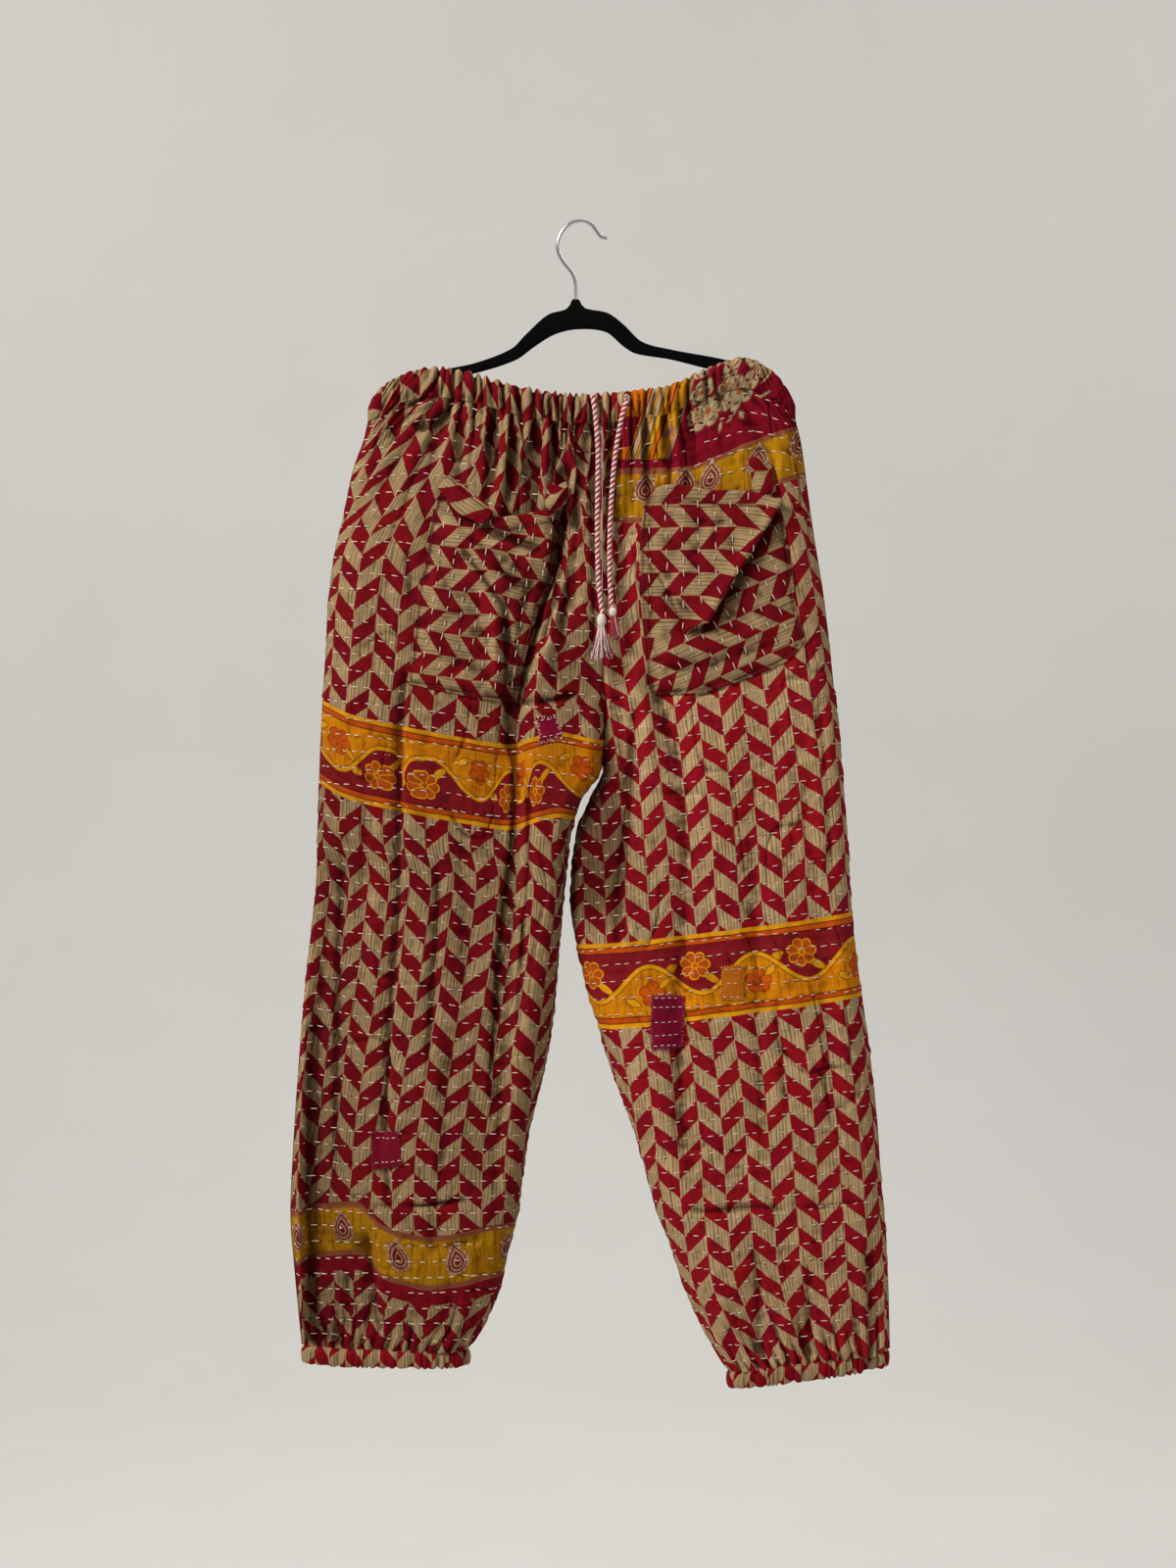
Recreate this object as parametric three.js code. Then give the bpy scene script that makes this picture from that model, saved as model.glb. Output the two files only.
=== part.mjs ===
// Gathered quilted-cotton joggers hanging on a thin clothes hanger.
// Millimetres. +Z up, +X towards the wearer's left leg, -Y towards the viewer of the front.
// The origin is the inside of the crown of the hanger's hook, where the hanger is held.
// Each cut piece is one closed wall of cloth: front and back of each leg, a gathered waist
// casing and cuffs round elastic, two patch pockets, mending patches and a drawstring.
import * as THREE from "three";

// ---------- driving sizes ----------
const WALL = 1.8; // two-layer quilted cotton
const CASING_WALL = 2.6; // cloth turned over elastic
const POCKET_WALL = 1.6;
const PATCH_WALL = 1.0;
const SEAM = 0.3; // clearance between neighbouring pieces
const REST = 0.5; // how far a piece laid on a panel stands off its highest facet
const CORD = 5.0; // drawstring diameter
const WIRE = 3.6; // hook wire diameter
const HANGER_THICK = 5.6;
const ACROSS = 16; // steps across one leg panel
const CASING_STEPS = 60; // steps across half the waist ring, two to a gather
const CUFF_STEPS = 44; // steps round a cuff
const GATHER = 1.2; // depth of a gather in the casings

// A short table with named columns becomes a list of rows.
const table = (columns, rows) =>
  rows.map((row) => Object.fromEntries(columns.map((c, i) => [c, row[i]])));

// Smooth value of column `out` at `at` in column `key`, by Catmull-Rom through the rows.
function read(rows, key, out, at) {
  const up = rows[0][key] < rows[rows.length - 1][key];
  const list = up ? rows : [...rows].reverse();
  const n = list.length;
  if (at <= list[0][key]) return list[0][out];
  if (at >= list[n - 1][key]) return list[n - 1][out];
  let i = 0;
  while (at > list[i + 1][key]) i++;
  const p = (k) => list[Math.min(Math.max(k, 0), n - 1)];
  const [a, b, c, d] = [p(i - 1), p(i), p(i + 1), p(i + 2)];
  const span = c[key] - b[key];
  const u = (at - b[key]) / span;
  const mb = a === b ? (c[out] - b[out]) / span : (c[out] - a[out]) / (c[key] - a[key]);
  const md = c === d ? (c[out] - b[out]) / span : (d[out] - b[out]) / (d[key] - b[key]);
  const u2 = u * u, u3 = u2 * u;
  return (
    (2 * u3 - 3 * u2 + 1) * b[out] + (u3 - 2 * u2 + u) * span * mb +
    (-2 * u3 + 3 * u2) * c[out] + (u3 - u2) * span * md
  );
}
const smooth = (a, b, v) => {
  const u = Math.min(Math.max((v - a) / (b - a), 0), 1);
  return u * u * (3 - 2 * u);
};

// ---------- the waist: a gathered casing, pushed out at its corners by the hanger ----------
const WAIST = table(["x", "top", "foot"], [
  [-212, -184, -197], [-204, -172, -193], [-190, -160, -184], [-169, -150, -176],
  [-149, -146, -173], [-120, -149, -176], [-91, -157, -183], [-61, -165, -191],
  [-32, -170, -196], [-3, -173, -199], [26, -171, -198], [56, -168, -194],
  [85, -164, -190], [104, -156, -182], [124, -147, -174], [143, -139, -167],
  [163, -136, -164], [180, -143, -170], [194, -154, -177], [205, -168, -185],
  [213, -182, -195],
]);
const CROTCH_Z = -541;

// ---------- half depth of the hung tube, and how far its edges take to round over ----------
const DEPTH = table(["z", "depth", "round"], [
  [-180, 14, 26], [-240, 20, 30], [-320, 26, 34], [-440, 32, 36], [-540, 36, 38],
  [-660, 39, 40], [-800, 41, 42], [-940, 41, 42], [-1040, 38, 38], [-1100, 28, 32],
  [-1145, 20, 26],
]);

// ---------- outlines: outer seam and inner line (centre seam, then inseam) of each leg ----------
// innerRound: how far the inseam edge takes to round over. Just under the crotch the right leg
// keeps full depth almost to its edge and the left leg falls away behind it.
const RIGHT = {
  innerRound: table(["z", "round"], [
    [-541, 18], [-690, 18], [-780, 30], [-940, 42], [-1040, 38], [-1100, 32], [-1145, 26],
  ]),
  outer: table(["z", "x"], [
    [-197, -212], [-218, -217], [-246, -227], [-294, -237], [-333, -246], [-372, -251],
    [-411, -253], [-509, -259], [-606, -262], [-655, -263], [-699, -268], [-753, -274],
    [-850, -282], [-948, -288], [-992, -289], [-1031, -286], [-1074, -282], [-1115, -278],
  ]),
  inner: table(["z", "x"], [
    [-199, 20.6], [-363, 20.6], [-541, 20.6], [-569, 2], [-602, -9], [-645, -15], [-694, -19],
    [-753, -24], [-811, -30], [-860, -40], [-904, -51], [-943, -57], [-987, -63],
    [-1026, -72], [-1060, -80], [-1094, -94], [-1119, -110],
  ]),
  // each row of the weave runs from the outer seam to the inner line, and falls inwards
  rows: table(["outerZ", "innerZ"], [
    [-197, -199], [-218, -228], [-255, -273], [-304, -328], [-353, -384], [-407, -439],
    [-460, -493], [-509, -541], [-555, -581], [-606, -631], [-655, -677], [-712, -729],
    [-767, -782], [-823, -835], [-879, -887], [-938, -940], [-996, -994], [-1050, -1047],
    [-1089, -1089], [-1115, -1119],
  ]),
  cuff: { outX: -277, outZ: -1116, inX: -111, inZ: -1120, drop: 15 },
};
const LEFT = {
  innerRound: table(["z", "round"], [
    [-541, 58], [-700, 58], [-800, 36], [-940, 42], [-1040, 38], [-1100, 32], [-1145, 26],
  ]),
  outer: table(["z", "x"], [
    [-195, 213], [-221, 219], [-265, 225], [-314, 232], [-363, 240], [-402, 245],
    [-489, 254], [-567, 261], [-660, 267], [-704, 271], [-753, 277], [-801, 284],
    [-850, 290], [-899, 295], [-948, 298], [-996, 302], [-1045, 305], [-1119, 307],
  ]),
  inner: table(["z", "x"], [
    [-199, 21.2], [-363, 21.2], [-541, 21.6], [-575, 7], [-606, -4], [-650, -10], [-694, -9],
    [-753, 4], [-811, 22], [-860, 38], [-914, 56], [-962, 69], [-1011, 87], [-1055, 101],
    [-1099, 119], [-1141, 144],
  ]),
  rows: table(["outerZ", "innerZ"], [
    [-195, -199], [-213, -228], [-246, -273], [-291, -328], [-343, -384], [-400, -439],
    [-454, -493], [-504, -541], [-555, -589], [-606, -641], [-655, -684], [-712, -738],
    [-762, -788], [-811, -835], [-863, -885], [-916, -938], [-972, -993], [-1031, -1051],
    [-1079, -1098], [-1119, -1141],
  ]),
  cuff: { outX: 306, outZ: -1120, inX: 145, inZ: -1142, drop: 15 },
};

// ---------- largest folds: each a ridge (+) or trough (-) along a line down the panel ----------
// outside / inside: how wide it is towards the outer seam and towards the inner line.
const FOLD_COLUMNS = ["topX", "topZ", "footX", "footZ", "height", "outside", "inside"];
const FOLDS = {
  frontRight: table(FOLD_COLUMNS, [
    [-262, -600, -264, -1060, -28, 9, 42],
    [-70, -400, -80, -960, -20, 36, 10],
    [-232, -1040, -212, -1125, -10, 12, 12],
    [-172, -330, -172, -600, 4, 12, 12],
    [-10, -270, -44, -400, -7, 12, 10],
    [-120, -240, -110, -520, 4, 30, 30],
  ]),
  frontLeft: table(FOLD_COLUMNS, [
    [70, -460, 100, -940, -6, 12, 14],
    [188, -780, 200, -900, -4, 14, 14],
    [284, -1000, 290, -1120, -6, 12, 10],
    [10, -560, 0, -700, -10, 22, 10],
    [110, -230, 100, -300, -4, 12, 12],
  ]),
  backRight: table(FOLD_COLUMNS, [
    [-200, -640, -216, -1060, -16, 20, 24],
    [-100, -420, -96, -1000, -12, 20, 20],
    [-150, -230, -156, -420, -5, 12, 12],
    [-40, -240, -50, -460, -6, 12, 14],
  ]),
  backLeft: table(FOLD_COLUMNS, [
    [90, -440, 118, -1020, -12, 18, 18],
    [190, -600, 226, -1060, -10, 22, 20],
    [150, -230, 160, -400, -5, 12, 12],
    [60, -230, 70, -420, -5, 12, 12],
  ]),
};

// Depth left in the surface by the folds at (x, z); `side` is -1 on the right leg, +1 on the left.
function foldHeight(folds, side, x, z) {
  let sum = 0;
  for (const f of folds) {
    const run = (z - f.topZ) / (f.footZ - f.topZ);
    const line = f.topX + (f.footX - f.topX) * run;
    const d = (x - line) * side; // + is towards the outer seam
    const wide = d > 0 ? f.outside : f.inside;
    sum += f.height * Math.exp(-((d / wide) ** 2)) *
      smooth(-0.12, 0.12, run) * (1 - smooth(0.88, 1.12, run));
  }
  return sum;
}

// Half depth of a panel at (x, z): full over its middle, rounding to nothing at a seam line
// that front and back share. Above the crotch the inner line is the open centre seam.
function halfDepth(leg, folds, x, z) {
  const side = leg === LEFT ? 1 : -1;
  const xo = read(leg.outer, "z", "x", z), xi = read(leg.inner, "z", "x", z);
  const depth = read(DEPTH, "z", "depth", z);
  const arc = (d, round) => {
    const u = 1 - Math.min(Math.max(d / round, 0), 1);
    return Math.sqrt(Math.max(1 - u * u, 0));
  };
  const split = smooth(CROTCH_Z + 90, CROTCH_Z, z);
  const fromOuter = arc((xo - x) * side, read(DEPTH, "z", "round", z));
  const fromInner = 1 - split * (1 - arc((x - xi) * side, read(leg.innerRound, "z", "round", z)));
  const edge = fromOuter * fromInner;
  const body = depth * edge;
  const fold = foldHeight(folds, side, x, z) * Math.min(edge * 1.2, 1) * (split > 0 ? edge : 1);
  return Math.max(body + fold, Math.min(body, 3));
}

// Shape of one panel: a point for c (0 outer seam .. 1 inner line) and row number r.
function panelPoint(leg, folds, face, c, r) {
  const n = leg.rows.length - 1;
  const i = Math.min(Math.floor(r), n - 1), u = r - i;
  const zo = leg.rows[i].outerZ * (1 - u) + leg.rows[i + 1].outerZ * u;
  const zi = leg.rows[i].innerZ * (1 - u) + leg.rows[i + 1].innerZ * u;
  const xo = read(leg.outer, "z", "x", zo), xi = read(leg.inner, "z", "x", zi);
  const x = xo + (xi - xo) * c;
  let z = zo + (zi - zo) * c;
  // the top row follows the foot of the casing, and the rows below it settle to straight
  const xo0 = leg.outer[0].x, xi0 = leg.inner[0].x;
  const chord = leg.rows[0].outerZ + (leg.rows[0].innerZ - leg.rows[0].outerZ) * c;
  const lift = read(WAIST, "x", "foot", xo0 + (xi0 - xo0) * c) - chord;
  z += lift * Math.exp(-((r / 2.6) ** 2));
  if (r === 0) z -= SEAM + 1;
  const y = halfDepth(leg, folds, x, z);
  return new THREE.Vector3(x, face * y, z);
}

// ---------- closed walls ----------
// A grid of outer points and a grid of inner points become one closed wall.
function wall(outerGrid, innerGrid, flip) {
  const rows = outerGrid.length, cols = outerGrid[0].length;
  const pos = [];
  for (const grid of [outerGrid, innerGrid])
    for (const row of grid) for (const p of row) pos.push(p.x, p.y, p.z);
  const id = (layer, i, j) => layer * rows * cols + i * cols + j;
  const index = [];
  const quad = (a, b, c, d) => (flip ? index.push(a, c, b, a, d, c) : index.push(a, b, c, a, c, d));
  for (let i = 0; i < rows - 1; i++)
    for (let j = 0; j < cols - 1; j++) {
      quad(id(0, i, j), id(0, i + 1, j), id(0, i + 1, j + 1), id(0, i, j + 1));
      quad(id(1, i, j), id(1, i, j + 1), id(1, i + 1, j + 1), id(1, i + 1, j));
    }
  for (let j = 0; j < cols - 1; j++) {
    quad(id(0, 0, j), id(0, 0, j + 1), id(1, 0, j + 1), id(1, 0, j));
    quad(id(0, rows - 1, j), id(1, rows - 1, j), id(1, rows - 1, j + 1), id(0, rows - 1, j + 1));
  }
  for (let i = 0; i < rows - 1; i++) {
    quad(id(0, i, 0), id(1, i, 0), id(1, i + 1, 0), id(0, i + 1, 0));
    quad(id(0, i, cols - 1), id(0, i + 1, cols - 1), id(1, i + 1, cols - 1), id(1, i, cols - 1));
  }
  return closed(pos, index);
}

// A ring wall: columns wrap round.
function ringWall(outerGrid, innerGrid) {
  const rows = outerGrid.length, cols = outerGrid[0].length;
  const pos = [];
  for (const grid of [outerGrid, innerGrid])
    for (const row of grid) for (const p of row) pos.push(p.x, p.y, p.z);
  const id = (layer, i, j) => layer * rows * cols + i * cols + (j % cols);
  const index = [];
  const quad = (a, b, c, d) => index.push(a, b, c, a, c, d);
  for (let j = 0; j < cols; j++) {
    for (let i = 0; i < rows - 1; i++) {
      quad(id(0, i, j), id(0, i + 1, j), id(0, i + 1, j + 1), id(0, i, j + 1));
      quad(id(1, i, j), id(1, i, j + 1), id(1, i + 1, j + 1), id(1, i + 1, j));
    }
    quad(id(0, 0, j), id(0, 0, j + 1), id(1, 0, j + 1), id(1, 0, j));
    quad(id(0, rows - 1, j), id(1, rows - 1, j), id(1, rows - 1, j + 1), id(0, rows - 1, j + 1));
  }
  return closed(pos, index);
}

// Indexed geometry with its faces turned outwards.
function closed(pos, index) {
  let volume = 0;
  for (let i = 0; i < index.length; i += 3) {
    const [a, b, c] = [index[i] * 3, index[i + 1] * 3, index[i + 2] * 3];
    volume +=
      pos[a] * (pos[b + 1] * pos[c + 2] - pos[b + 2] * pos[c + 1]) -
      pos[a + 1] * (pos[b] * pos[c + 2] - pos[b + 2] * pos[c]) +
      pos[a + 2] * (pos[b] * pos[c + 1] - pos[b + 1] * pos[c]);
  }
  if (volume < 0)
    for (let i = 0; i < index.length; i += 3)
      [index[i + 1], index[i + 2]] = [index[i + 2], index[i + 1]];
  const g = new THREE.BufferGeometry();
  g.setAttribute("position", new THREE.Float32BufferAttribute(pos, 3));
  g.setIndex(index);
  g.computeVertexNormals();
  return g;
}

const group = new THREE.Group();
const fabric = (color) => new THREE.MeshStandardMaterial({ color, roughness: 0.92, metalness: 0 });
function add(name, geometry, material) {
  const mesh = new THREE.Mesh(geometry, material);
  mesh.name = name;
  group.add(mesh);
  return mesh;
}

// ---------- leg panels ----------
// Steps across a panel crowd towards its seams, where it turns over.
const across = (j, n) => {
  const u = j / n;
  return u - (0.75 * Math.sin(2 * Math.PI * u)) / (2 * Math.PI);
};
function panel(name, leg, folds, face, color) {
  const n = leg.rows.length - 1;
  const outer = [], inner = [];
  for (let r = 0; r <= n; r++) {
    const o = [], k = [];
    for (let j = 0; j <= ACROSS; j++) {
      const c = across(j, ACROSS);
      const e = 0.004;
      const c0 = Math.max(c - e, 0), c1 = Math.min(c + e, 1);
      const r0 = Math.max(r - 0.1, 0.001), r1 = Math.min(r + 0.1, n);
      const p = panelPoint(leg, folds, face, c, r);
      const du = panelPoint(leg, folds, face, c1, Math.max(r, 0.001)).sub(
        panelPoint(leg, folds, face, c0, Math.max(r, 0.001)));
      const dv = panelPoint(leg, folds, face, c, r1).sub(panelPoint(leg, folds, face, c, r0));
      const normal = du.cross(dv).normalize();
      if (normal.y * face < 0) normal.negate();
      const side = leg === LEFT ? 1 : -1;
      const zHere = p.z;
      const open = j === ACROSS && zHere > CROTCH_Z + 1;
      if (j === 0) normal.set(side, 0, 0);
      if (j === ACROSS) open ? normal.set(0, face, 0) : normal.set(-side, 0, 0);
      normal.z *= 0.5;
      normal.normalize();
      const q = p.clone().addScaledVector(normal, -WALL);
      const half = SEAM / 2;
      if (j === 0 || (j === ACROSS && !open)) {
        p.y = face * half;
        q.y = face * half;
      }
      if (face * q.y < half) q.y = face * half;
      if (face * p.y < half) p.y = face * half;
      if (r === 0) q.z = p.z;
      if (r === n) q.z = p.z;
      o.push(p);
      k.push(q);
    }
    outer.push(o);
    inner.push(k);
  }
  add(name, wall(outer, inner), fabric(color));
  return outer;
}
const frontRight = panel("front_right_leg", RIGHT, FOLDS.frontRight, -1, 0x9c2430);
const frontLeft = panel("front_left_leg", LEFT, FOLDS.frontLeft, -1, 0xa62a2e);
panel("back_right_leg", RIGHT, FOLDS.backRight, 1, 0x93222d);
panel("back_left_leg", LEFT, FOLDS.backLeft, 1, 0x98242c);

// ---------- waist casing: front and back halves of a gathered ring ----------
function casing(name, face) {
  const x0 = WAIST[0].x, x1 = WAIST[WAIST.length - 1].x;
  const levels = [0, 0.35, 0.75, 1];
  const swell = [0, 1.4, 1.0, -0.8];
  const outer = [], inner = [];
  levels.forEach((level, i) => {
    const o = [], k = [];
    for (let j = 0; j <= CASING_STEPS; j++) {
      const c = across(j, CASING_STEPS);
      const x = x0 + (x1 - x0) * c;
      const foot = read(WAIST, "x", "foot", x), top = read(WAIST, "x", "top", x);
      const z = foot + (top - foot) * level;
      const near = Math.min(x - x0, x1 - x);
      const u = 1 - Math.min(near / 26, 1);
      const arc = Math.sqrt(1 - u * u);
      const wave = GATHER * (j % 2 ? 1 : -1) * Math.min(near / 30, 1);
      const y = 14.5 * arc + (swell[i] + wave) * arc;
      const end = j === 0 || j === CASING_STEPS;
      const nx = end ? (j ? 1 : -1) : -u * Math.sign(x0 + x1 - 2 * x) || 0;
      const ny = end ? 0 : Math.max(arc, 0.2);
      const l = Math.hypot(nx, ny);
      const half = SEAM / 2;
      o.push(new THREE.Vector3(x, face * Math.max(y, half), z));
      k.push(new THREE.Vector3(
        x - (nx / l) * CASING_WALL,
        face * Math.max(end ? half : y - (ny / l) * CASING_WALL, half), z));
    }
    outer.push(o);
    inner.push(k);
  });
  return add(name, wall(outer, inner), fabric(0x9a2a30));
}
casing("waist_casing_front", -1);
casing("waist_casing_back", 1);

// ---------- cuffs: gathered rings under each leg ----------
function cuff(name, size) {
  const { outX, outZ, inX, inZ, drop } = size;
  const midX = (outX + inX) / 2, halfW = Math.abs(outX - inX) / 2 - 1;
  const depthAt = read(DEPTH, "z", "depth", (outZ + inZ) / 2);
  const levels = [0, 0.5, 1], swell = [-1, 0.8, -0.6];
  const outer = [], inner = [];
  levels.forEach((level, i) => {
    const o = [], k = [];
    for (let j = 0; j < CUFF_STEPS; j++) {
      const a = (j / CUFF_STEPS) * Math.PI * 2;
      const ring = (grow) => {
        const cx = Math.cos(a), cy = Math.sin(a);
        const wave = GATHER * (j % 2 ? 1 : -1) * Math.abs(cy);
        const sx = Math.sign(cx) * Math.abs(cx) ** 0.72, sy = Math.sign(cy) * Math.abs(cy) ** 0.72;
        const x = midX + sx * (halfW + grow);
        const y = sy * (depthAt - 1 + swell[i] + wave + grow);
        const f = (x - outX) / (inX - outX);
        return new THREE.Vector3(x, y, outZ + (inZ - outZ) * f - SEAM - 0.4 - drop * level);
      };
      o.push(ring(0));
      k.push(ring(-CASING_WALL));
    }
    outer.push(o);
    inner.push(k);
  });
  return add(name, ringWall(outer, inner), fabric(0x8f2530));
}
cuff("cuff_right", RIGHT.cuff);
cuff("cuff_left", LEFT.cuff);

// ---------- pieces laid on the front: patch pockets and mending patches ----------
// How far forward the faceted panel itself reaches at (x, z).
function facetFront(grid, x, z) {
  let best = null;
  for (let i = 0; i < grid.length - 1; i++)
    for (let j = 0; j < grid[0].length - 1; j++) {
      const quad = [grid[i][j], grid[i + 1][j], grid[i + 1][j + 1], grid[i][j + 1]];
      if (quad.every((p) => p.z < z) || quad.every((p) => p.z > z)) continue;
      if (quad.every((p) => p.x < x) || quad.every((p) => p.x > x)) continue;
      for (const [a, b, c] of [[quad[0], quad[1], quad[2]], [quad[0], quad[2], quad[3]]]) {
        const d = (b.x - a.x) * (c.z - a.z) - (c.x - a.x) * (b.z - a.z);
        const u = ((x - a.x) * (c.z - a.z) - (c.x - a.x) * (z - a.z)) / d;
        const v = ((b.x - a.x) * (z - a.z) - (x - a.x) * (b.z - a.z)) / d;
        if (u < -1e-6 || v < -1e-6 || u + v > 1 + 1e-6) continue;
        const y = a.y + u * (b.y - a.y) + v * (c.y - a.y);
        if (best === null || y < best) best = y;
      }
    }
  return best;
}
// A four-sided piece made from the panel's points, moved out far enough to clear the ridges
// between its own points; mouth is how far its top edge stands open, sag how far it droops.
function laid(name, grid, size, color) {
  const { corners, wallThick, steps, mouth, sag } = size;
  const [tl, tr, bl, br] = corners;
  const reach = Math.max(Math.abs(tr[0] - tl[0]), Math.abs(tl[1] - bl[1])) / steps;
  const outer = [], inner = [];
  for (let i = 0; i <= steps; i++) {
    const o = [], k = [];
    const v = i / steps;
    for (let j = 0; j <= steps; j++) {
      const u = j / steps;
      const x = (tl[0] * (1 - u) + tr[0] * u) * (1 - v) + (bl[0] * (1 - u) + br[0] * u) * v;
      const droop = 4 * u * (1 - u) * (1 - v) ** 1.5;
      const z = (tl[1] * (1 - u) + tr[1] * u) * (1 - v) + (bl[1] * (1 - u) + br[1] * u) * v -
        sag * droop;
      let y = 0;
      for (let a = -2; a <= 2; a++)
        for (let b = -2; b <= 2; b++) {
          const f = facetFront(grid, x + (a * reach) / 4, z + (b * reach) / 4);
          if (f !== null) y = Math.min(y, f);
        }
      y -= REST + mouth * droop;
      k.push(new THREE.Vector3(x, y, z));
      o.push(new THREE.Vector3(x, y - wallThick, z));
    }
    outer.push(o);
    inner.push(k);
  }
  return add(name, wall(outer, inner), fabric(color));
}
laid("pocket_right", frontRight, {
  corners: [[-143, -262], [-17, -280], [-161, -455], [-59, -473]],
  wallThick: POCKET_WALL, steps: 8, mouth: 10, sag: 18,
}, 0xa0343a);
laid("pocket_left", frontLeft, {
  corners: [[63, -269], [196, -266], [67, -472], [214, -430]],
  wallThick: POCKET_WALL, steps: 8, mouth: 10, sag: 5,
}, 0xa0343a);
const patchSize = (x0, x1, z0, z1) => ({
  corners: [[x0, z0], [x1, z0], [x0, z1], [x1, z1]],
  wallThick: PATCH_WALL, steps: 3, mouth: 0, sag: 0,
});
laid("patch_hip_right", frontRight, patchSize(-43, -21, -494, -516), 0x9b1a48);
laid("patch_shin_right", frontRight, patchSize(-206, -176, -898, -934), 0x8c1626);
laid("patch_knee_left", frontLeft, patchSize(67, 100, -764, -816), 0x97184a);
laid("patch_knee_left_small", frontLeft, patchSize(136, 160, -735, -770), 0xd9781c);

// ---------- drawstring ends ----------
// Each end leaves its buttonhole in the casing, turns down and lies on the front.
const STRING_RIGHT = table(["x", "z", "out"], [
  [11, -176, -19.2], [11.4, -176.6, -22], [12, -180, -24.2], [13.2, -188, -25.4],
  [15, -205, -26.4], [16.6, -232, -28], [16.4, -262, -29.8], [16, -293, -31.6],
  [16, -324, -33.4], [17, -356, -36], [19, -377, -38.6], [21, -392, -40.4],
]);
const STRING_LEFT = table(["x", "z", "out"], [
  [45, -180, -19.2], [44.6, -180.6, -22], [44, -184, -24.2], [41.5, -192, -25.4],
  [38, -208, -26.4], [34, -232, -28], [31, -262, -29.8], [29, -293, -31.6],
  [28, -324, -33.4], [28, -352, -36], [29, -372, -38.4], [30, -386, -40],
]);
const circle = (r, sides) => {
  const s = new THREE.Shape();
  for (let i = 0; i < sides; i++) {
    const a = (i / sides) * Math.PI * 2;
    i ? s.lineTo(r * Math.cos(a), r * Math.sin(a)) : s.moveTo(r, 0);
  }
  s.closePath();
  return s;
};
function cord(name, rows, diameter, steps, color, kind) {
  const path = new THREE.CatmullRomCurve3(rows.map((p) => new THREE.Vector3(p.x, p.out, p.z)));
  const g = new THREE.ExtrudeGeometry(circle(diameter / 2, 8), {
    steps, extrudePath: path, bevelEnabled: false,
  });
  return add(name, g, kind || fabric(color));
}
cord("drawstring_right", STRING_RIGHT, CORD, 26, 0xb8323a);
cord("drawstring_left", STRING_LEFT, CORD, 26, 0xb8323a);

// A knot with a tassel below it, pressed flat against the cloth.
function tassel(name, x, z, out, wide, long, color) {
  const profile = [
    [0, 0], [3.2, -0.6], [4, -4], [3.8, -9], [2.8, -12], [4.2, -17],
    [wide * 0.36, -long * 0.62], [wide * 0.5, -long], [0, -long],
  ].reverse().map(([r, h]) => new THREE.Vector2(r, h));
  const g = new THREE.LatheGeometry(profile, 10);
  g.rotateX(Math.PI / 2); // the lathe's axis becomes Z
  g.scale(1, 0.62, 1);
  const mesh = add(name, g, fabric(color));
  mesh.position.set(x, out, z);
  return mesh;
}
tassel("tassel_right", 20, -394.6, -42.2, 18, 44, 0xd8a6a2);
tassel("tassel_left", 32, -388.6, -40.4, 9, 32, 0x9a1f2a);

// ---------- hanger ----------
const HANGER = table(["x", "z"], [
  [-201, -165], [-140, -147], [-104, -139], [-69, -125], [-55, -111], [-34, -92],
  [-13, -86], [-9.6, -76], [-1.4, -76], [3, -85], [27, -90], [42, -101], [60, -118],
  [89, -126], [142, -136], [196, -151], [196, -161], [125, -145], [89, -136], [54, -130],
  [42, -123], [25, -109], [-3, -106], [-26, -111], [-46, -123], [-64, -136], [-99, -148],
  [-129, -155], [-201, -175],
]);
{
  const outline = new THREE.Shape(HANGER.map((p) => new THREE.Vector2(p.x, p.z)));
  const g = new THREE.ExtrudeGeometry(outline, {
    depth: HANGER_THICK - 2, bevelEnabled: true, bevelThickness: 1, bevelSize: 1,
    bevelOffset: -1, bevelSegments: 1, curveSegments: 1,
  });
  g.rotateX(Math.PI / 2); // the outline's y becomes Z
  const mesh = add("hanger_body", g,
    new THREE.MeshStandardMaterial({ color: 0x0b0b0d, roughness: 0.95, metalness: 0 }));
  mesh.position.y = (HANGER_THICK - 2) / 2;
}

// ---------- hook ----------
const HOOK = table(["x", "z", "out"], [
  [-5.4, -75.6, 0], [-5.4, -62, 0], [-8.5, -51, 0], [-17, -40, 0], [-23.4, -26, 0],
  [-20.6, -11.6, 0], [-11.4, -1.2, 0], [0, WIRE / 2, 0], [10.4, -2.2, 0], [16.4, -9.6, 0],
  [20.4, -14.6, 0], [26, -15.6, 0],
]);
cord("hanger_hook", HOOK, WIRE, 44, 0,
  new THREE.MeshStandardMaterial({ color: 0xd8dadd, roughness: 0.18, metalness: 1 }));

export default group;
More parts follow.
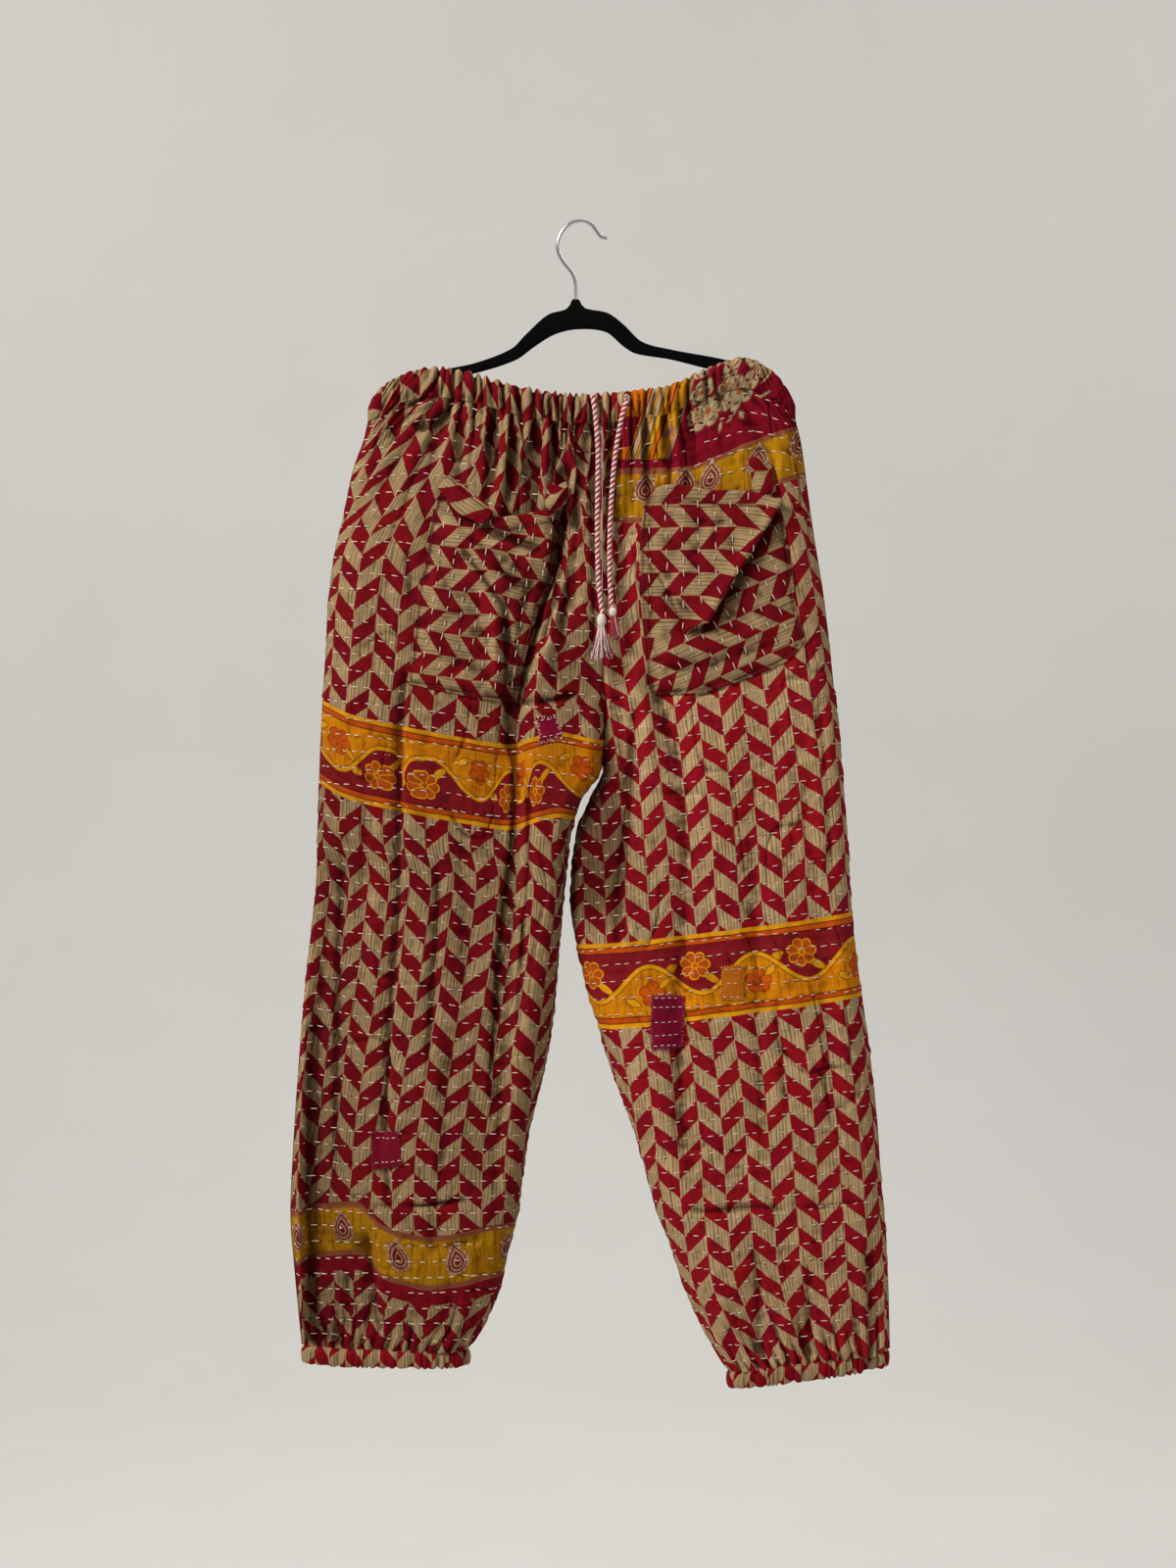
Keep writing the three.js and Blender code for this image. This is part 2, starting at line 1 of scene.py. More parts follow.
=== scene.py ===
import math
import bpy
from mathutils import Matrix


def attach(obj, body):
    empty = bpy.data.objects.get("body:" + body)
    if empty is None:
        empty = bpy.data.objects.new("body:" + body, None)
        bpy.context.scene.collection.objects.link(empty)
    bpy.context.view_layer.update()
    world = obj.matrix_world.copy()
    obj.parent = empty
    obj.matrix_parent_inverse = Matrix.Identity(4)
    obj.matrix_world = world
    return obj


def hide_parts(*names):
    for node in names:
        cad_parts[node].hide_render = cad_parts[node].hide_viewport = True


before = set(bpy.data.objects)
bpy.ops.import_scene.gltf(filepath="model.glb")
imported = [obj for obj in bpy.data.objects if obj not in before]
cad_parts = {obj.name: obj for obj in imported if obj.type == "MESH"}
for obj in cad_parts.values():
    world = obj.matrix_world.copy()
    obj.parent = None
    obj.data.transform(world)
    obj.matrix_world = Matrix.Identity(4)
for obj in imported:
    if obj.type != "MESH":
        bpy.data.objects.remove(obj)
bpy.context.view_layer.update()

# Gathered quilted-cotton joggers on a thin velvet hanger.
# Lengths in the tables and in the shape code are millimetres; meshes are made in metres.
# +Z up, +X towards the wearer's left leg, -Y out of the front. The origin is the crown of the hook.
from types import SimpleNamespace

import bmesh
import bpy
import numpy as np
from mathutils import Vector

scene = bpy.context.scene
PI = math.pi

# ---------------------------------------------------------------- camera
cam_data = bpy.data.cameras.new("camera")
cam_data.sensor_width = 36.0
cam_data.lens = 50.8
cam = bpy.data.objects.new("camera", cam_data)
cam.location = (0.0068, -2.2, -0.558)
cam.rotation_euler = (PI / 2, 0.0, 0.0)
scene.collection.objects.link(cam)
scene.camera = cam
scene.view_settings.view_transform = "Standard"


# ---------------------------------------------------------------- small maths
def table(rows):
    return np.array(rows, dtype=float)


def read(tab, at, col=1):
    """Smooth value of a column at `at` in column 0, by Catmull-Rom through the rows."""
    k, o = tab[:, 0], tab[:, col]
    if k[0] > k[-1]:
        k, o = k[::-1], o[::-1]
    m = np.empty_like(o)
    m[1:-1] = (o[2:] - o[:-2]) / (k[2:] - k[:-2])
    m[0] = (o[1] - o[0]) / (k[1] - k[0])
    m[-1] = (o[-1] - o[-2]) / (k[-1] - k[-2])
    at = np.clip(at, k[0], k[-1])
    i = np.clip(np.searchsorted(k, at, side="right") - 1, 0, len(k) - 2)
    span = k[i + 1] - k[i]
    u = (at - k[i]) / span
    u2, u3 = u * u, u * u * u
    return (
        (2 * u3 - 3 * u2 + 1) * o[i]
        + (u3 - 2 * u2 + u) * span * m[i]
        + (-2 * u3 + 3 * u2) * o[i + 1]
        + (u3 - u2) * span * m[i + 1]
    )


def smooth(a, b, v):
    u = np.clip((v - a) / (b - a), 0, 1)
    return u * u * (3 - 2 * u)


def hash01(m, seed=0.0):
    s = np.sin(np.asarray(m, dtype=float) * 127.1 + seed * 311.7) * 43758.5453
    return s - np.floor(s)


GRAIN = np.random.default_rng(7).uniform(-1, 1, (256, 256))


def noise(x, y, seed=0):
    """Smooth value noise, about -1 to 1, one cell to a unit."""
    x = np.asarray(x, dtype=float) + 17.3 * seed
    y = np.asarray(y, dtype=float) + 41.7 * seed
    xi, yi = np.floor(x).astype(int), np.floor(y).astype(int)
    fx, fy = x - xi, y - yi
    fx = fx * fx * fx * (fx * (fx * 6 - 15) + 10)
    fy = fy * fy * fy * (fy * (fy * 6 - 15) + 10)
    g = lambda a, b: GRAIN[(xi + a) & 255, (yi + b) & 255]
    return (g(0, 0) * (1 - fx) + g(1, 0) * fx) * (1 - fy) + (g(0, 1) * (1 - fx) + g(1, 1) * fx) * fy


def bell(d, w):
    return np.exp(-((d / w) ** 2))


# ---------------------------------------------------------------- meshes
def make(name, verts, faces, uvs=None, mats=(), face_mats=None, smooth_faces=True, unit=0.001):
    """An object from vertices in millimetres and faces; uvs is {map name: one (u, v) for each vertex}."""
    verts = np.asarray(verts, dtype=float) * unit
    faces = np.asarray(faces, dtype=np.int32)
    me = bpy.data.meshes.new(name)
    n, k = faces.shape
    me.vertices.add(len(verts))
    me.vertices.foreach_set("co", verts.astype(np.float32).ravel())
    me.loops.add(n * k)
    me.loops.foreach_set("vertex_index", faces.ravel())
    me.polygons.add(n)
    me.polygons.foreach_set("loop_start", np.arange(0, n * k, k, dtype=np.int32))
    me.polygons.foreach_set("loop_total", np.full(n, k, dtype=np.int32))
    for key, uv in (uvs or {}).items():
        layer = me.uv_layers.new(name=key)
        uv = np.asarray(uv, dtype=np.float32)
        data = uv[faces.ravel()] if len(uv) == len(verts) else uv
        layer.data.foreach_set("uv", np.ascontiguousarray(data, dtype=np.float32).ravel())
    for m in mats:
        me.materials.append(m)
    if face_mats is not None:
        me.polygons.foreach_set("material_index", np.asarray(face_mats, dtype=np.int32))
    me.polygons.foreach_set("use_smooth", np.full(n, bool(smooth_faces)))
    me.update(calc_edges=True)
    me.validate()
    ob = bpy.data.objects.new(name, me)
    scene.collection.objects.link(ob)
    return ob


def grid_faces(rows, cols, wrap_cols=False, base=0, flip=False):
    """Quads of a rows x cols grid of vertices."""
    i, j = np.meshgrid(np.arange(rows - 1), np.arange(cols if wrap_cols else cols - 1), indexing="ij")
    j2 = (j + 1) % cols
    a, b, c, d = i * cols + j, (i + 1) * cols + j, (i + 1) * cols + j2, i * cols + j2
    f = np.stack([a, d, c, b] if flip else [a, b, c, d], axis=-1).reshape(-1, 4) + base
    return f


def normals_of(p):
    """Unit normals of a grid of points, shape (rows, cols, 3)."""
    du = np.gradient(p, axis=1)
    dv = np.gradient(p, axis=0)
    n = np.cross(du, dv)
    return n / np.maximum(np.linalg.norm(n, axis=-1, keepdims=True), 1e-9)


def dense_path(points, step):
    """Points every `step` along a smooth curve through `points`."""
    p = np.asarray(points, dtype=float)
    t = np.concatenate([[0], np.cumsum(np.sqrt(np.linalg.norm(np.diff(p, axis=0), axis=1)))])
    tt = np.linspace(0, t[-1], 60 * len(p))
    q = np.stack([read(np.column_stack([t, p[:, k]]), tt) for k in range(3)], axis=1)
    s = np.concatenate([[0], np.cumsum(np.linalg.norm(np.diff(q, axis=0), axis=1))])
    n = max(int(round(s[-1] / step)), 2)
    ss = np.linspace(0, s[-1], n + 1)
    return np.stack([np.interp(ss, s, q[:, k]) for k in range(3)], axis=1), ss


def frames_along(p):
    """Tangent, side and up vectors carried along a path without twist."""
    t = np.gradient(p, axis=0)
    t /= np.linalg.norm(t, axis=1, keepdims=True)
    a = np.zeros_like(t)
    first = np.cross(t[0], [0.3, 1, 0.2])
    a[0] = first / np.linalg.norm(first)
    for i in range(1, len(p)):
        v = a[i - 1] - t[i] * (a[i - 1] @ t[i])
        a[i] = v / np.linalg.norm(v)
    return t, a, np.cross(t, a)


def tube(points, radius, sides=12, step=1.5, lobes=0, depth=0.0, pitch=1.0, cap=True):
    """Rings round a path: vertices, faces, uv (turn, length in metres) and the ring centres."""
    p, s = dense_path(points, step)
    t, a, b = frames_along(p)
    th = np.arange(sides) / sides * 2 * PI
    rad = radius(s) if callable(radius) else np.full(len(s), float(radius))
    ring = rad[:, None] * (1 + depth * np.cos(lobes * th[None, :] - 2 * PI * s[:, None] / pitch))
    v = p[:, None, :] + ring[..., None] * (
        np.cos(th)[None, :, None] * a[:, None, :] + np.sin(th)[None, :, None] * b[:, None, :]
    )
    n = len(p)
    verts = v.reshape(-1, 3)
    faces = grid_faces(n, sides, wrap_cols=True)
    uv_loop = []
    i, j = np.meshgrid(np.arange(n - 1), np.arange(sides), indexing="ij")
    u0, u1 = j / sides, (j + 1) / sides
    v0, v1 = s[i] * 0.001, s[i + 1] * 0.001
    uv_loop = np.stack(
        [np.stack([u0, v0], -1), np.stack([u0, v1], -1), np.stack([u1, v1], -1), np.stack([u1, v0], -1)], axis=2
    ).reshape(-1, 2)
    if cap:
        c0, c1 = len(verts), len(verts) + 1
        verts = np.vstack([verts, p[0], p[-1]])
        k = np.arange(sides)
        k2 = (k + 1) % sides
        first = np.stack([k, k2, np.full(sides, c0), np.full(sides, c0)], 1)
        last = np.stack([(n - 1) * sides + k2, (n - 1) * sides + k, np.full(sides, c1), np.full(sides, c1)], 1)
        # caps as quads whose last two corners meet are kept out: they are built as a fan of triangles
        faces = (faces, np.vstack([first, last])[:, :3])
    return verts, faces, uv_loop, p


def make_tube(name, points, radius, mat, **kw):
    verts, faces, uv, centres = tube(points, radius, **kw)
    quads, tris = faces
    me = bpy.data.meshes.new(name)
    me.from_pydata((verts * 0.001).tolist(), [], quads.tolist() + tris.tolist())
    layer = me.uv_layers.new(name="cord")
    data = np.zeros((len(me.loops), 2), dtype=np.float32)
    data[: len(uv)] = uv
    layer.data.foreach_set("uv", data.ravel())
    me.polygons.foreach_set("use_smooth", np.full(len(me.polygons), True))
    me.materials.append(mat)
    me.update()
    ob = bpy.data.objects.new(name, me)
    scene.collection.objects.link(ob)
    return ob, centres


# ---------------------------------------------------------------- node building
class Val:
    """A number in a node tree, with arithmetic."""

    def __init__(self, b, sock):
        self.b, self.sock = b, sock

    def _op(self, op, other, swap=False):
        a, c = (other, self) if swap else (self, other)
        return self.b.math(op, a, c)

    def __add__(self, o): return self._op("ADD", o)
    def __radd__(self, o): return self._op("ADD", o, True)
    def __sub__(self, o): return self._op("SUBTRACT", o)
    def __rsub__(self, o): return self._op("SUBTRACT", o, True)
    def __mul__(self, o): return self._op("MULTIPLY", o)
    def __rmul__(self, o): return self._op("MULTIPLY", o, True)
    def __truediv__(self, o): return self._op("DIVIDE", o)
    def __rtruediv__(self, o): return self._op("DIVIDE", o, True)
    def __neg__(self): return self._op("MULTIPLY", -1.0)
    def __pow__(self, o): return self._op("POWER", o)


class Nodes:
    def __init__(self, material):
        self.mat = material
        self.tree = material.node_tree
        self.count = 0

    def new(self, kind, **props):
        n = self.tree.nodes.new(kind)
        self.count += 1
        n.location = ((self.count % 40) * 180, -(self.count // 40) * 200)
        for k, v in props.items():
            setattr(n, k, v)
        return n

    def put(self, sock, value):
        if isinstance(value, Val):
            self.tree.links.new(value.sock, sock)
        elif isinstance(value, bpy.types.NodeSocket):
            self.tree.links.new(value, sock)
        elif isinstance(value, (tuple, list)):
            v = list(value)
            if sock.type == "RGBA" and len(v) == 3:
                v = v + [1.0]
            sock.default_value = v
        else:
            sock.default_value = float(value)

    def math(self, op, a, b=None, c=None, clamp=False):
        n = self.new("ShaderNodeMath", operation=op, use_clamp=clamp)
        self.put(n.inputs[0], a)
        if b is not None:
            self.put(n.inputs[1], b)
        if c is not None:
            self.put(n.inputs[2], c)
        return Val(self, n.outputs[0])

    def floor(self, a): return self.math("FLOOR", a)
    def fract(self, a): return self.math("FRACT", a)
    def abs(self, a): return self.math("ABSOLUTE", a)
    def min(self, a, b): return self.math("MINIMUM", a, b)
    def max(self, a, b): return self.math("MAXIMUM", a, b)
    def sin(self, a): return self.math("SINE", a)
    def cos(self, a): return self.math("COSINE", a)
    def atan2(self, a, b): return self.math("ARCTAN2", a, b)
    def sqrt(self, a): return self.math("SQRT", a)
    def mod(self, a, b): return self.math("FLOORED_MODULO", a, b)
    def less(self, a, b): return self.math("LESS_THAN", a, b)
    def clamp01(self, a): return self.math("ADD", a, 0.0, clamp=True)

    def step(self, e0, e1, x):
        """0 below e0, 1 above e1, smooth between."""
        n = self.new("ShaderNodeMapRange", interpolation_type="SMOOTHSTEP", clamp=True)
        self.put(n.inputs["Value"], x)
        n.inputs["From Min"].default_value = e0
        n.inputs["From Max"].default_value = e1
        return Val(self, n.outputs[0])

    def inside(self, d, soft):
        """1 where d is negative, over a soft edge."""
        n = self.new("ShaderNodeMapRange", interpolation_type="SMOOTHSTEP", clamp=True)
        self.put(n.inputs["Value"], d)
        n.inputs["From Min"].default_value = -soft
        n.inputs["From Max"].default_value = soft
        n.inputs["To Min"].default_value = 1.0
        n.inputs["To Max"].default_value = 0.0
        return Val(self, n.outputs[0])

    def line(self, d, half, soft):
        """1 where |d| is less than half."""
        return self.inside(self.abs(d) - half, soft)

    def mix(self, f, a, b):
        n = self.new("ShaderNodeMix", data_type="RGBA", blend_type="MIX")
        self.put(n.inputs[0], f)
        self.put(n.inputs[6], a)
        self.put(n.inputs[7], b)
        return n.outputs[2]

    def blend(self, kind, f, a, b):
        n = self.new("ShaderNodeMix", data_type="RGBA", blend_type=kind)
        self.put(n.inputs[0], f)
        self.put(n.inputs[6], a)
        self.put(n.inputs[7], b)
        return n.outputs[2]

    def mixf(self, f, a, b):
        n = self.new("ShaderNodeMix", data_type="FLOAT")
        self.put(n.inputs[0], f)
        self.put(n.inputs[2], a)
        self.put(n.inputs[3], b)
        return Val(self, n.outputs[0])

    def uv(self, name):
        n = self.new("ShaderNodeUVMap", uv_map=name)
        s = self.new("ShaderNodeSeparateXYZ")
        self.tree.links.new(n.outputs[0], s.inputs[0])
        return Val(self, s.outputs[0]), Val(self, s.outputs[1])

    def xyz(self, x, y, z=0.0):
        n = self.new("ShaderNodeCombineXYZ")
        for k, v in enumerate((x, y, z)):
            self.put(n.inputs[k], v)
        return n.outputs[0]

    def noise(self, vec, scale, detail=2.0, rough=0.5, distortion=0.0, color=False):
        n = self.new("ShaderNodeTexNoise", noise_dimensions="3D")
        self.put(n.inputs["Vector"], vec)
        n.inputs["Scale"].default_value = scale
        n.inputs["Detail"].default_value = detail
        n.inputs["Roughness"].default_value = rough
        n.inputs["Distortion"].default_value = distortion
        return n.outputs["Color"] if color else Val(self, n.outputs["Fac"])

    def white(self, vec):
        n = self.new("ShaderNodeTexWhiteNoise", noise_dimensions="3D")
        self.put(n.inputs["Vector"], vec)
        return Val(self, n.outputs["Value"])

    def bump(self, height, strength, distance, normal=None):
        n = self.new("ShaderNodeBump")
        n.inputs["Strength"].default_value = strength
        n.inputs["Distance"].default_value = distance
        self.put(n.inputs["Height"], height)
        if normal is not None:
            self.tree.links.new(normal, n.inputs["Normal"])
        return n.outputs[0]


def new_material(name):
    m = bpy.data.materials.new(name)
    m.use_nodes = True
    m.node_tree.nodes.clear()
    b = Nodes(m)
    out = b.new("ShaderNodeOutputMaterial")
    bsdf = b.new("ShaderNodeBsdfPrincipled")
    b.tree.links.new(bsdf.outputs[0], out.inputs[0])
    return m, b, bsdf


# ---------------------------------------------------------------- colours (linear)
RED = (0.255, 0.0060, 0.0095)
RED_DEEP = (0.190, 0.0034, 0.0125)
BEIGE = (0.440, 0.298, 0.150)
BEIGE_DARK = (0.110, 0.064, 0.022)
GOLD = (0.640, 0.245, 0.0045)
ORANGE = (0.54, 0.090, 0.003)
MUSTARD = (0.500, 0.228, 0.0050)
DARK = (0.085, 0.006, 0.008)


# ---------------------------------------------------------------- cloth materials
CELL_W, CELL_RISE, CELL_H = 22.5, 19.5, 18.5
RED_DULL = (0.86, 0.90, 0.88)


def chevron(b, u, v, seed=0.0):
    """Colour of the printed chevrons at (u, v) in millimetres, and the beige share."""
    wob = b.noise(b.xyz(u * 0.05, v * 0.05, seed), 1.0, 3.0, 0.6) - 0.5
    wob2 = b.noise(b.xyz(u * 0.6, v * 0.6, seed + 5.0), 1.0, 2.0, 0.6) - 0.5
    uu = u + wob * 1.6 + wob2 * 0.7
    a = uu / CELL_W
    col = b.floor(a)
    f = a - col
    odd = b.mod(col, 2.0)
    rise = b.mixf(odd, f, 1.0 - f) * CELL_RISE
    t = (v + rise + wob * 2.4 + wob2 * 0.8) / CELL_H
    k = b.floor(t)
    beige = b.mod(k + col, 2.0)
    # each cell's red varies a little, cell by cell and in larger patches
    per_cell = b.white(b.xyz(col, k, seed + 0.5))
    cell_noise = b.noise(b.xyz(u * 0.012, v * 0.012, seed + 9.0), 1.0, 2.0, 0.5)
    red = b.mix(b.clamp01(per_cell * 0.55 + cell_noise * 0.6 - 0.12), RED, RED_DEEP)
    # slub threads run down the cloth through the beige cells
    shift = b.noise(b.xyz(u * 0.10, v * 0.012, seed + 2.5), 1.0, 2.0, 0.5) * 9.0
    band = b.sin((u + shift) * (2 * PI / 3.55) + per_cell * 2.0) * 0.5 + 0.5
    slub = b.noise(b.xyz(u * 0.55, v * 0.030, seed + 2.0), 1.0, 2.0, 0.75)
    slub = b.step(0.74, 1.02, band * 0.62 + slub * 0.72)
    patchy = b.noise(b.xyz(u * 0.03, v * 0.03, seed + 3.0), 1.0, 3.0, 0.6)
    base = b.mix(b.clamp01(per_cell * 0.35 + patchy * 0.5), BEIGE, tuple(0.84 * c for c in BEIGE))
    pale = b.mix(slub * 0.76, base, BEIGE_DARK)
    return b.mix(beige, red, pale), beige, per_cell


def cloth_finish(b, bsdf, color, u, v, seed=0.0, wear=0.10, tone=1.0):
    """Worn plain-weave cotton: threads, a little pilling, ridges lightened partly by fading and partly as a painted
    highlight, painted shade in the hollows, soft sheen.
    """
    fade = b.noise(b.xyz(u * 0.009, v * 0.009, seed + 20.0), 1.0, 4.0, 0.6)
    speck = b.noise(b.xyz(u * 1.1, v * 1.1, seed + 21.0), 1.0, 3.0, 0.7)
    lo, hi = (0.88 * tone, 0.86 * tone, 0.86 * tone), (1.09 * tone, 1.08 * tone, 1.08 * tone)
    color = b.blend("MULTIPLY", 1.0, color, b.mix(fade, lo, hi))
    color = b.mix(b.step(0.62, 0.82, speck) * wear * 0.7, color, (0.42, 0.235, 0.150))
    # lighter on the ridges and rims, partly faded wear and partly a painted highlight; darker in the hollows of the
    # folds as painted shade
    hollow, ridge = b.uv("relief")
    color = b.blend("MULTIPLY", 1.0, color, b.mix(b.clamp01(ridge), (1.0, 1.0, 1.0), (1.26, 1.24, 1.24)))
    color = b.blend("MULTIPLY", 1.0, color, b.mix(b.clamp01(hollow), (1.0, 1.0, 1.0), (0.30, 0.25, 0.25)))
    thread_u = b.sin(u * (2 * PI / 0.62))
    thread_v = b.sin(v * (2 * PI / 0.62))
    weave = thread_u * thread_v
    slub = b.noise(b.xyz(u * 0.9, v * 0.09, seed + 22.0), 1.0, 3.0, 0.6)
    pile = b.noise(b.xyz(u * 0.35, v * 0.35, seed + 23.0), 1.0, 4.0, 0.65)
    height = weave * 0.12 + slub * 0.55 + pile * 0.75
    normal = b.bump(height, 0.55, 0.0011)
    b.put(bsdf.inputs["Base Color"], color)
    b.tree.links.new(normal, bsdf.inputs["Normal"])
    rough = b.noise(b.xyz(u * 0.2, v * 0.2, seed + 24.0), 1.0, 2.0, 0.5) * 0.12 + 0.82
    b.put(bsdf.inputs["Roughness"], rough)
    bsdf.inputs["Specular IOR Level"].default_value = 0.03
    bsdf.inputs["Sheen Weight"].default_value = 0.01
    bsdf.inputs["Sheen Roughness"].default_value = 0.55


def chevron_material(name, seed=0.0, shift=(0.0, 0.0), tone=1.0):
    m, b, bsdf = new_material(name)
    u, v = b.uv("cloth")
    u, v = u * 1000.0 + shift[0], v * 1000.0 + shift[1]
    color, beige, cell = chevron(b, u, v, seed)
    if tone < 0.9:
        color = b.blend("MULTIPLY", 1.0, color, b.mix(beige, RED_DULL, (1.04, 1.04, 1.02)))
    cloth_finish(b, bsdf, color, u, v, seed, tone=tone)
    return m


def plain_material(name, color, second, seed=0.0, uvmap="cloth", scale=1.0, wear=0.1):
    m, b, bsdf = new_material(name)
    u, v = b.uv(uvmap)
    u, v = u * (1000.0 * scale), v * (1000.0 * scale)
    n = b.noise(b.xyz(u * 0.06, v * 0.06, seed), 1.0, 3.0, 0.6)
    cloth_finish(b, bsdf, b.mix(n, color, second), u, v, seed, wear)
    return m


SHADE_TONE_R, LIGHT_TONE_L = 0.80, 1.20  # painted shade and light: the wearer's right leg's cloth is darkened and the left leg's brightened, standing in for how the light falls on the two legs
MAT_CHEVRON = chevron_material("chevron_cotton", 0.0, tone=0.97)
MAT_CHEVRON_R = chevron_material("chevron_cotton_right_painted_shade", 0.0, tone=SHADE_TONE_R)
MAT_CHEVRON_L = chevron_material("chevron_cotton_left_painted_light", 0.0, tone=LIGHT_TONE_L)
MAT_CHEVRON_B = chevron_material("chevron_cotton_back", 31.0, (9.0, 7.0))
MAT_POCKET_R = chevron_material("chevron_cotton_pocket_right", 11.0, tone=0.84)
MAT_POCKET_L = chevron_material("chevron_cotton_pocket_left", 12.0, tone=0.84)
MAT_PATCH_MAGENTA = plain_material("patch_magenta_cotton", (0.24, 0.006, 0.035), (0.17, 0.004, 0.020), 41.0)
MAT_PATCH_RED = plain_material("patch_red_cotton", (0.20, 0.006, 0.022), (0.15, 0.004, 0.014), 42.0)
MAT_PATCH_ORANGE = plain_material("patch_orange_cotton", (0.55, 0.17, 0.012), (0.42, 0.10, 0.008), 43.0)


def ramp(b, x, stops, mode="LINEAR"):
    """Colour by position 0..1 from (position, colour) stops."""
    n = b.new("ShaderNodeValToRGB")
    n.color_ramp.interpolation = mode
    el = n.color_ramp.elements
    while len(el) > 1:
        el.remove(el[-1])
    el[0].position, el[0].color = stops[0][0], (*stops[0][1], 1.0)
    for at, col in stops[1:]:
        e = el.new(at)
        e.color = (*col, 1.0)
    b.put(n.inputs[0], x)
    return n.outputs[0]


def bands(edges, width, soft=0.35):
    """Stops for a ramp over `width` millimetres: edges is (end, colour) in order."""
    stops, at = [], 0.0
    for end, col in edges:
        stops.append((min((at + soft) / width, 1.0) if at > 0 else 0.0, col))
        stops.append((min(max(end - soft, at) / width, 1.0), col))
        at = end
    return stops


def steps(b, x, edges, soft=0.35):
    """Colour bands along x in millimetres, for more bands than a ramp takes."""
    out = edges[0][1]
    at = edges[0][0]
    for end, col in edges[1:]:
        out = b.mix(b.step(at - soft, at + soft, x), out, col)
        at = end
    return out


YELLOW = (0.70, 0.335, 0.0080)
BROWN = (0.16, 0.030, 0.008)


def slubbed(b, p, q, light, dark, seed, pitch=3.2):
    """A ground colour with darker threads running down it."""
    n = b.noise(b.xyz(p * 0.30, q * 0.015, seed), 1.0, 3.0, 0.75)
    n2 = b.noise(b.xyz(p * 0.05, q * 0.05, seed + 3.0), 1.0, 3.0, 0.6)
    line = b.step(0.50, 0.62, n)
    return b.mix(b.clamp01(line * 0.75 + n2 * 0.25 - 0.05), light, dark)


def leaf(b, x, y, cx, cy, angle, long, wide):
    """Negative inside a leaf, about millimetres."""
    ca, sa = math.cos(angle), math.sin(angle)
    dx, dy = x - cx, y - cy
    a = (dx * ca + dy * sa) * (1.0 / long)
    w = b.abs(dy * ca - dx * sa) * (1.0 / wide)
    return (w - 1.0 + a * a) * (wide * 0.8)


def rosette(b, x, y, cx, cy, petals, radius, turn, notch=0.42):
    """Distance outside a flower, how near a line between petals, and the distance from its middle."""
    dx, dy = x - cx, (y - cy)
    r = b.sqrt(dx * dx + dy * dy)
    th = b.atan2(dy, dx) * (petals / 2.0) + turn
    lobe = b.abs(b.cos(th))
    edge = (b.math("POWER", lobe, 0.55) * notch + (1.0 - notch)) * radius
    return r - edge, lobe * r, r


def vine_border(b, p, q, seed):
    """The flowered border, 84 mm tall: a vine between a maroon field and a slubbed golden one."""
    w1 = b.noise(b.xyz(p * 0.05, q * 0.05, seed), 1.0, 2.0, 0.5) - 0.5
    q = q + w1 * 1.8
    p = p + w1 * 1.4
    ph = p * (2 * PI / 100.0)
    cs = b.cos(ph)
    sn = b.sin(ph)
    d = (q - (42.0 + cs * 16.0 + sn * 1.5)) / (1.0 + sn * sn * 0.42)
    pf = b.mod(p + 50.0, 100.0) - 50.0
    pg = b.mod(p, 100.0) - 50.0
    cloud = b.noise(b.xyz(p * 0.04, q * 0.04, seed + 1.0), 1.0, 3.0, 0.6)
    maroon = b.mix(cloud, (0.26, 0.0125, 0.016), (0.165, 0.0085, 0.018))
    gold = slubbed(b, p, q, GOLD, (0.40, 0.105, 0.003), seed + 2.0)
    color = b.mix(b.inside(0.0 - d, 0.4), maroon, gold)
    # orange flower and pale leaves in the golden field
    d1, between, r1 = rosette(b, pg, q, 3.0, 53.0, 5.0, 13.0, 0.6, 0.30)
    fill = b.mix(cloud, (0.58, 0.125, 0.006), (0.46, 0.060, 0.005))
    fill = b.mix(b.inside(between - 0.9, 0.4), fill, BROWN)
    fill = b.mix(b.inside(r1 - 2.6, 0.4), fill, (0.50, 0.10, 0.006))
    color = b.mix(b.inside(d1, 0.4), color, b.mix(b.line(d1 + 0.5, 0.45, 0.3), fill, BROWN))
    for cx, cy, ang, lg, wd in ((-16.0, 60.0, 0.5, 8.5, 4.2), (15.0, 44.0, -0.7, 8.0, 4.0)):
        dl = leaf(b, pg, q, cx, cy, ang, lg, wd)
        color = b.mix(b.inside(dl, 0.4), color, b.mix(b.line(dl + 0.4, 0.4, 0.3), YELLOW, BROWN))
    # outlined flower, leaf and leafy stem in the maroon field
    dl = leaf(b, pf, q, 9.5, 44.0, 0.72, 11.0, 3.4)
    color = b.mix(b.inside(dl, 0.4), color, YELLOW)
    dl = leaf(b, pf, q, -27.5, 31.0, -0.42, 7.5, 4.4)
    color = b.mix(b.inside(dl, 0.4), color, b.mix(b.inside(dl + 1.6, 0.3), (0.60, 0.24, 0.012), YELLOW))
    d2, between, r2 = rosette(b, pf, q, -4.0, 30.5, 7.0, 14.5, 0.3, 0.30)
    fill = b.mix(cloud, (0.50, 0.105, 0.008), (0.36, 0.050, 0.010))
    fill = b.mix(b.inside(between - 1.5, 0.4), fill, YELLOW)
    fill = b.mix(b.inside(r2 - 3.4, 0.4), fill, b.mix(b.inside(r2 - 2.2, 0.3), YELLOW, (0.50, 0.10, 0.01)))
    color = b.mix(b.inside(d2, 0.4), color, b.mix(b.line(d2 + 0.8, 0.8, 0.35), fill, YELLOW))
    # the vine
    color = b.mix(b.line(d, 2.7, 0.35), color, b.mix(b.line(d, 1.9, 0.3), BROWN, YELLOW))
    # the lines along both edges
    e = b.min(q, 84.0 - q)
    lines = ramp(b, e * (1 / 14.0), bands([
        (4.2, YELLOW), (5.1, DARK), (9.8, (0.50, 0.085, 0.006)), (10.8, DARK), (14.0, DARK)], 14.0))
    color = b.mix(b.inside(e - 10.8, 0.3), color, lines)
    return color, e


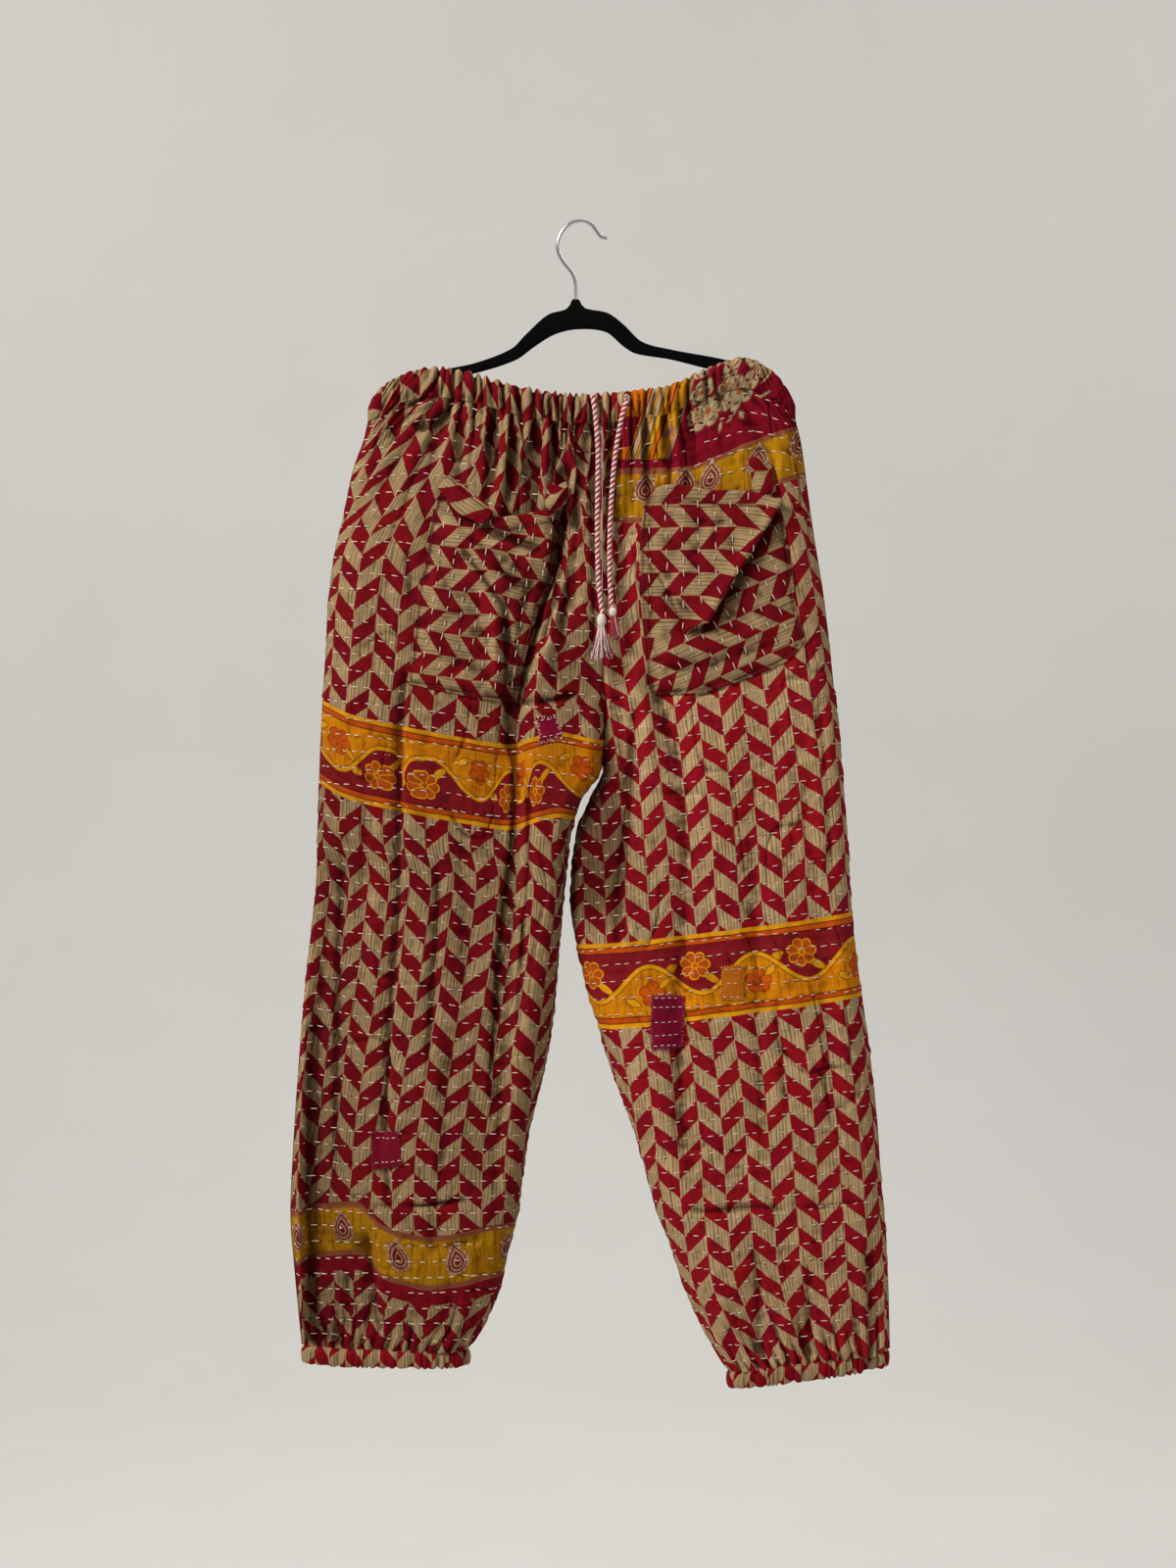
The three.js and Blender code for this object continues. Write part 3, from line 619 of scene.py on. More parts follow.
def almond(b, x, y, cx, cy, size, angle=0.0):
    """Layers of a small scalloped almond motif, as a ramp position: 0 outside, rising inwards."""
    ca, sa = math.cos(angle), math.sin(angle)
    dx, dy = x - cx, y - cy
    ax, ay = dx * ca + dy * sa, dy * ca - dx * sa
    ax = ax * 1.34
    r = b.sqrt(ax * ax + ay * ay)
    th = b.atan2(ax, ay)  # 0 towards the foot, where it is broad
    # broad below and drawn to a point above
    shape = 0.80 + b.cos(th) * 0.08 - b.cos(th * 2.0) * 0.10 + b.math("POWER", b.abs(th * (1 / PI)), 5.0) * 0.62
    scallop = b.abs(b.sin(th * 6.5)) * 0.26 + 0.80
    return r / (shape * size), scallop


def almond_color(b, ground, x, y, cx, cy, size, angle, seed):
    rr, sc = almond(b, x, y, cx, cy, size, angle)
    line = (0.150, 0.013, 0.013)
    pale = (0.47, 0.285, 0.165)
    rose = (0.30, 0.105, 0.065)
    inner = ramp(b, rr, [(0.0, line), (0.20, line), (0.23, rose), (0.33, pale), (0.36, line), (0.50, line),
                         (0.53, pale), (0.66, rose), (0.69, line), (0.75, line), (0.78, pale), (1.0, pale)])
    rim = b.inside((rr - sc) * size, 0.3)
    ring = b.line((rr - sc) * size + 0.35, 0.42, 0.25)
    return b.mix(rim, ground, b.mix(ring, inner, line))


def mustard_band(b, p, q, height, seed):
    """A mustard band with fine pink-brown lines at both edges. Returns colour and edge distance."""
    ground = slubbed(b, p, q, MUSTARD, (0.270, 0.090, 0.003), seed + 1.0)
    e = b.min(q, height - q)
    pale = (0.42, 0.205, 0.070)
    dark = (0.19, 0.018, 0.014)
    lines = ramp(b, e * (1 / 8.0), bands([
        (1.1, dark), (1.7, pale), (3.0, dark), (3.6, pale),
        (4.7, dark), (5.3, pale), (5.9, (0.22, 0.04, 0.012)), (8.0, MUSTARD)], 8.0, 0.2))
    return b.mix(b.inside(e - 6.0, 0.3), ground, lines), e


def border_material(name, seed, flip):
    m, b, bsdf = new_material(name)
    u, v = b.uv("cloth")
    u, v = u * 1000.0, v * 1000.0
    p, q = b.uv("band")
    p, q = p * 1000.0, q * 1000.0
    base, beige, cell = chevron(b, u, v, 0.0)
    # the chevrons beside the border take the legs' painted shade (wearer's right) and painted light (wearer's left)
    k = SHADE_TONE_R if flip else LIGHT_TONE_L
    base = b.blend("MULTIPLY", 1.0, base, (k, k, k))
    if flip:
        base = b.blend("MULTIPLY", 1.0, base, b.mix(beige, RED_DULL, (1.0, 1.0, 1.0)))
    if flip:
        q = 84.0 - q
    col, e = vine_border(b, p, q, seed)
    # the border itself is darker on the wearer's right leg as painted shade and brighter on the left as painted light,
    # with its hue shifted too
    color = b.mix(b.inside(0.0 - e, 0.35), base, b.blend("MULTIPLY", 1.0, col, (0.80, 0.72, 0.66) if flip else (1.10, 1.0, 0.86)))
    cloth_finish(b, bsdf, color, u, v, 0.0)
    return m


HEM_H, HEM_STRIP = 54.0, 15.0


def hem_material(name, seed):
    m, b, bsdf = new_material(name)
    u, v = b.uv("cloth")
    u, v = u * 1000.0, v * 1000.0
    p, q = b.uv("hem")
    p, q = p * 1000.0, q * 1000.0
    base, beige, cell = chevron(b, u, v, 0.0)
    w = b.noise(b.xyz(p * 0.05, q * 0.05, seed), 1.0, 2.0, 0.5) - 0.5
    q = q + w * 1.6
    col, e = mustard_band(b, p, q, HEM_H, seed)
    pf = b.mod(p, 58.0) - 29.0
    col = almond_color(b, col, pf, q, 0.0, 28.0, 17.6, -0.1, seed)
    color = b.mix(b.inside(0.0 - e, 0.35), base, col)
    cloud = b.noise(b.xyz(p * 0.04, q * 0.04, seed + 7.0), 1.0, 3.0, 0.6)
    strip = b.line(q - (HEM_H + HEM_STRIP / 2), HEM_STRIP / 2, 0.4)
    color = b.mix(strip, color, b.mix(cloud, RED, RED_DEEP))
    # darkened as painted shade, like the rest of the wearer's right leg
    cloth_finish(b, bsdf, color, u, v, 0.0, tone=SHADE_TONE_R)
    return m


def waist_material(name, seed, uvmap="flat"):
    """The end of the cloth that falls across the wearer's left hip: stripes, a golden field, a
    magenta field with a pale flourish, and a mustard band of almonds under them."""
    m, b, bsdf = new_material(name)
    u, v = b.uv("cloth")
    u, v = u * 1000.0, v * 1000.0
    x, z = b.uv("flat")
    x, z = x * 1000.0, z * -1000.0
    s, q = b.uv("block")
    s, q = s * 1000.0, q * 1000.0
    base, beige, cell = chevron(b, u, v, 0.0)
    w = b.noise(b.xyz(x * 0.05, z * 0.05, seed), 1.0, 2.0, 0.5) - 0.5
    q = q + w * 1.5
    s = s + w * 2.0
    cloud = b.noise(b.xyz(x * 0.04, z * 0.04, seed + 7.0), 1.0, 3.0, 0.6)
    magenta = b.mix(cloud, (0.235, 0.0050, 0.0150), (0.160, 0.0032, 0.0130))
    # s runs from the front's middle towards the hip, q down from the foot of the fields
    dk = (0.15, 0.010, 0.010)
    pale = (0.46, 0.33, 0.185)
    yel = (0.60, 0.290, 0.0080)
    org = (0.52, 0.125, 0.005)
    stripes = steps(b, s, [
        (12.5, org), (13.6, dk), (15.4, org), (16.6, dk), (21.2, pale), (22.0, dk), (24.0, yel), (24.8, dk),
        (29.2, pale), (30.0, dk), (34.6, yel), (35.4, dk), (39.0, org), (40.6, dk), (52.6, (0.52, 0.225, 0.006)),
        (53.2, dk), (54.2, pale), (54.9, dk), (55.9, pale), (56.9, dk), (80.0, dk)], 0.25)
    thread = b.noise(b.xyz(s * 0.3, q * 0.02, seed + 4.0), 1.0, 2.0, 0.7)
    stripes = b.blend("MULTIPLY", 1.0, stripes, b.mix(b.step(0.5, 0.66, thread), (1, 1, 1), (0.78, 0.72, 0.66)))
    stripes = almond_color(b, stripes, s, q, 47.0, -36.0, 6.8, 0.12, seed)
    bit = b.line(s - 5.0, 8.2, 0.3) * b.line(q + 38.0, 16.0, 0.4)
    stripes = b.mix(bit, stripes, magenta)
    field = b.mix(b.step(56.7, 57.3, s), stripes, magenta)
    # a pale flourish of lobed flowers, stems and a scroll on the magenta field
    lace = (0.40, 0.300, 0.155)
    for cx, cy, rad in ((128.0, -64.0, 10.0), (131.0, -66.0, 4.6), (104.0, -38.0, 9.0), (84.0, -84.0, 8.0), (108.0, -86.0, 9.0), (70.0, -74.0, 6.0)):
        dx, dy = s - cx, q - cy
        ring = b.abs(b.sqrt(dx * dx + dy * dy) - rad) - 1.15
        gate = b.step(-5.0, -2.0, dx - dy * 0.7)
        field = b.mix(b.inside(ring, 0.35) * gate, field, lace)
    for cx, cy, ang, lg, wd in ((139.5, -42.0, -0.4, 6.5, 3.0), (121.0, -30.0, 0.9, 7.0, 2.6), (100.0, -28.0, 1.4, 6.0, 2.4),
                                (118.0, -75.0, 0.4, 6.5, 2.6), (96.0, -70.0, 2.2, 7.0, 2.6)):
        dl = leaf(b, s, q, cx, cy, ang, lg, wd)
        field = b.mix(b.inside(dl, 0.35), field, b.mix(b.line(dl + 0.4, 0.35, 0.25), lace, dk))
    for cx, cy, pet, rad, turn in ((82.0, -48.0, 6.0, 18.0, 0.3), (111.0, -54.0, 7.0, 18.0, 0.9), (95.0, -88.0, 5.0, 13.0, 0.5),
                                   (68.0, -70.0, 6.0, 12.5, 0.1), (118.0, -84.0, 6.0, 12.0, 0.7), (62.0, -92.0, 5.0, 10.5, 0.4),
                                   (70.0, -48.0, 5.0, 10.0, 1.0), (95.0, -68.0, 6.0, 11.0, 0.2), (129.0, -66.0, 5.0, 8.5, 0.6)):
        d, between, r = rosette(b, s, q, cx, cy, pet, rad, turn, 0.40)
        c = b.mix(b.inside(between - 0.75, 0.3), lace, dk)
        c = b.mix(b.line(r - rad * 0.56, 0.9, 0.3) * b.step(0.55, 0.8, between * (1.0 / rad) * 1.7), c, dk)
        c = b.mix(b.inside(r - rad * 0.16, 0.3), c, (0.40, 0.09, 0.01))
        c = b.mix(b.line(d + 0.5, 0.45, 0.25), c, dk)
        field = b.mix(b.inside(d, 0.35), field, c)
    # the band
    col, e = mustard_band(b, s, q, 54.0, seed + 2.0)
    for cx, cy in ((-2.0, 24.0), (35.0, 22.0), (74.0, 20.0), (99.0, 21.0), (146.0, 24.0), (189.0, 19.0)):
        col = almond_color(b, col, s, q, cx, cy, 17.0, 0.12, seed)
    block = b.mix(b.inside(0.0 - e, 0.35), field, col)
    # a plain strip between the fields and the band
    block = b.mix(b.line(q + 5.0, 4.6, 0.4), block, magenta)
    inside = b.inside(q - 54.0, 0.4) * b.inside(0.0 - s - 4.0, 0.4)
    # the chevrons outside the block are brightened as painted light, like the rest of the wearer's left leg
    color = b.mix(inside, b.blend("MULTIPLY", 1.0, base, (LIGHT_TONE_L, LIGHT_TONE_L, LIGHT_TONE_L)), block)
    cloth_finish(b, bsdf, color, u, v, 0.0, tone=0.95)
    return m


MAT_BORDER_R = border_material("border_cotton_right", 51.0, True)
MAT_BORDER_L = border_material("border_cotton_left", 52.0, False)
MAT_HEM = hem_material("hem_band_cotton", 53.0)
MAT_WAIST = waist_material("waist_block_cotton", 54.0)
MAT_WAIST_CASING = waist_material("waist_block_casing_cotton", 55.0)


def thread_material(name, color, second, scale=1.0):
    m, b, bsdf = new_material(name)
    tc = b.new("ShaderNodeTexCoord")
    n = b.noise(tc.outputs["Object"], 900.0 * scale, 2.0, 0.6)
    n2 = b.noise(tc.outputs["Object"], 45.0, 2.0, 0.6)
    b.put(bsdf.inputs["Base Color"], b.mix(n2, color, second))
    b.tree.links.new(b.bump(n, 0.5, 0.0004), bsdf.inputs["Normal"])
    bsdf.inputs["Roughness"].default_value = 0.78
    bsdf.inputs["Specular IOR Level"].default_value = 0.3
    bsdf.inputs["Sheen Weight"].default_value = 0.2
    bsdf.inputs["Sheen Roughness"].default_value = 0.5
    return m


MAT_STITCH = thread_material("stitch_cream_thread", (0.86, 0.74, 0.60), (0.66, 0.47, 0.34))
MAT_STITCH_PINK = thread_material("stitch_pink_thread", (0.52, 0.20, 0.20), (0.36, 0.06, 0.09))
MAT_STITCH_ORANGE = thread_material("stitch_orange_thread", (0.72, 0.34, 0.05), (0.60, 0.20, 0.02))
MAT_STITCH_RED = thread_material("stitch_red_thread", (0.30, 0.03, 0.04), (0.22, 0.02, 0.03))


def cord_material():
    m, b, bsdf = new_material("cord_red_white_twist")
    t, s = b.uv("cord")
    s = s * 1000.0
    ph = b.fract(t * 4.0 - s / 2.75)
    n = b.noise(b.xyz(t * 3.0, s * 0.5, 0.0), 1.0, 3.0, 0.6)
    stripe = b.inside(b.abs(b.fract(t * 2.0 - s / 5.5 + n * 0.04) - 0.5) - 0.24, 0.04)
    color = b.mix(stripe, (0.36, 0.010, 0.018), (0.74, 0.64, 0.60))
    fib = b.noise(b.xyz(t * 60.0 - s * 3.0, s * 2.0 + t * 9.0, 0.0), 1.0, 2.0, 0.5)
    b.put(bsdf.inputs["Base Color"], b.blend("MULTIPLY", 1.0, color, b.mix(fib, (0.8, 0.78, 0.78), (1.1, 1.1, 1.1))))
    ridge = b.abs(ph - 0.5) * -1.0
    b.tree.links.new(b.bump(ridge * 0.9 + fib * 0.4, 0.6, 0.0009), bsdf.inputs["Normal"])
    bsdf.inputs["Roughness"].default_value = 0.8
    bsdf.inputs["Specular IOR Level"].default_value = 0.25
    bsdf.inputs["Sheen Weight"].default_value = 0.25
    bsdf.inputs["Sheen Roughness"].default_value = 0.5
    return m


MAT_CORD = cord_material()

# ---------------------------------------------------------------- drawstring ends (x, y, z)
STRING_RIGHT = table([
    [11, -19.2, -176], [11.4, -22, -176.6], [12, -24.2, -180], [13.2, -25.4, -188],
    [15, -26.4, -205], [16.6, -28, -232], [16.4, -29.8, -262], [16, -31.6, -293],
    [16, -33.4, -324], [17, -36, -356], [19, -38.6, -377], [21, -40.4, -392],
])
STRING_LEFT = table([
    [45, -19.2, -180], [44.6, -22, -180.6], [44, -24.2, -184], [41.5, -25.4, -192],
    [38, -26.4, -208], [34, -28, -232], [31, -29.8, -262], [29, -31.6, -293],
    [28, -33.4, -324], [28, -36, -352], [29, -38.4, -372], [30, -40, -386],
])


def threads(name, mat, root, count, length, spread, lean, seed, thick=0.55, width=3.4, flat=0.6):
    """A bunch of loose threads hanging from a root point."""
    rng = np.random.default_rng(seed)
    V, F = [], []
    for i in range(count):
        a = rng.uniform(0, 2 * PI)
        rr = math.sqrt(rng.uniform(0, 1))
        start = root + np.array([math.cos(a) * rr * width, math.sin(a) * rr * width * flat, rng.uniform(-0.8, 0.8)])
        ln = length * rng.uniform(0.72, 1.04)
        side = math.cos(a) * rr + rng.normal(0, 0.18)
        out = math.sin(a) * rr * flat
        n = 7
        w1, w2 = rng.uniform(-1.6, 1.6), rng.uniform(-1.2, 1.2)
        pts = []
        for k in range(n):
            t = k / (n - 1)
            pts.append(start + np.array([
                side * spread * t ** 1.25 + w1 * math.sin(t * 5 + a) * t + lean[0] * t,
                out * spread * 0.5 * t + w2 * math.sin(t * 4 + 2 * a) * t * 0.6 + lean[1] * t,
                -ln * (t - 0.05 * t * t * abs(side)),
            ]))
        v, f, _, _ = tube(pts, lambda s, ln=ln: thick * (1 - 0.45 * s / ln), sides=4, step=ln / 6, cap=False)
        # the thread narrows towards its free end
        base = sum(len(x) for x in V)
        V.append(v)
        F.append(f + base)
    return make(name, np.vstack(V), np.vstack(F), mats=[mat])


def wrapped_knot(name, mat, at, size, turns_pitch=1.1):
    """A bound knot: a fat barrel with thread wound round it."""
    rows, cols = 40, 28
    t = np.linspace(0, 1, rows)
    th = np.arange(cols) / cols * 2 * PI
    prof = size[0] * np.sqrt(np.clip(1 - (2 * t - 1) ** 4, 0.0, 1)) * (1 - 0.12 * np.cos(2 * PI * t))
    prof = np.maximum(prof, 0.5)
    T, TH = np.meshgrid(t, th, indexing="ij")
    rr = prof[:, None] * (1 + 0.06 * np.cos(2 * PI * T * size[1] / turns_pitch + TH))
    v = np.stack([at[0] + rr * np.cos(TH), at[1] + rr * np.sin(TH) * 0.8, at[2] - size[1] * T], -1)
    return make(name, v.reshape(-1, 3), grid_faces(rows, cols, wrap_cols=True, flip=True), mats=[mat])


MAT_THREAD_PALE = thread_material("tassel_pale_thread", (0.82, 0.72, 0.67), (0.74, 0.52, 0.47))
MAT_THREAD_RED = thread_material("tassel_red_thread", (0.34, 0.016, 0.026), (0.24, 0.012, 0.02))


def drawstring(side, rows, knot_at, knot_size):
    ob, centres = make_tube("cord_" + side, rows, 2.45, MAT_CORD, sides=18, step=1.1, lobes=2, depth=0.045, pitch=5.5)
    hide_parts("drawstring_" + side)
    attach(ob, "root")
    return ob, centres


cord_r, path_r = drawstring("right", STRING_RIGHT, None, None)
cord_l, path_l = drawstring("left", STRING_LEFT, None, None)
tas_r = [
    wrapped_knot("tassel_right_knot", MAT_THREAD_PALE, (20, -42.2, -391.5), (4.0, 13.5)),
    threads("tassel_right_threads", MAT_THREAD_PALE, np.array([20, -42.2, -404.0]), 64, 33, 8.0, (0.5, -1.0), 3),
    threads("tassel_right_threads_red", MAT_THREAD_RED, np.array([20, -42.2, -404.0]), 40, 31, 8.5, (0.5, -1.0), 4),
]
tas_l = [
    wrapped_knot("tassel_left_knot", MAT_THREAD_PALE, (31, -41.2, -385.5), (3.4, 9.0)),
    threads("tassel_left_threads", MAT_THREAD_PALE, np.array([32, -41.2, -394.0]), 9, 24, 4.0, (2.0, -1.0), 5, width=2.4),
    threads("tassel_left_threads_red", MAT_THREAD_RED, np.array([32, -41.2, -394.0]), 38, 25, 4.0, (2.0, -1.0), 6, width=2.4),
]
for obs, side in ((tas_r, "right"), (tas_l, "left")):
    for o in obs:
        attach(o, "root")
        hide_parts("tassel_" + side)
[tuple(p * 0.001) for p in path_r]
[tuple(p * 0.001) for p in path_l]

# ---------------------------------------------------------------- the garment's tables
WAIST = table([  # x, top, foot
    [-212, -184, -197], [-204, -172, -193], [-190, -160, -184], [-169, -150, -176],
    [-149, -146, -173], [-120, -149, -176], [-91, -157, -183], [-61, -165, -191],
    [-32, -170, -196], [-3, -173, -199], [26, -171, -198], [56, -168, -194],
    [85, -164, -190], [104, -156, -182], [124, -147, -174], [143, -139, -167],
    [163, -136, -164], [180, -143, -170], [194, -154, -177], [205, -168, -185],
    [213, -182, -195],
])
CROTCH_Z = -541
DEPTH = table([  # z, half depth, how far the outer edge takes to round over
    [-180, 14, 26], [-240, 20, 30], [-320, 26, 34], [-440, 32, 36], [-540, 36, 38],
    [-660, 39, 40], [-800, 41, 42], [-940, 41, 42], [-1040, 38, 38], [-1100, 28, 32],
    [-1145, 20, 26],
])
RIGHT = SimpleNamespace(
    name="right", side=-1,
    inner_round=table([[-541, 18], [-690, 18], [-780, 30], [-940, 42], [-1040, 38], [-1100, 32], [-1145, 26]]),
    outer=table([
        [-197, -212], [-218, -217], [-246, -227], [-294, -237], [-333, -246], [-372, -251],
        [-411, -253], [-509, -259], [-606, -262], [-655, -263], [-699, -268], [-753, -274],
        [-850, -282], [-948, -288], [-992, -289], [-1031, -286], [-1074, -282], [-1115, -278],
    ]),
    inner=table([
        [-199, 20.6], [-363, 20.6], [-541, 20.6], [-569, 2], [-602, -9], [-645, -15], [-694, -19],
        [-753, -24], [-811, -30], [-860, -40], [-904, -51], [-943, -57], [-987, -63],
        [-1026, -72], [-1060, -80], [-1094, -94], [-1119, -110],
    ]),
    rows=table([
        [-197, -199], [-218, -228], [-255, -273], [-304, -328], [-353, -384], [-407, -439],
        [-460, -493], [-509, -541], [-555, -581], [-606, -631], [-655, -677], [-712, -729],
        [-767, -782], [-823, -835], [-879, -887], [-938, -940], [-996, -994], [-1050, -1047],
        [-1089, -1089], [-1115, -1119],
    ]),
    cuff=(-277, -1116, -111, -1120, 15),
)
LEFT = SimpleNamespace(
    name="left", side=1,
    inner_round=table([[-541, 58], [-700, 58], [-800, 36], [-940, 42], [-1040, 38], [-1100, 32], [-1145, 26]]),
    outer=table([
        [-195, 213], [-221, 219], [-265, 225], [-314, 232], [-363, 240], [-402, 245],
        [-489, 254], [-567, 261], [-660, 267], [-704, 271], [-753, 277], [-801, 284],
        [-850, 290], [-899, 295], [-948, 298], [-996, 302], [-1045, 305], [-1119, 307],
    ]),
    inner=table([
        [-199, 21.2], [-363, 21.2], [-541, 21.6], [-575, 7], [-606, -4], [-650, -10], [-694, -9],
        [-753, 4], [-811, 22], [-860, 38], [-914, 56], [-962, 69], [-1011, 87], [-1055, 101],
        [-1099, 119], [-1141, 144],
    ]),
    rows=table([
        [-195, -199], [-213, -228], [-246, -273], [-291, -328], [-343, -384], [-400, -439],
        [-454, -493], [-504, -541], [-555, -589], [-606, -641], [-655, -684], [-712, -738],
        [-762, -788], [-811, -835], [-863, -885], [-916, -938], [-972, -993], [-1031, -1051],
        [-1079, -1098], [-1119, -1141],
    ]),
    cuff=(306, -1120, 145, -1142, 15),
)

# Folds that run down a panel: a centre line as (z, x) rows, height, and on the side towards the
# outer seam and on the inner side a width and how sharply it falls (1 a cusp, 2 a soft bell).
F = SimpleNamespace
FOLDS = {
    "front_right": [
        F(line=[(-630, -259), (-684, -264), (-900, -267), (-1113, -266)], h=-30, wo=9, po=2, wi=42, pi=1.25, top=60, bot=20),
        F(line=[(-405, -70), (-694, -71), (-918, -84), (-960, -86)], h=-9, wo=30, po=1.3, wi=10, pi=2, top=40, bot=60),
        F(line=[(-452, -173), (-501, -177), (-587, -178), (-669, -179), (-723, -183), (-801, -188), (-880, -192), (-960, -190)],
          h=-6, wo=11, po=1.5, wi=3.0, pi=1.8, top=26, bot=60),
        F(line=[(-490, -66), (-599, -67), (-660, -74), (-723, -83), (-774, -85), (-850, -91)],
          h=-6.5, wo=3.0, po=1.7, wi=11, pi=1.5, top=30, bot=60),
        F(line=[(-560, -52), (-638, -52), (-684, -55), (-731, -59), (-800, -62)], h=-5, wo=3, po=1.6, wi=6, pi=1.5, top=30, bot=50),
        F(line=[(-600, -17), (-640, -19), (-700, -22), (-770, -28)], h=-5, wo=3, po=1.6, wi=5, pi=1.5, top=30, bot=40),
        F(line=[(-640, -236), (-700, -239), (-800, -241), (-930, -243)], h=-6, wo=6, po=1.6, wi=5, pi=1.6, top=60, bot=60),
        F(line=[(-640, -140), (-720, -143), (-830, -150)], h=-4, wo=5, po=1.6, wi=4, pi=1.6, top=50, bot=60),
        F(line=[(-240, -12), (-300, -20), (-360, -32), (-420, -48), (-490, -64)], h=-11, wo=5, po=1.5, wi=4, pi=1.6, top=30, bot=30),
        F(line=[(-240, 2), (-300, -7), (-360, -18), (-420, -33), (-480, -47)], h=5, wo=7, po=2, wi=8, pi=2, top=40, bot=40),
        F(line=[(-418, -71), (-528, -71)], h=-6, wo=4, po=1.5, wi=4, pi=2, top=16, bot=22),
        F(line=[(-400, -46), (-900, -60)], h=4, wo=20, po=2, wi=20, pi=2, top=60, bot=80),
        F(line=[(-205, 6), (-400, -18)], h=-8, wo=6, po=1.4, wi=6, pi=1.6, top=20, bot=50),
        F(line=[(-290, -8), (-420, -38)], h=-9, wo=6, po=1.4, wi=5, pi=1.8, top=26, bot=30),
        F(line=[(-294, -16), (-353, -35), (-385, -60)], h=-6, wo=6, po=1.5, wi=5, pi=1.8, top=16, bot=14),
        F(line=[(-327, -169), (-379, -169)], h=-3, wo=6, po=1.5, wi=6, pi=1.5, top=16, bot=16),
        F(line=[(-350, -165), (-1000, -165)], h=4, wo=44, po=2, wi=44, pi=2, top=80, bot=90),
        F(line=[(-1003, -212), (-1094, -201)], h=-10, wo=26, po=1.4, wi=5, pi=2, top=20, bot=18),
        F(line=[(-1040, -232), (-1100, -229)], h=-5, wo=7, po=1.5, wi=7, pi=1.5, top=16, bot=16),
        F(line=[(-197, 13), (-431, 12)], h=-5, wo=4.5, po=1.5, wi=4.5, pi=1.5, top=6, bot=60),
        F(line=[(-540, -210), (-760, -222)], h=-4, wo=16, po=1.6, wi=10, pi=2, top=60, bot=70),
        F(line=[(-820, -128), (-1010, -146)], h=-4.5, wo=12, po=1.4, wi=10, pi=1.8, top=60, bot=50),
        F(line=[(-600, -120), (-760, -116)], h=-3, wo=10, po=1.4, wi=12, pi=1.8, top=50, bot=60),
    ],
    "front_left": [
        F(line=[(-455, 68), (-541, 94), (-645, 101), (-789, 95), (-930, 102)], h=-6, wo=14, po=1.4, wi=12, pi=1.8, top=40, bot=60),
        F(line=[(-480, 52), (-560, 47), (-640, 40), (-700, 34)], h=-6, wo=6, po=1.6, wi=5, pi=1.6, top=40, bot=60),
        F(line=[(-470, 232), (-560, 240), (-660, 246)], h=-4, wo=6, po=1.6, wi=6, pi=1.6, top=60, bot=60),
        F(line=[(-780, 190), (-880, 200)], h=-3, wo=8, po=1.5, wi=8, pi=1.5, top=30, bot=30),
        F(line=[(-1015, 282), (-1119, 287)], h=-7, wo=7, po=1.5, wi=6, pi=1.8, top=24, bot=12),
        F(line=[(-197, 27), (-420, 25)], h=-5, wo=4, po=1.5, wi=3, pi=1.5, top=6, bot=60),
        F(line=[(-197, 36), (-380, 36)], h=-4, wo=5, po=1.5, wi=4, pi=1.5, top=6, bot=60),
        F(line=[(-560, 10), (-700, 4)], h=-9, wo=24, po=1.6, wi=12, pi=2, top=40, bot=60),
        F(line=[(-420, 30), (-560, 44)], h=-5, wo=9, po=1.4, wi=9, pi=1.6, top=40, bot=50),
        F(line=[(-600, 165), (-930, 176)], h=-3.5, wo=14, po=1.5, wi=12, pi=1.8, top=90, bot=90),
        F(line=[(-640, 228), (-900, 246)], h=-3.5, wo=12, po=1.5, wi=12, pi=1.8, top=80, bot=80),
        F(line=[(-1010, 170), (-1120, 176)], h=-5, wo=8, po=1.4, wi=8, pi=1.6, top=40, bot=10),
        F(line=[(-1030, 222), (-1120, 224)], h=-5, wo=7, po=1.4, wi=8, pi=1.6, top=36, bot=10),
    ],
    "back_right": [
        F(line=[(-640, -200), (-1060, -216)], h=-16, wo=16, po=1.4, wi=22, pi=1.8, top=80, bot=60),
        F(line=[(-420, -100), (-700, -92), (-1000, -96)], h=-13, wo=12, po=1.8, wi=24, pi=1.3, top=60, bot=70),
        F(line=[(-230, -150), (-420, -158)], h=-6, wo=8, po=1.5, wi=8, pi=1.5, top=20, bot=60),
        F(line=[(-240, -40), (-470, -52)], h=-7, wo=8, po=1.5, wi=9, pi=1.5, top=20, bot=60),
        F(line=[(-240, -196), (-380, -206)], h=-5, wo=7, po=1.5, wi=7, pi=1.5, top=20, bot=50),
        F(line=[(-540, -30), (-700, -50)], h=-6, wo=14, po=1.4, wi=10, pi=1.8, top=50, bot=60),
        F(line=[(-500, -160), (-760, -150)], h=-4, wo=12, po=1.5, wi=12, pi=1.5, top=70, bot=80),
        F(line=[(-1000, -140), (-1100, -136)], h=-6, wo=8, po=1.4, wi=10, pi=1.6, top=40, bot=14),
    ],
    "back_left": [
        F(line=[(-440, 90), (-760, 104), (-1020, 118)], h=-12, wo=20, po=1.3, wi=11, pi=1.8, top=60, bot=70),
        F(line=[(-600, 190), (-1060, 226)], h=-10, wo=14, po=1.8, wi=22, pi=1.4, top=80, bot=60),
        F(line=[(-230, 150), (-400, 160)], h=-6, wo=8, po=1.5, wi=8, pi=1.5, top=20, bot=60),
        F(line=[(-230, 60), (-430, 72)], h=-6, wo=8, po=1.5, wi=8, pi=1.5, top=20, bot=60),
        F(line=[(-240, 200), (-370, 206)], h=-4, wo=7, po=1.5, wi=7, pi=1.5, top=20, bot=50),
        F(line=[(-540, 40), (-720, 60)], h=-6, wo=10, po=1.8, wi=14, pi=1.4, top=50, bot=60),
        F(line=[(-700, 250), (-900, 262)], h=-5, wo=9, po=1.5, wi=9, pi=1.5, top=60, bot=60),
    ],
}
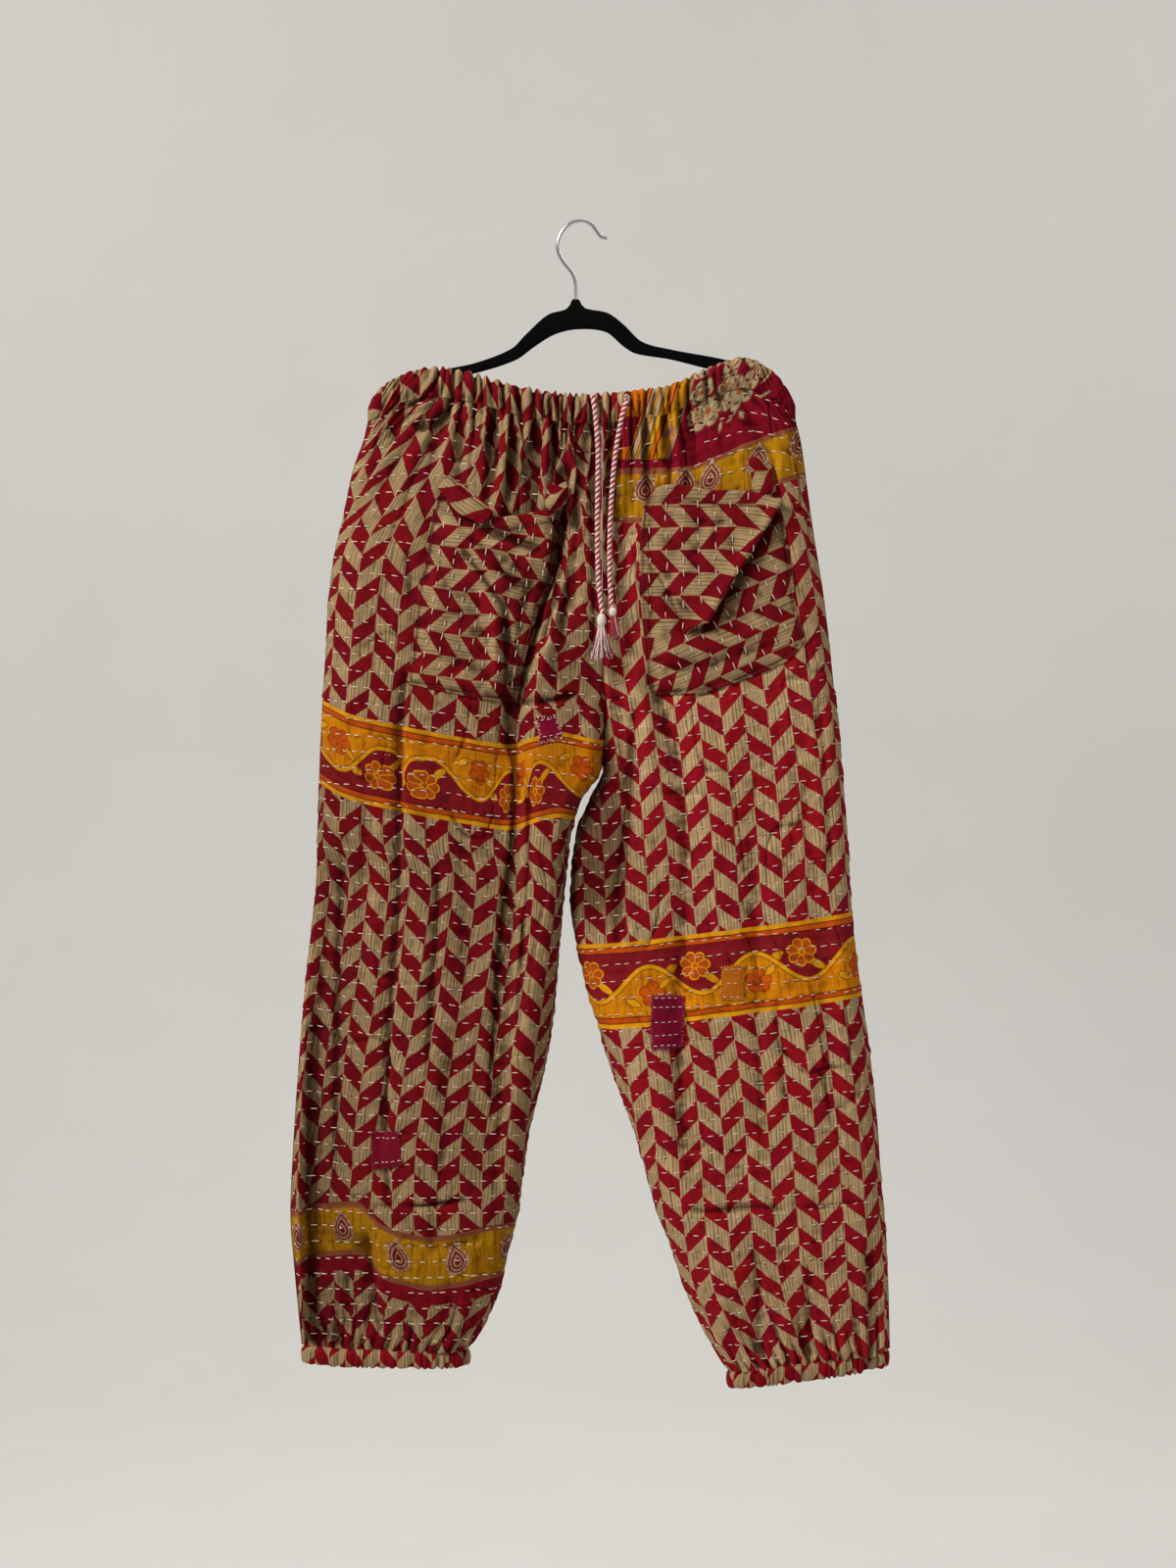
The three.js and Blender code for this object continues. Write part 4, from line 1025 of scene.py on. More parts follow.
# Short creases between two points: x0, z0, x1, z1, height, half width.
TUCKS = {
    "front_right": [(-62, -478, -2, -472, -5, 3.2), (-173, -969, -113, -966, -4.5, 3), (-150, -1010, -96, -1002, -2.5, 4)],
    "front_left": [(107, -974, 199, -972, -2.4, 3), (212, -970, 277, -967, -2.0, 3), (60, -560, 130, -572, -1.6, 5)],
    "back_right": [(-150, -560, -60, -572, -3, 4), (-220, -820, -150, -812, -2.4, 4)],
    "back_left": [(70, -610, 160, -600, -3, 4), (150, -880, 240, -872, -2.4, 4)],
}


# Long soft folds that fan out from where the cloth is held: x0, z0, x1, z1, height, half width.
DRAPE = {
    "front_right": [(-146, -176, -206, -292, -7.0, 7), (-140, -182, -186, -330, -6.0, 6.5), (-154, -168, -216, -238, -5.0, 6),
                    (-132, -184, -160, -300, -5.5, 6), (-112, -190, -128, -300, -5.0, 5.5), (-90, -196, -92, -330, -4.5, 5),
                    (-44, -200, -52, -300, -6.0, 5.0), (-66, -198, -74, -292, -4.5, 5.0)],
    "front_left": [(148, -168, 190, -250, -3.0, 7), (132, -176, 150, -262, -3.2, 6), (108, -184, 112, -262, -3.6, 5), (60, -190, 64, -268, -4.0, 5),
                   (84, -188, 82, -262, -3.6, 4.5)],
    "back_right": [(-120, -176, -170, -300, -5.0, 8), (-70, -186, -96, -330, -5.0, 8), (-30, -190, -36, -320, -4.0, 7)],
    "back_left": [(110, -176, 165, -300, -5.0, 8), (70, -186, 92, -320, -5.0, 8), (40, -190, 44, -320, -4.0, 7)],
}


def fold_field(key, side, x, z):
    total = np.zeros_like(x)
    for f in FOLDS[key]:
        line = table(f.line)
        d = (x - read(line, z)) * side
        z0, z1 = line[0, 0], line[-1, 0]
        run = smooth(z0 + f.top * 0.5, z0 - f.top * 0.5, z) * (1 - smooth(z1 + f.bot * 0.5, z1 - f.bot * 0.5, z))
        shape = np.where(d > 0, np.exp(-(np.abs(d) / f.wo) ** f.po), np.exp(-(np.abs(d) / f.wi) ** f.pi))
        total += f.h * shape * run
    for x0, z0, x1, z1, h, w in TUCKS[key]:
        L = math.hypot(x1 - x0, z1 - z0)
        tx, tz = (x1 - x0) / L, (z1 - z0) / L
        t = (x - x0) * tx + (z - z0) * tz
        d = (x - x0) * -tz + (z - z0) * tx + 1.5 * np.sin(t / 13.0)
        total += h * np.exp(-(np.abs(d) / w) ** 1.5) * smooth(-8, 10, t) * (1 - smooth(L - 10, L + 8, t))
    for x0, z0, x1, z1, h, w in DRAPE.get(key, ()):
        L = math.hypot(x1 - x0, z1 - z0)
        tx, tz = (x1 - x0) / L, (z1 - z0) / L
        t = (x - x0) * tx + (z - z0) * tz
        d = (x - x0) * -tz + (z - z0) * tx + 3.0 * np.sin(t / 31.0 + x0)
        total += h * np.exp(-(np.abs(d) / (w * (0.7 + 0.9 * np.clip(t / L, 0, 1)))) ** 1.6) * smooth(-4, 26, t) * (1 - smooth(L * 0.5, L + 16, t))
    return total


def half_depth(leg, key, x, z):
    xo, xi = read(leg.outer, z), read(leg.inner, z)
    depth, rnd = read(DEPTH, z, 1), read(DEPTH, z, 2)
    arc = lambda d, w: np.sqrt(np.maximum(1 - (1 - np.clip(d / w, 0, 1)) ** 2, 0))
    split = smooth(CROTCH_Z + 90, CROTCH_Z, z)
    edge = arc((xo - x) * leg.side, rnd) * (1 - split * (1 - arc((x - xi) * leg.side, read(leg.inner_round, z))))
    body = depth * edge
    fold = fold_field(key, leg.side, x, z) * np.minimum(edge * 1.2, 1) * np.where(split > 0, edge, 1.0)
    return np.maximum(body + fold, np.minimum(body, 3))


def base_xz(leg, c, r):
    idx = np.arange(len(leg.rows), dtype=float)
    zo = read(np.column_stack([idx, leg.rows[:, 0]]), r)
    zi = read(np.column_stack([idx, leg.rows[:, 1]]), r)
    xo, xi = read(leg.outer, zo), read(leg.inner, zi)
    x = xo + (xi - xo) * c
    z = zo + (zi - zo) * c
    xw = leg.outer[0, 1] + (leg.inner[0, 1] - leg.outer[0, 1]) * c
    chord = leg.rows[0, 0] + (leg.rows[0, 1] - leg.rows[0, 0]) * c
    z = z + (read(WAIST, xw, 2) - chord) * np.exp(-((r / 2.6) ** 2))
    return x, z, xw


# Gathers under the elastic: ridge number along the waist.
def gather_phase(x, face):
    return x / 8.2 + 0.85 * noise(x / 34.0, 3.0 + face) + 0.34 * noise(x / 13.0, 9.0 + face)


FAN = [(-214, -0.95), (-172, -0.85), (-152, -0.45), (-132, -0.15), (-112, 0.0), (112, 0.0), (140, 0.15), (160, 0.40), (180, 0.65), (214, 0.75)]


def fanned(x, drop):
    """Where a fold that starts at x on the casing's top edge has got to, `drop` mm lower: as if not moved."""
    return x - read(table(FAN), x) * np.minimum(drop, 70.0)


def valleys(p, d, seed, amp, length, sharp=0.7, start=0.0, rise=8.0):
    m = np.floor(p)
    reach = length * (0.5 + 1.0 * hash01(m, seed))
    deep = amp * (0.45 + 1.0 * hash01(m, seed + 1))
    v = 1 - np.abs(np.cos(PI * p)) ** sharp
    return -deep * v * np.exp(-((np.maximum(d - start, 0) / reach) ** 1.7)) * smooth(start - rise, start + rise * 0.3, d)


QUILT = 15.75


def quilt_row(u, v, seed):
    """Distance in v from the nearest row of running stitch, whose rows wander a little."""
    w = v + 1.6 * noise(u / 55.0, v / 90.0, seed) + 0.5 * noise(u / 17.0, v / 30.0, seed + 1)
    return (w / QUILT - np.floor(w / QUILT) - 0.5) * QUILT


def crumple(u, v, seed):
    """Soft hang of worn cotton: long slack folds, and short creases between the stitch rows."""
    soft = 2.4 * noise(u / 46.0, v / 230.0, seed) + 1.3 * noise(u / 22.0, v / 90.0, seed + 2)
    small = 0.85 * noise(u / 11.0, v / 15.0, seed + 3) + 0.55 * noise(u / 5.5, v / 9.0, seed + 4)
    n1 = noise(u / 30.0, v / 75.0, seed + 5)
    n2 = noise(u / 22.0 + 0.01 * v, v / 34.0, seed + 6)
    gate = smooth(-0.1, 0.5, noise(u / 70.0, v / 110.0, seed + 7))
    gate2 = smooth(0.0, 0.6, noise(u / 60.0, v / 60.0, seed + 8))
    lines = -1.9 * bell(n1, 0.06) * gate - 1.3 * bell(n2, 0.07) * gate2
    return soft + small + lines


# How strongly each panel is gathered under the casing: x, share.
WAIST_PULL = {
    "front_right": [(-214, 0.08), (-180, 0.22), (-158, 0.40), (-136, 0.85), (-110, 1.0), (-60, 1.15), (20, 1.2)],
    "front_left": [(20, 0.95), (34, 0.62), (50, 0.50), (88, 0.50), (104, 0.62), (122, 0.50), (150, 0.40), (175, 0.18), (214, 0.06)],
    "back_right": [(-214, 0.15), (-175, 0.6), (-120, 1.0), (20, 1.1)],
    "back_left": [(20, 1.1), (120, 1.0), (175, 0.6), (214, 0.15)],
}


def panel(leg, face, key, cols, rows, seed, flip_u):
    """A dense single layer on one leg panel's form. Returns its grids."""
    n = len(leg.rows) - 1
    rr = np.linspace(0, n, 4 * n + 1)
    idx = np.arange(n + 1, dtype=float)
    mean = read(np.column_stack([idx, leg.rows.mean(axis=1)]), rr)
    vv = -(mean - mean[0])
    v_even = np.linspace(0, vv[-1], rows + 1)
    R = np.interp(v_even, vv, rr)
    fine = np.linspace(0, 1, 561)
    fine = fine - 0.75 * np.sin(2 * PI * fine) / (2 * PI)
    r, c = np.meshgrid(R, fine, indexing="ij")
    x, z, _ = base_xz(leg, c, r)
    y = half_depth(leg, key, x, z)
    ds = np.sqrt(np.diff(x, axis=1) ** 2 + np.diff(y, axis=1) ** 2 + np.diff(z, axis=1) ** 2)
    s = np.concatenate([np.zeros((rows + 1, 1)), np.cumsum(ds, axis=1)], axis=1)
    total = s[:, -1]
    share = np.linspace(0, 1, cols + 1)
    C = np.stack([np.interp(share * total[i], s[i], fine) for i in range(rows + 1)])
    r = np.repeat(R[:, None], cols + 1, axis=1)
    x, z, xw = base_xz(leg, C, r)
    y = half_depth(leg, key, x, z)
    u = share[None, :] * total[:, None]
    v = np.repeat(v_even[:, None], cols + 1, axis=1)
    P = np.stack([x, face * y, z], -1)
    N = normals_of(P)
    mid = N[rows // 2, cols // 2, 1]
    if mid * face < 0:
        N = -N
    # ---- fine relief along the normal
    below = read(WAIST, xw, 2) - z  # distance under the casing
    above = z - (leg.rows[-1, 0] + (leg.rows[-1, 1] - leg.rows[-1, 0]) * C)
    edge_o = smooth(0, 9, u)
    edge_i = smooth(0, 9, total[:, None] - u)
    p = gather_phase(fanned(xw, below + 26.0), face) + 0.26 * noise(z / 34.0, xw / 24.0, seed) * smooth(0, 40, below)
    # how strongly the waist is gathered along its length
    pull = table(WAIST_PULL[key])
    calm = read(pull[np.argsort(pull[:, 0])], xw)
    g = valleys(p, below, seed, 6.6, 34, 0.90, 0.0, 1.0) * (0.30 + 0.70 * calm)
    g += valleys(p / 2.1 + 0.4, below, seed + 5, 9.0, 84, 0.75, 6.0, 14.0) * calm
    g += valleys(p / 4.2 + 0.2, below, seed + 9, 7.0, 170, 0.85, 30.0, 40.0) * calm
    g += 1.5 * calm * np.exp(-((below - 16) / 12.0) ** 2)
    hem_p = u / total[:, None] * 19.0 + 0.4 * noise(u / 30.0, 5.0, seed)
    g += valleys(hem_p, above, seed + 12, 5.2, 30, 0.8, 0.0, 1.0)
    g += valleys(hem_p / 2.2 + 0.3, above, seed + 15, 4.6, 56, 0.75, 6.0, 10.0)
    g += 1.2 * np.exp(-((above - 12) / 9.0) ** 2)
    fine_h = crumple(u, v, seed)
    q = quilt_row(u, v, seed)
    fine_h += -1.05 * bell(q, 2.0) * (0.7 + 0.9 * noise(u / 5.0, v / 8.0, seed + 30)) + 0.38 * np.cos(2 * PI * q / QUILT)
    # ends of the panel: pinched under the casing and into the cuff
    fine_h = fine_h * smooth(0, 10, below + 2) * smooth(-2, 8, above)
    pinch = -0.5 * bell(below, 3.5) - 1.2 * bell(above, 4.0)
    seam_o = -1.5 * bell(u, 2.6) + 0.5 * np.sin(2 * PI * v / 15.0 + 2 * noise(v / 40.0, 1.0, seed)) * np.exp(-u / 14.0) * edge_o
    di = total[:, None] - u
    seam_i = -2.0 * bell(di, 3.0) + 0.7 * np.sin(2 * PI * v / 13.0 + 3 * noise(v / 30.0, 2.0, seed)) * np.exp(-di / 13.0) * edge_i
    disp = (g + fine_h) * edge_o * edge_i + pinch + seam_o * 0.7 + seam_i
    disp[:, 0] *= 0.0
    P = P + N * disp[..., None]
    # front and back never cross the middle plane
    P[..., 1] = face * np.maximum(face * P[..., 1], 0.15)
    # the two halves of an open centre seam stay on their own sides
    P[:, -1, 0] = np.where(P[:, -1, 2] > CROTCH_Z + 1, leg.inner[0, 1] - 0.0, P[:, -1, 0])
    # the cloth is as wide at the waist as at the hips: the gathers take up the difference
    step_x = np.linalg.norm(np.diff(P, axis=1), axis=2)
    base_x = np.diff(u, axis=1)
    extra = np.maximum(step_x - base_x, 0) + 0.02 * base_x
    take = np.concatenate([np.zeros((rows + 1, 1)), np.cumsum(extra, axis=1)], axis=1)
    k_hip = int(np.argmin(np.abs(v_even - 210.0)))
    lack = np.maximum(total[k_hip] - total, 0) * smooth(260, 170, v_even) * 1.25
    k_knee = int(np.argmin(np.abs(v_even - (v_even[-1] - 100.0))))
    lack = lack + np.maximum(total[k_knee] - total, 0) * smooth(v_even[-1] - 110, v_even[-1] - 60, v_even) * 0.9
    # and near the casing the print is squeezed still more, spread from the middle of the panel
    more = total * (0.34 * smooth(150, 0, v_even) + 0.12 * smooth(26, 0, v_even))
    w = 0.35 * base_x + extra * 1.4 * calm[:, 1:]
    w = w * (0.15 + calm[:, 1:])
    w = np.concatenate([np.zeros((rows + 1, 1)), np.cumsum(w, axis=1)], axis=1)
    w = w / np.maximum(w[:, -1:], 1e-6)
    take_n = take / np.maximum(take[:, -1:], 1e-6)
    u_cloth = u + take_n * lack[:, None] + (w - 0.62) * more[:, None]
    uu = -u_cloth if flip_u else u_cloth
    return SimpleNamespace(u_raw=u,P=P, N=normals_of(P) * (1 if mid * face > 0 else -1), u=uu, v=v, total=total, rows=rows, cols=cols,
                           xw=xw, C=C, key=key, leg=leg, face=face, v_even=v_even)


def blurred(a, ky, kx):
    for axis, k in ((0, ky), (1, kx)):
        w = np.exp(-((np.arange(-2 * k, 2 * k + 1) / k) ** 2))
        w /= w.sum()
        pad = [(0, 0), (0, 0)]
        pad[axis] = (2 * k, 2 * k)
        b2 = np.pad(a, pad, mode="edge")
        acc = np.zeros_like(a)
        for i, ww in enumerate(w):
            sl = [slice(None), slice(None)]
            sl[axis] = slice(i, i + a.shape[axis])
            acc += b2[tuple(sl)] * ww
        a = acc
    return a


def relief_uv(P, face, fine=(2, 3), wide=(5, 8), depth=2.6):
    """Two numbers a point, the amounts of painted shade and painted highlight: how deep in a fold's hollow it lies, and
    how proud it stands.
    """
    h = P[..., 1] * face  # outward
    a = blurred(h, *fine) - h
    b2 = blurred(h, *wide) - h
    cav = np.clip(a / (depth * 0.42), -1, 1) * 0.55 + np.clip(b2 / depth, -1, 1) * 0.75
    return np.stack([np.clip(cav - 0.06, 0, 1).ravel(), np.clip(-cav - 0.1, 0, 1).ravel()], 1)


def normalise(a):
    a = np.asarray(a, dtype=float)
    lo, hi = a.min(), a.max()
    return (a - lo) / max(hi - lo, 1e-9)


def panel_object(name, g, mats, face_mats=None):
    rows, cols = g.P.shape[:2]
    extra = {}
    if hasattr(g, "hem_q"):
        extra["hem"] = np.stack([g.hem_p.ravel(), g.hem_q.ravel()], 1) * 0.001
    if hasattr(g, "block_q"):
        extra["block"] = np.stack([g.block_s.ravel(), g.block_q.ravel()], 1) * 0.001
    rel = relief_uv(g.P, g.face)
    if hasattr(g, "shade"):
        rel[:, 0] = np.clip(rel[:, 0] + g.shade.ravel(), 0, 1)
    uv = {**extra,
        "relief": rel,
        "cloth": np.stack([g.u.ravel(), g.v.ravel()], 1) * 0.001,
        "OFBake": np.stack([0.002 + 0.996 * normalise(np.repeat(np.arange(cols)[None, :], rows, 0)).ravel(),
                            0.002 + 0.996 * (1 - normalise(g.v)).ravel()], 1),
        "flat": np.stack([g.P[..., 0].ravel(), g.P[..., 2].ravel()], 1) * 0.001,
        "band": np.stack([g.band_p.ravel(), g.band_q.ravel()], 1) * 0.001,
    }
    flip = (g.leg.side * g.face) < 0
    return make(name, g.P.reshape(-1, 3), grid_faces(rows, cols, flip=not flip), uvs=uv, mats=mats, face_mats=face_mats)


FR = panel(RIGHT, -1, "front_right", 190, 400, 1, False)
FL = panel(LEFT, -1, "front_left", 190, 400, 2, False)
BR = panel(RIGHT, 1, "back_right", 150, 300, 3, True)
BL = panel(LEFT, 1, "back_left", 150, 300, 4, True)


# ---------------------------------------------------------------- where the printed borders run
def border_q(g, line, q_sign=1.0):
    """Distance down the cloth from a line given as (x, z) rows across the front of the panel."""
    line = table(line)
    x = np.clip(g.P[..., 0], line[:, 0].min(), line[:, 0].max())
    return read(line[np.argsort(line[:, 0])], x) - g.P[..., 2]


BORDER_R = [(-265, -470), (-227, -489), (-176, -501), (-113, -513), (-69, -519), (-49, -513), (-23, -507), (7, -513), (22, -515)]
BORDER_L = [(-12, -717), (60, -711), (150, -700), (220, -691), (268, -684), (300, -681)]
HEM_R = [(-290, -982), (-268, -975), (-244, -970), (-218, -968), (-208, -976), (-196, -988), (-172, -996), (-147, -1000), (-118, -996), (-91, -990), (-60, -989)]
for g in (FR, FL, BR, BL):
    if g.leg is RIGHT:
        g.band_q = border_q(g, BORDER_R)
        g.band_p = (g.u * g.face * -1.0 - 46.0) * 0.92 + 50.0
        g.hem_q = border_q(g, HEM_R)
        g.hem_p = g.u * g.face * -1.0 + 4.0
    else:
        g.band_q = border_q(g, BORDER_L)
        g.band_p = -((g.u * g.face * -1.0 - 22.0) * 0.943) + 50.0
# the border's motifs bunch where pleats take cloth under: x across the front, p along the print,
# a motif or a pleat a row
BORDER_R_RUN = [(-285, 8), (-265, 26), (-237, 53), (-200, 96), (-176, 121), (-172.5, 176), (-152, 196), (-99, 253), (-72, 296),
                (-67, 304), (-63, 346), (-58, 353), (-46, 394), (1, 453), (25, 478)]
FR.band_p = read(table(BORDER_R_RUN), FR.P[..., 0])
# the waist block: s from the middle of the front, q down from the top line of its band
BLOCK_TOP = [(20, -244), (45, -247), (104, -244), (130, -236), (163, -221), (216, -202), (240, -196)]
FL.block_q = border_q(FL, BLOCK_TOP)
FL.block_s = (FL.P[..., 0] - 28.0) + 0.33 * np.minimum(FL.block_q, 0)


xx, zz = FL.P[..., 0], FL.P[..., 2]
FL.shade = 0.85 * smooth(64, 22, xx) * smooth(-505, -560, zz) * smooth(-730, -650, zz)
FL.shade = FL.shade + 0.30 * smooth(76, 30, xx) * smooth(-480, -540, zz) * smooth(-760, -680, zz)
xx, zz = FR.P[..., 0], FR.P[..., 2]
FR.shade = 0.30 * smooth(-30, -4, xx) * smooth(-380, -430, zz) * smooth(-505, -470, zz)
FR.shade = FR.shade + 0.34 * smooth(-196, -250, xx) * smooth(-268, -262, xx) * smooth(-460, -620, zz)


def mouth_shade(g, rim, strength, reach):
    rim = table(rim)
    x, z = g.P[..., 0], g.P[..., 2]
    over = z - read(rim, np.clip(x, rim[0, 0], rim[-1, 0]))
    beside = smooth(rim[0, 0] - 1, rim[0, 0] + 6, x) * (1 - smooth(rim[-1, 0] - 8, rim[-1, 0] + 1, x))
    return strength * np.exp(-np.maximum(over, 0) / reach) * (over > -8) * beside


FR.shade = FR.shade + mouth_shade(FR, [(-100, -292), (-85, -296), (-61, -293.5), (-37, -288.6), (-18.5, -279)], 0.85, 7.0)
FL.shade = FL.shade + mouth_shade(FL, [(64, -274), (71, -268), (81, -264), (104, -266), (143, -270), (178, -273), (194, -276)], 0.60, 4.0)


def quad_mean(a):
    return 0.25 * (a[:-1, :-1] + a[1:, :-1] + a[1:, 1:] + a[:-1, 1:]).ravel()


def face_kinds(g):
    k = np.zeros((g.P.shape[0] - 1) * (g.P.shape[1] - 1), dtype=int)
    q = quad_mean(g.band_q)
    k[(q > -4) & (q < 88)] = 1
    if hasattr(g, "hem_q"):
        q = quad_mean(g.hem_q)
        k[(q > -4) & (q < HEM_H + HEM_STRIP + 4)] = 2
    if hasattr(g, "block_q"):
        q = quad_mean(g.block_q)
        k[(q < 60)] = 2
    return k


# the front panels take the legs' painted shade (wearer's right) and painted light (wearer's left) through their chevron
# materials
panels = {
    "front_right_leg": panel_object("cloth_front_right_leg", FR, [MAT_CHEVRON_R, MAT_BORDER_R, MAT_HEM], face_kinds(FR)),
    "front_left_leg": panel_object("cloth_front_left_leg", FL, [MAT_CHEVRON_L, MAT_BORDER_L, MAT_WAIST], face_kinds(FL)),
    "back_right_leg": panel_object("cloth_back_right_leg", BR, [MAT_CHEVRON, MAT_BORDER_R, MAT_HEM], face_kinds(BR)),
    "back_left_leg": panel_object("cloth_back_left_leg", BL, [MAT_CHEVRON, MAT_BORDER_L], face_kinds(BL)),
}
for node, ob in panels.items():
    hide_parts(node)
    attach(ob, "root")

# ---------------------------------------------------------------- waist casing
def waist_casing(face, name, mat):
    x0, x1 = WAIST[0, 0], WAIST[-1, 0]
    n = 420
    c = np.linspace(0, 1, n + 1)
    c = c - 0.6 * np.sin(2 * PI * c) / (2 * PI)
    xs = x0 + (x1 - x0) * c
    foot, top = read(WAIST, xs, 2), read(WAIST, xs, 1)
    near = np.minimum(xs - x0, x1 - xs)
    arc = np.sqrt(np.maximum(1 - (1 - np.clip(near / 26, 0, 1)) ** 2, 0))
    p = gather_phase(xs, face)
    m = np.floor(p)
    pull = table(WAIST_PULL["front_right" if face < 0 else "back_right"][:-1] + WAIST_PULL["front_left" if face < 0 else "back_left"])
    calm = read(pull, xs)
    ridge = np.abs(np.cos(PI * p)) ** 0.8  # 1 on a ridge, 0 in a valley
    p2 = p / 2.3
    slow = 1.3 * np.sin(2 * PI * p2) + 0.8 * noise(xs / 21.0, 2.0, 66 + face)
    # round the section: up the outside, over the top edge, down the inside
    prof = table([  # turn, outward, height share
        [0, -0.5, -0.06], [1, -0.2, 0.02], [2, 0.5, 0.18], [3, 1.3, 0.40], [4, 1.6, 0.62], [5, 1.1, 0.82],
        [6, 0.1, 0.92], [7, -1.1, 1.00], [8, -2.4, 1.00], [9, -3.6, 0.94], [10, -4.3, 0.82],
        [11, -4.6, 0.6], [12, -4.5, 0.35], [13, -4.2, 0.1], [14, -4.0, 0.0],
    ])
    t = np.linspace(0, 14, 43)
    out, hgt = read(prof, t, 1), read(prof, t, 2)
    T = t[:, None]
    bulge = np.sin(PI * np.clip(hgt, 0, 1)) ** 0.6
    inside = smooth(8.5, 10.5, t)
    # the ridges lean, so that their phase is taken afresh at each height
    drop = 26.0 * (1.0 - np.clip(hgt, 0, 1))[:, None] * (1 - inside)[:, None]
    wander = 0.26 * noise(xs[None, :] / 11.0, hgt[:, None] * 1.6 + 2.0, 57 + face)
    pp = gather_phase(fanned(np.repeat(xs[None, :], len(t), 0), drop), face) + wander
    mm = np.floor(pp)
    ridge2 = np.abs(np.cos(PI * pp)) ** 0.8
    amp = 6.4 * (0.45 + 0.95 * hash01(mm, 77)) * (np.clip(near / 24, 0.15, 1) * (0.20 + 0.80 * calm))[None, :]
    wave = (ridge2 - 1.0) * amp * (0.80 + 0.35 * bulge * (1 - inside))[:, None]
    wave = wave + (1.9 * bulge * (1 - inside))[:, None]
    y = 14.5 * arc[None, :] + (out[:, None] + wave + slow[None, :] * (1 - inside)[:, None]) * np.maximum(arc[None, :], 0.25)
    y = np.maximum(y, 0.2 + 0.05 * (14 - t)[:, None])
    skew = 1.2 * noise(xs / 9.0, 4.0 + face)[None, :] * np.clip(hgt, 0, 1)[:, None]
    lift = (ridge - 0.62)[None, :] * 6.0 * smooth(0.40, 1.0, hgt)[:, None] * (0.20 + 1.15 * hash01(m, 5))[None, :] * (0.15 + 0.85 * calm)[None, :]
    z = foot[None, :] + (top - foot)[None, :] * hgt[:, None] + lift - 0.6
    x = xs[None, :] + skew * np.clip(near / 14, 0, 1)[None, :] + 0 * T
    # small crush marks across the ridges
    y = y + (1.15 * noise(xs[None, :] / 5.2, z / 6.5, 60 + face) + 0.55 * noise(xs[None, :] / 2.8, z / 3.8, 61 + face)) * arc[None, :]
    pts = np.stack([x, face * y, z], -1)
    arc_len = np.concatenate([[0], np.cumsum(np.hypot(np.diff(xs), 1.5 * np.diff(y[15])))])
    section = np.concatenate([[0], np.cumsum(np.hypot(np.diff(out), np.diff(hgt * 25)))])
    # the flat cloth is about twice the gathered length
    U = np.repeat((xs * 1.0)[None, :], len(t), 0)
    right, left = (FR, FL) if face < 0 else (BR, BL)
    along = lambda g: np.interp(xs, *(lambda o: (g.xw[0][o], g.u[0][o]))(np.argsort(g.xw[0])))
    line_u = np.where(xs < 20.6, along(right), along(left))
    flat_u = np.repeat(line_u[None, :], len(t), 0) + skew * 0.6
    V = np.repeat((-section)[:, None], n + 1, 1)
    line = table(BLOCK_TOP)
    q_block = read(line, np.clip(x, line[0, 0], line[-1, 0])) - (foot[None, :] - section[:, None] * -1.0 - 0.0)
    s_block = (x - 28.0) + 0.33 * np.minimum(q_block, 0)
    uv = {
        "relief": relief_uv(pts, face, (1, 5), (2, 12), 3.4),
        "cloth": np.stack([flat_u.ravel(), V.ravel()], 1) * 0.001,
        "flat": np.stack([x.ravel(), z.ravel()], 1) * 0.001,
        "block": np.stack([s_block.ravel(), q_block.ravel()], 1) * 0.001,
        "OFBake": np.stack([0.002 + 0.996 * np.repeat(normalise(arc_len)[None, :], len(t), 0).ravel(),
                            0.002 + 0.996 * np.repeat(normalise(section)[:, None], n + 1, 1).ravel()], 1),
    }
    kinds = (quad_mean(x) > 20.6).astype(int) if face < 0 else np.zeros((len(t) - 1) * n, dtype=int)
    mats = [mat, MAT_WAIST_CASING] if face < 0 else [mat]
    ob = make(name, pts.reshape(-1, 3), grid_faces(len(t), n + 1, flip=face < 0), uvs=uv, mats=mats, face_mats=kinds)
    return ob, pts


# the front casing's wearer's-right half takes that leg's painted shade
cas_f, cas_f_pts = waist_casing(-1, "cloth_waist_casing_front", MAT_CHEVRON_R)
cas_b, cas_b_pts = waist_casing(1, "cloth_waist_casing_back", MAT_CHEVRON)
for ob, node in ((cas_f, "waist_casing_front"), (cas_b, "waist_casing_back")):
    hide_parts(node)
    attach(ob, "root")


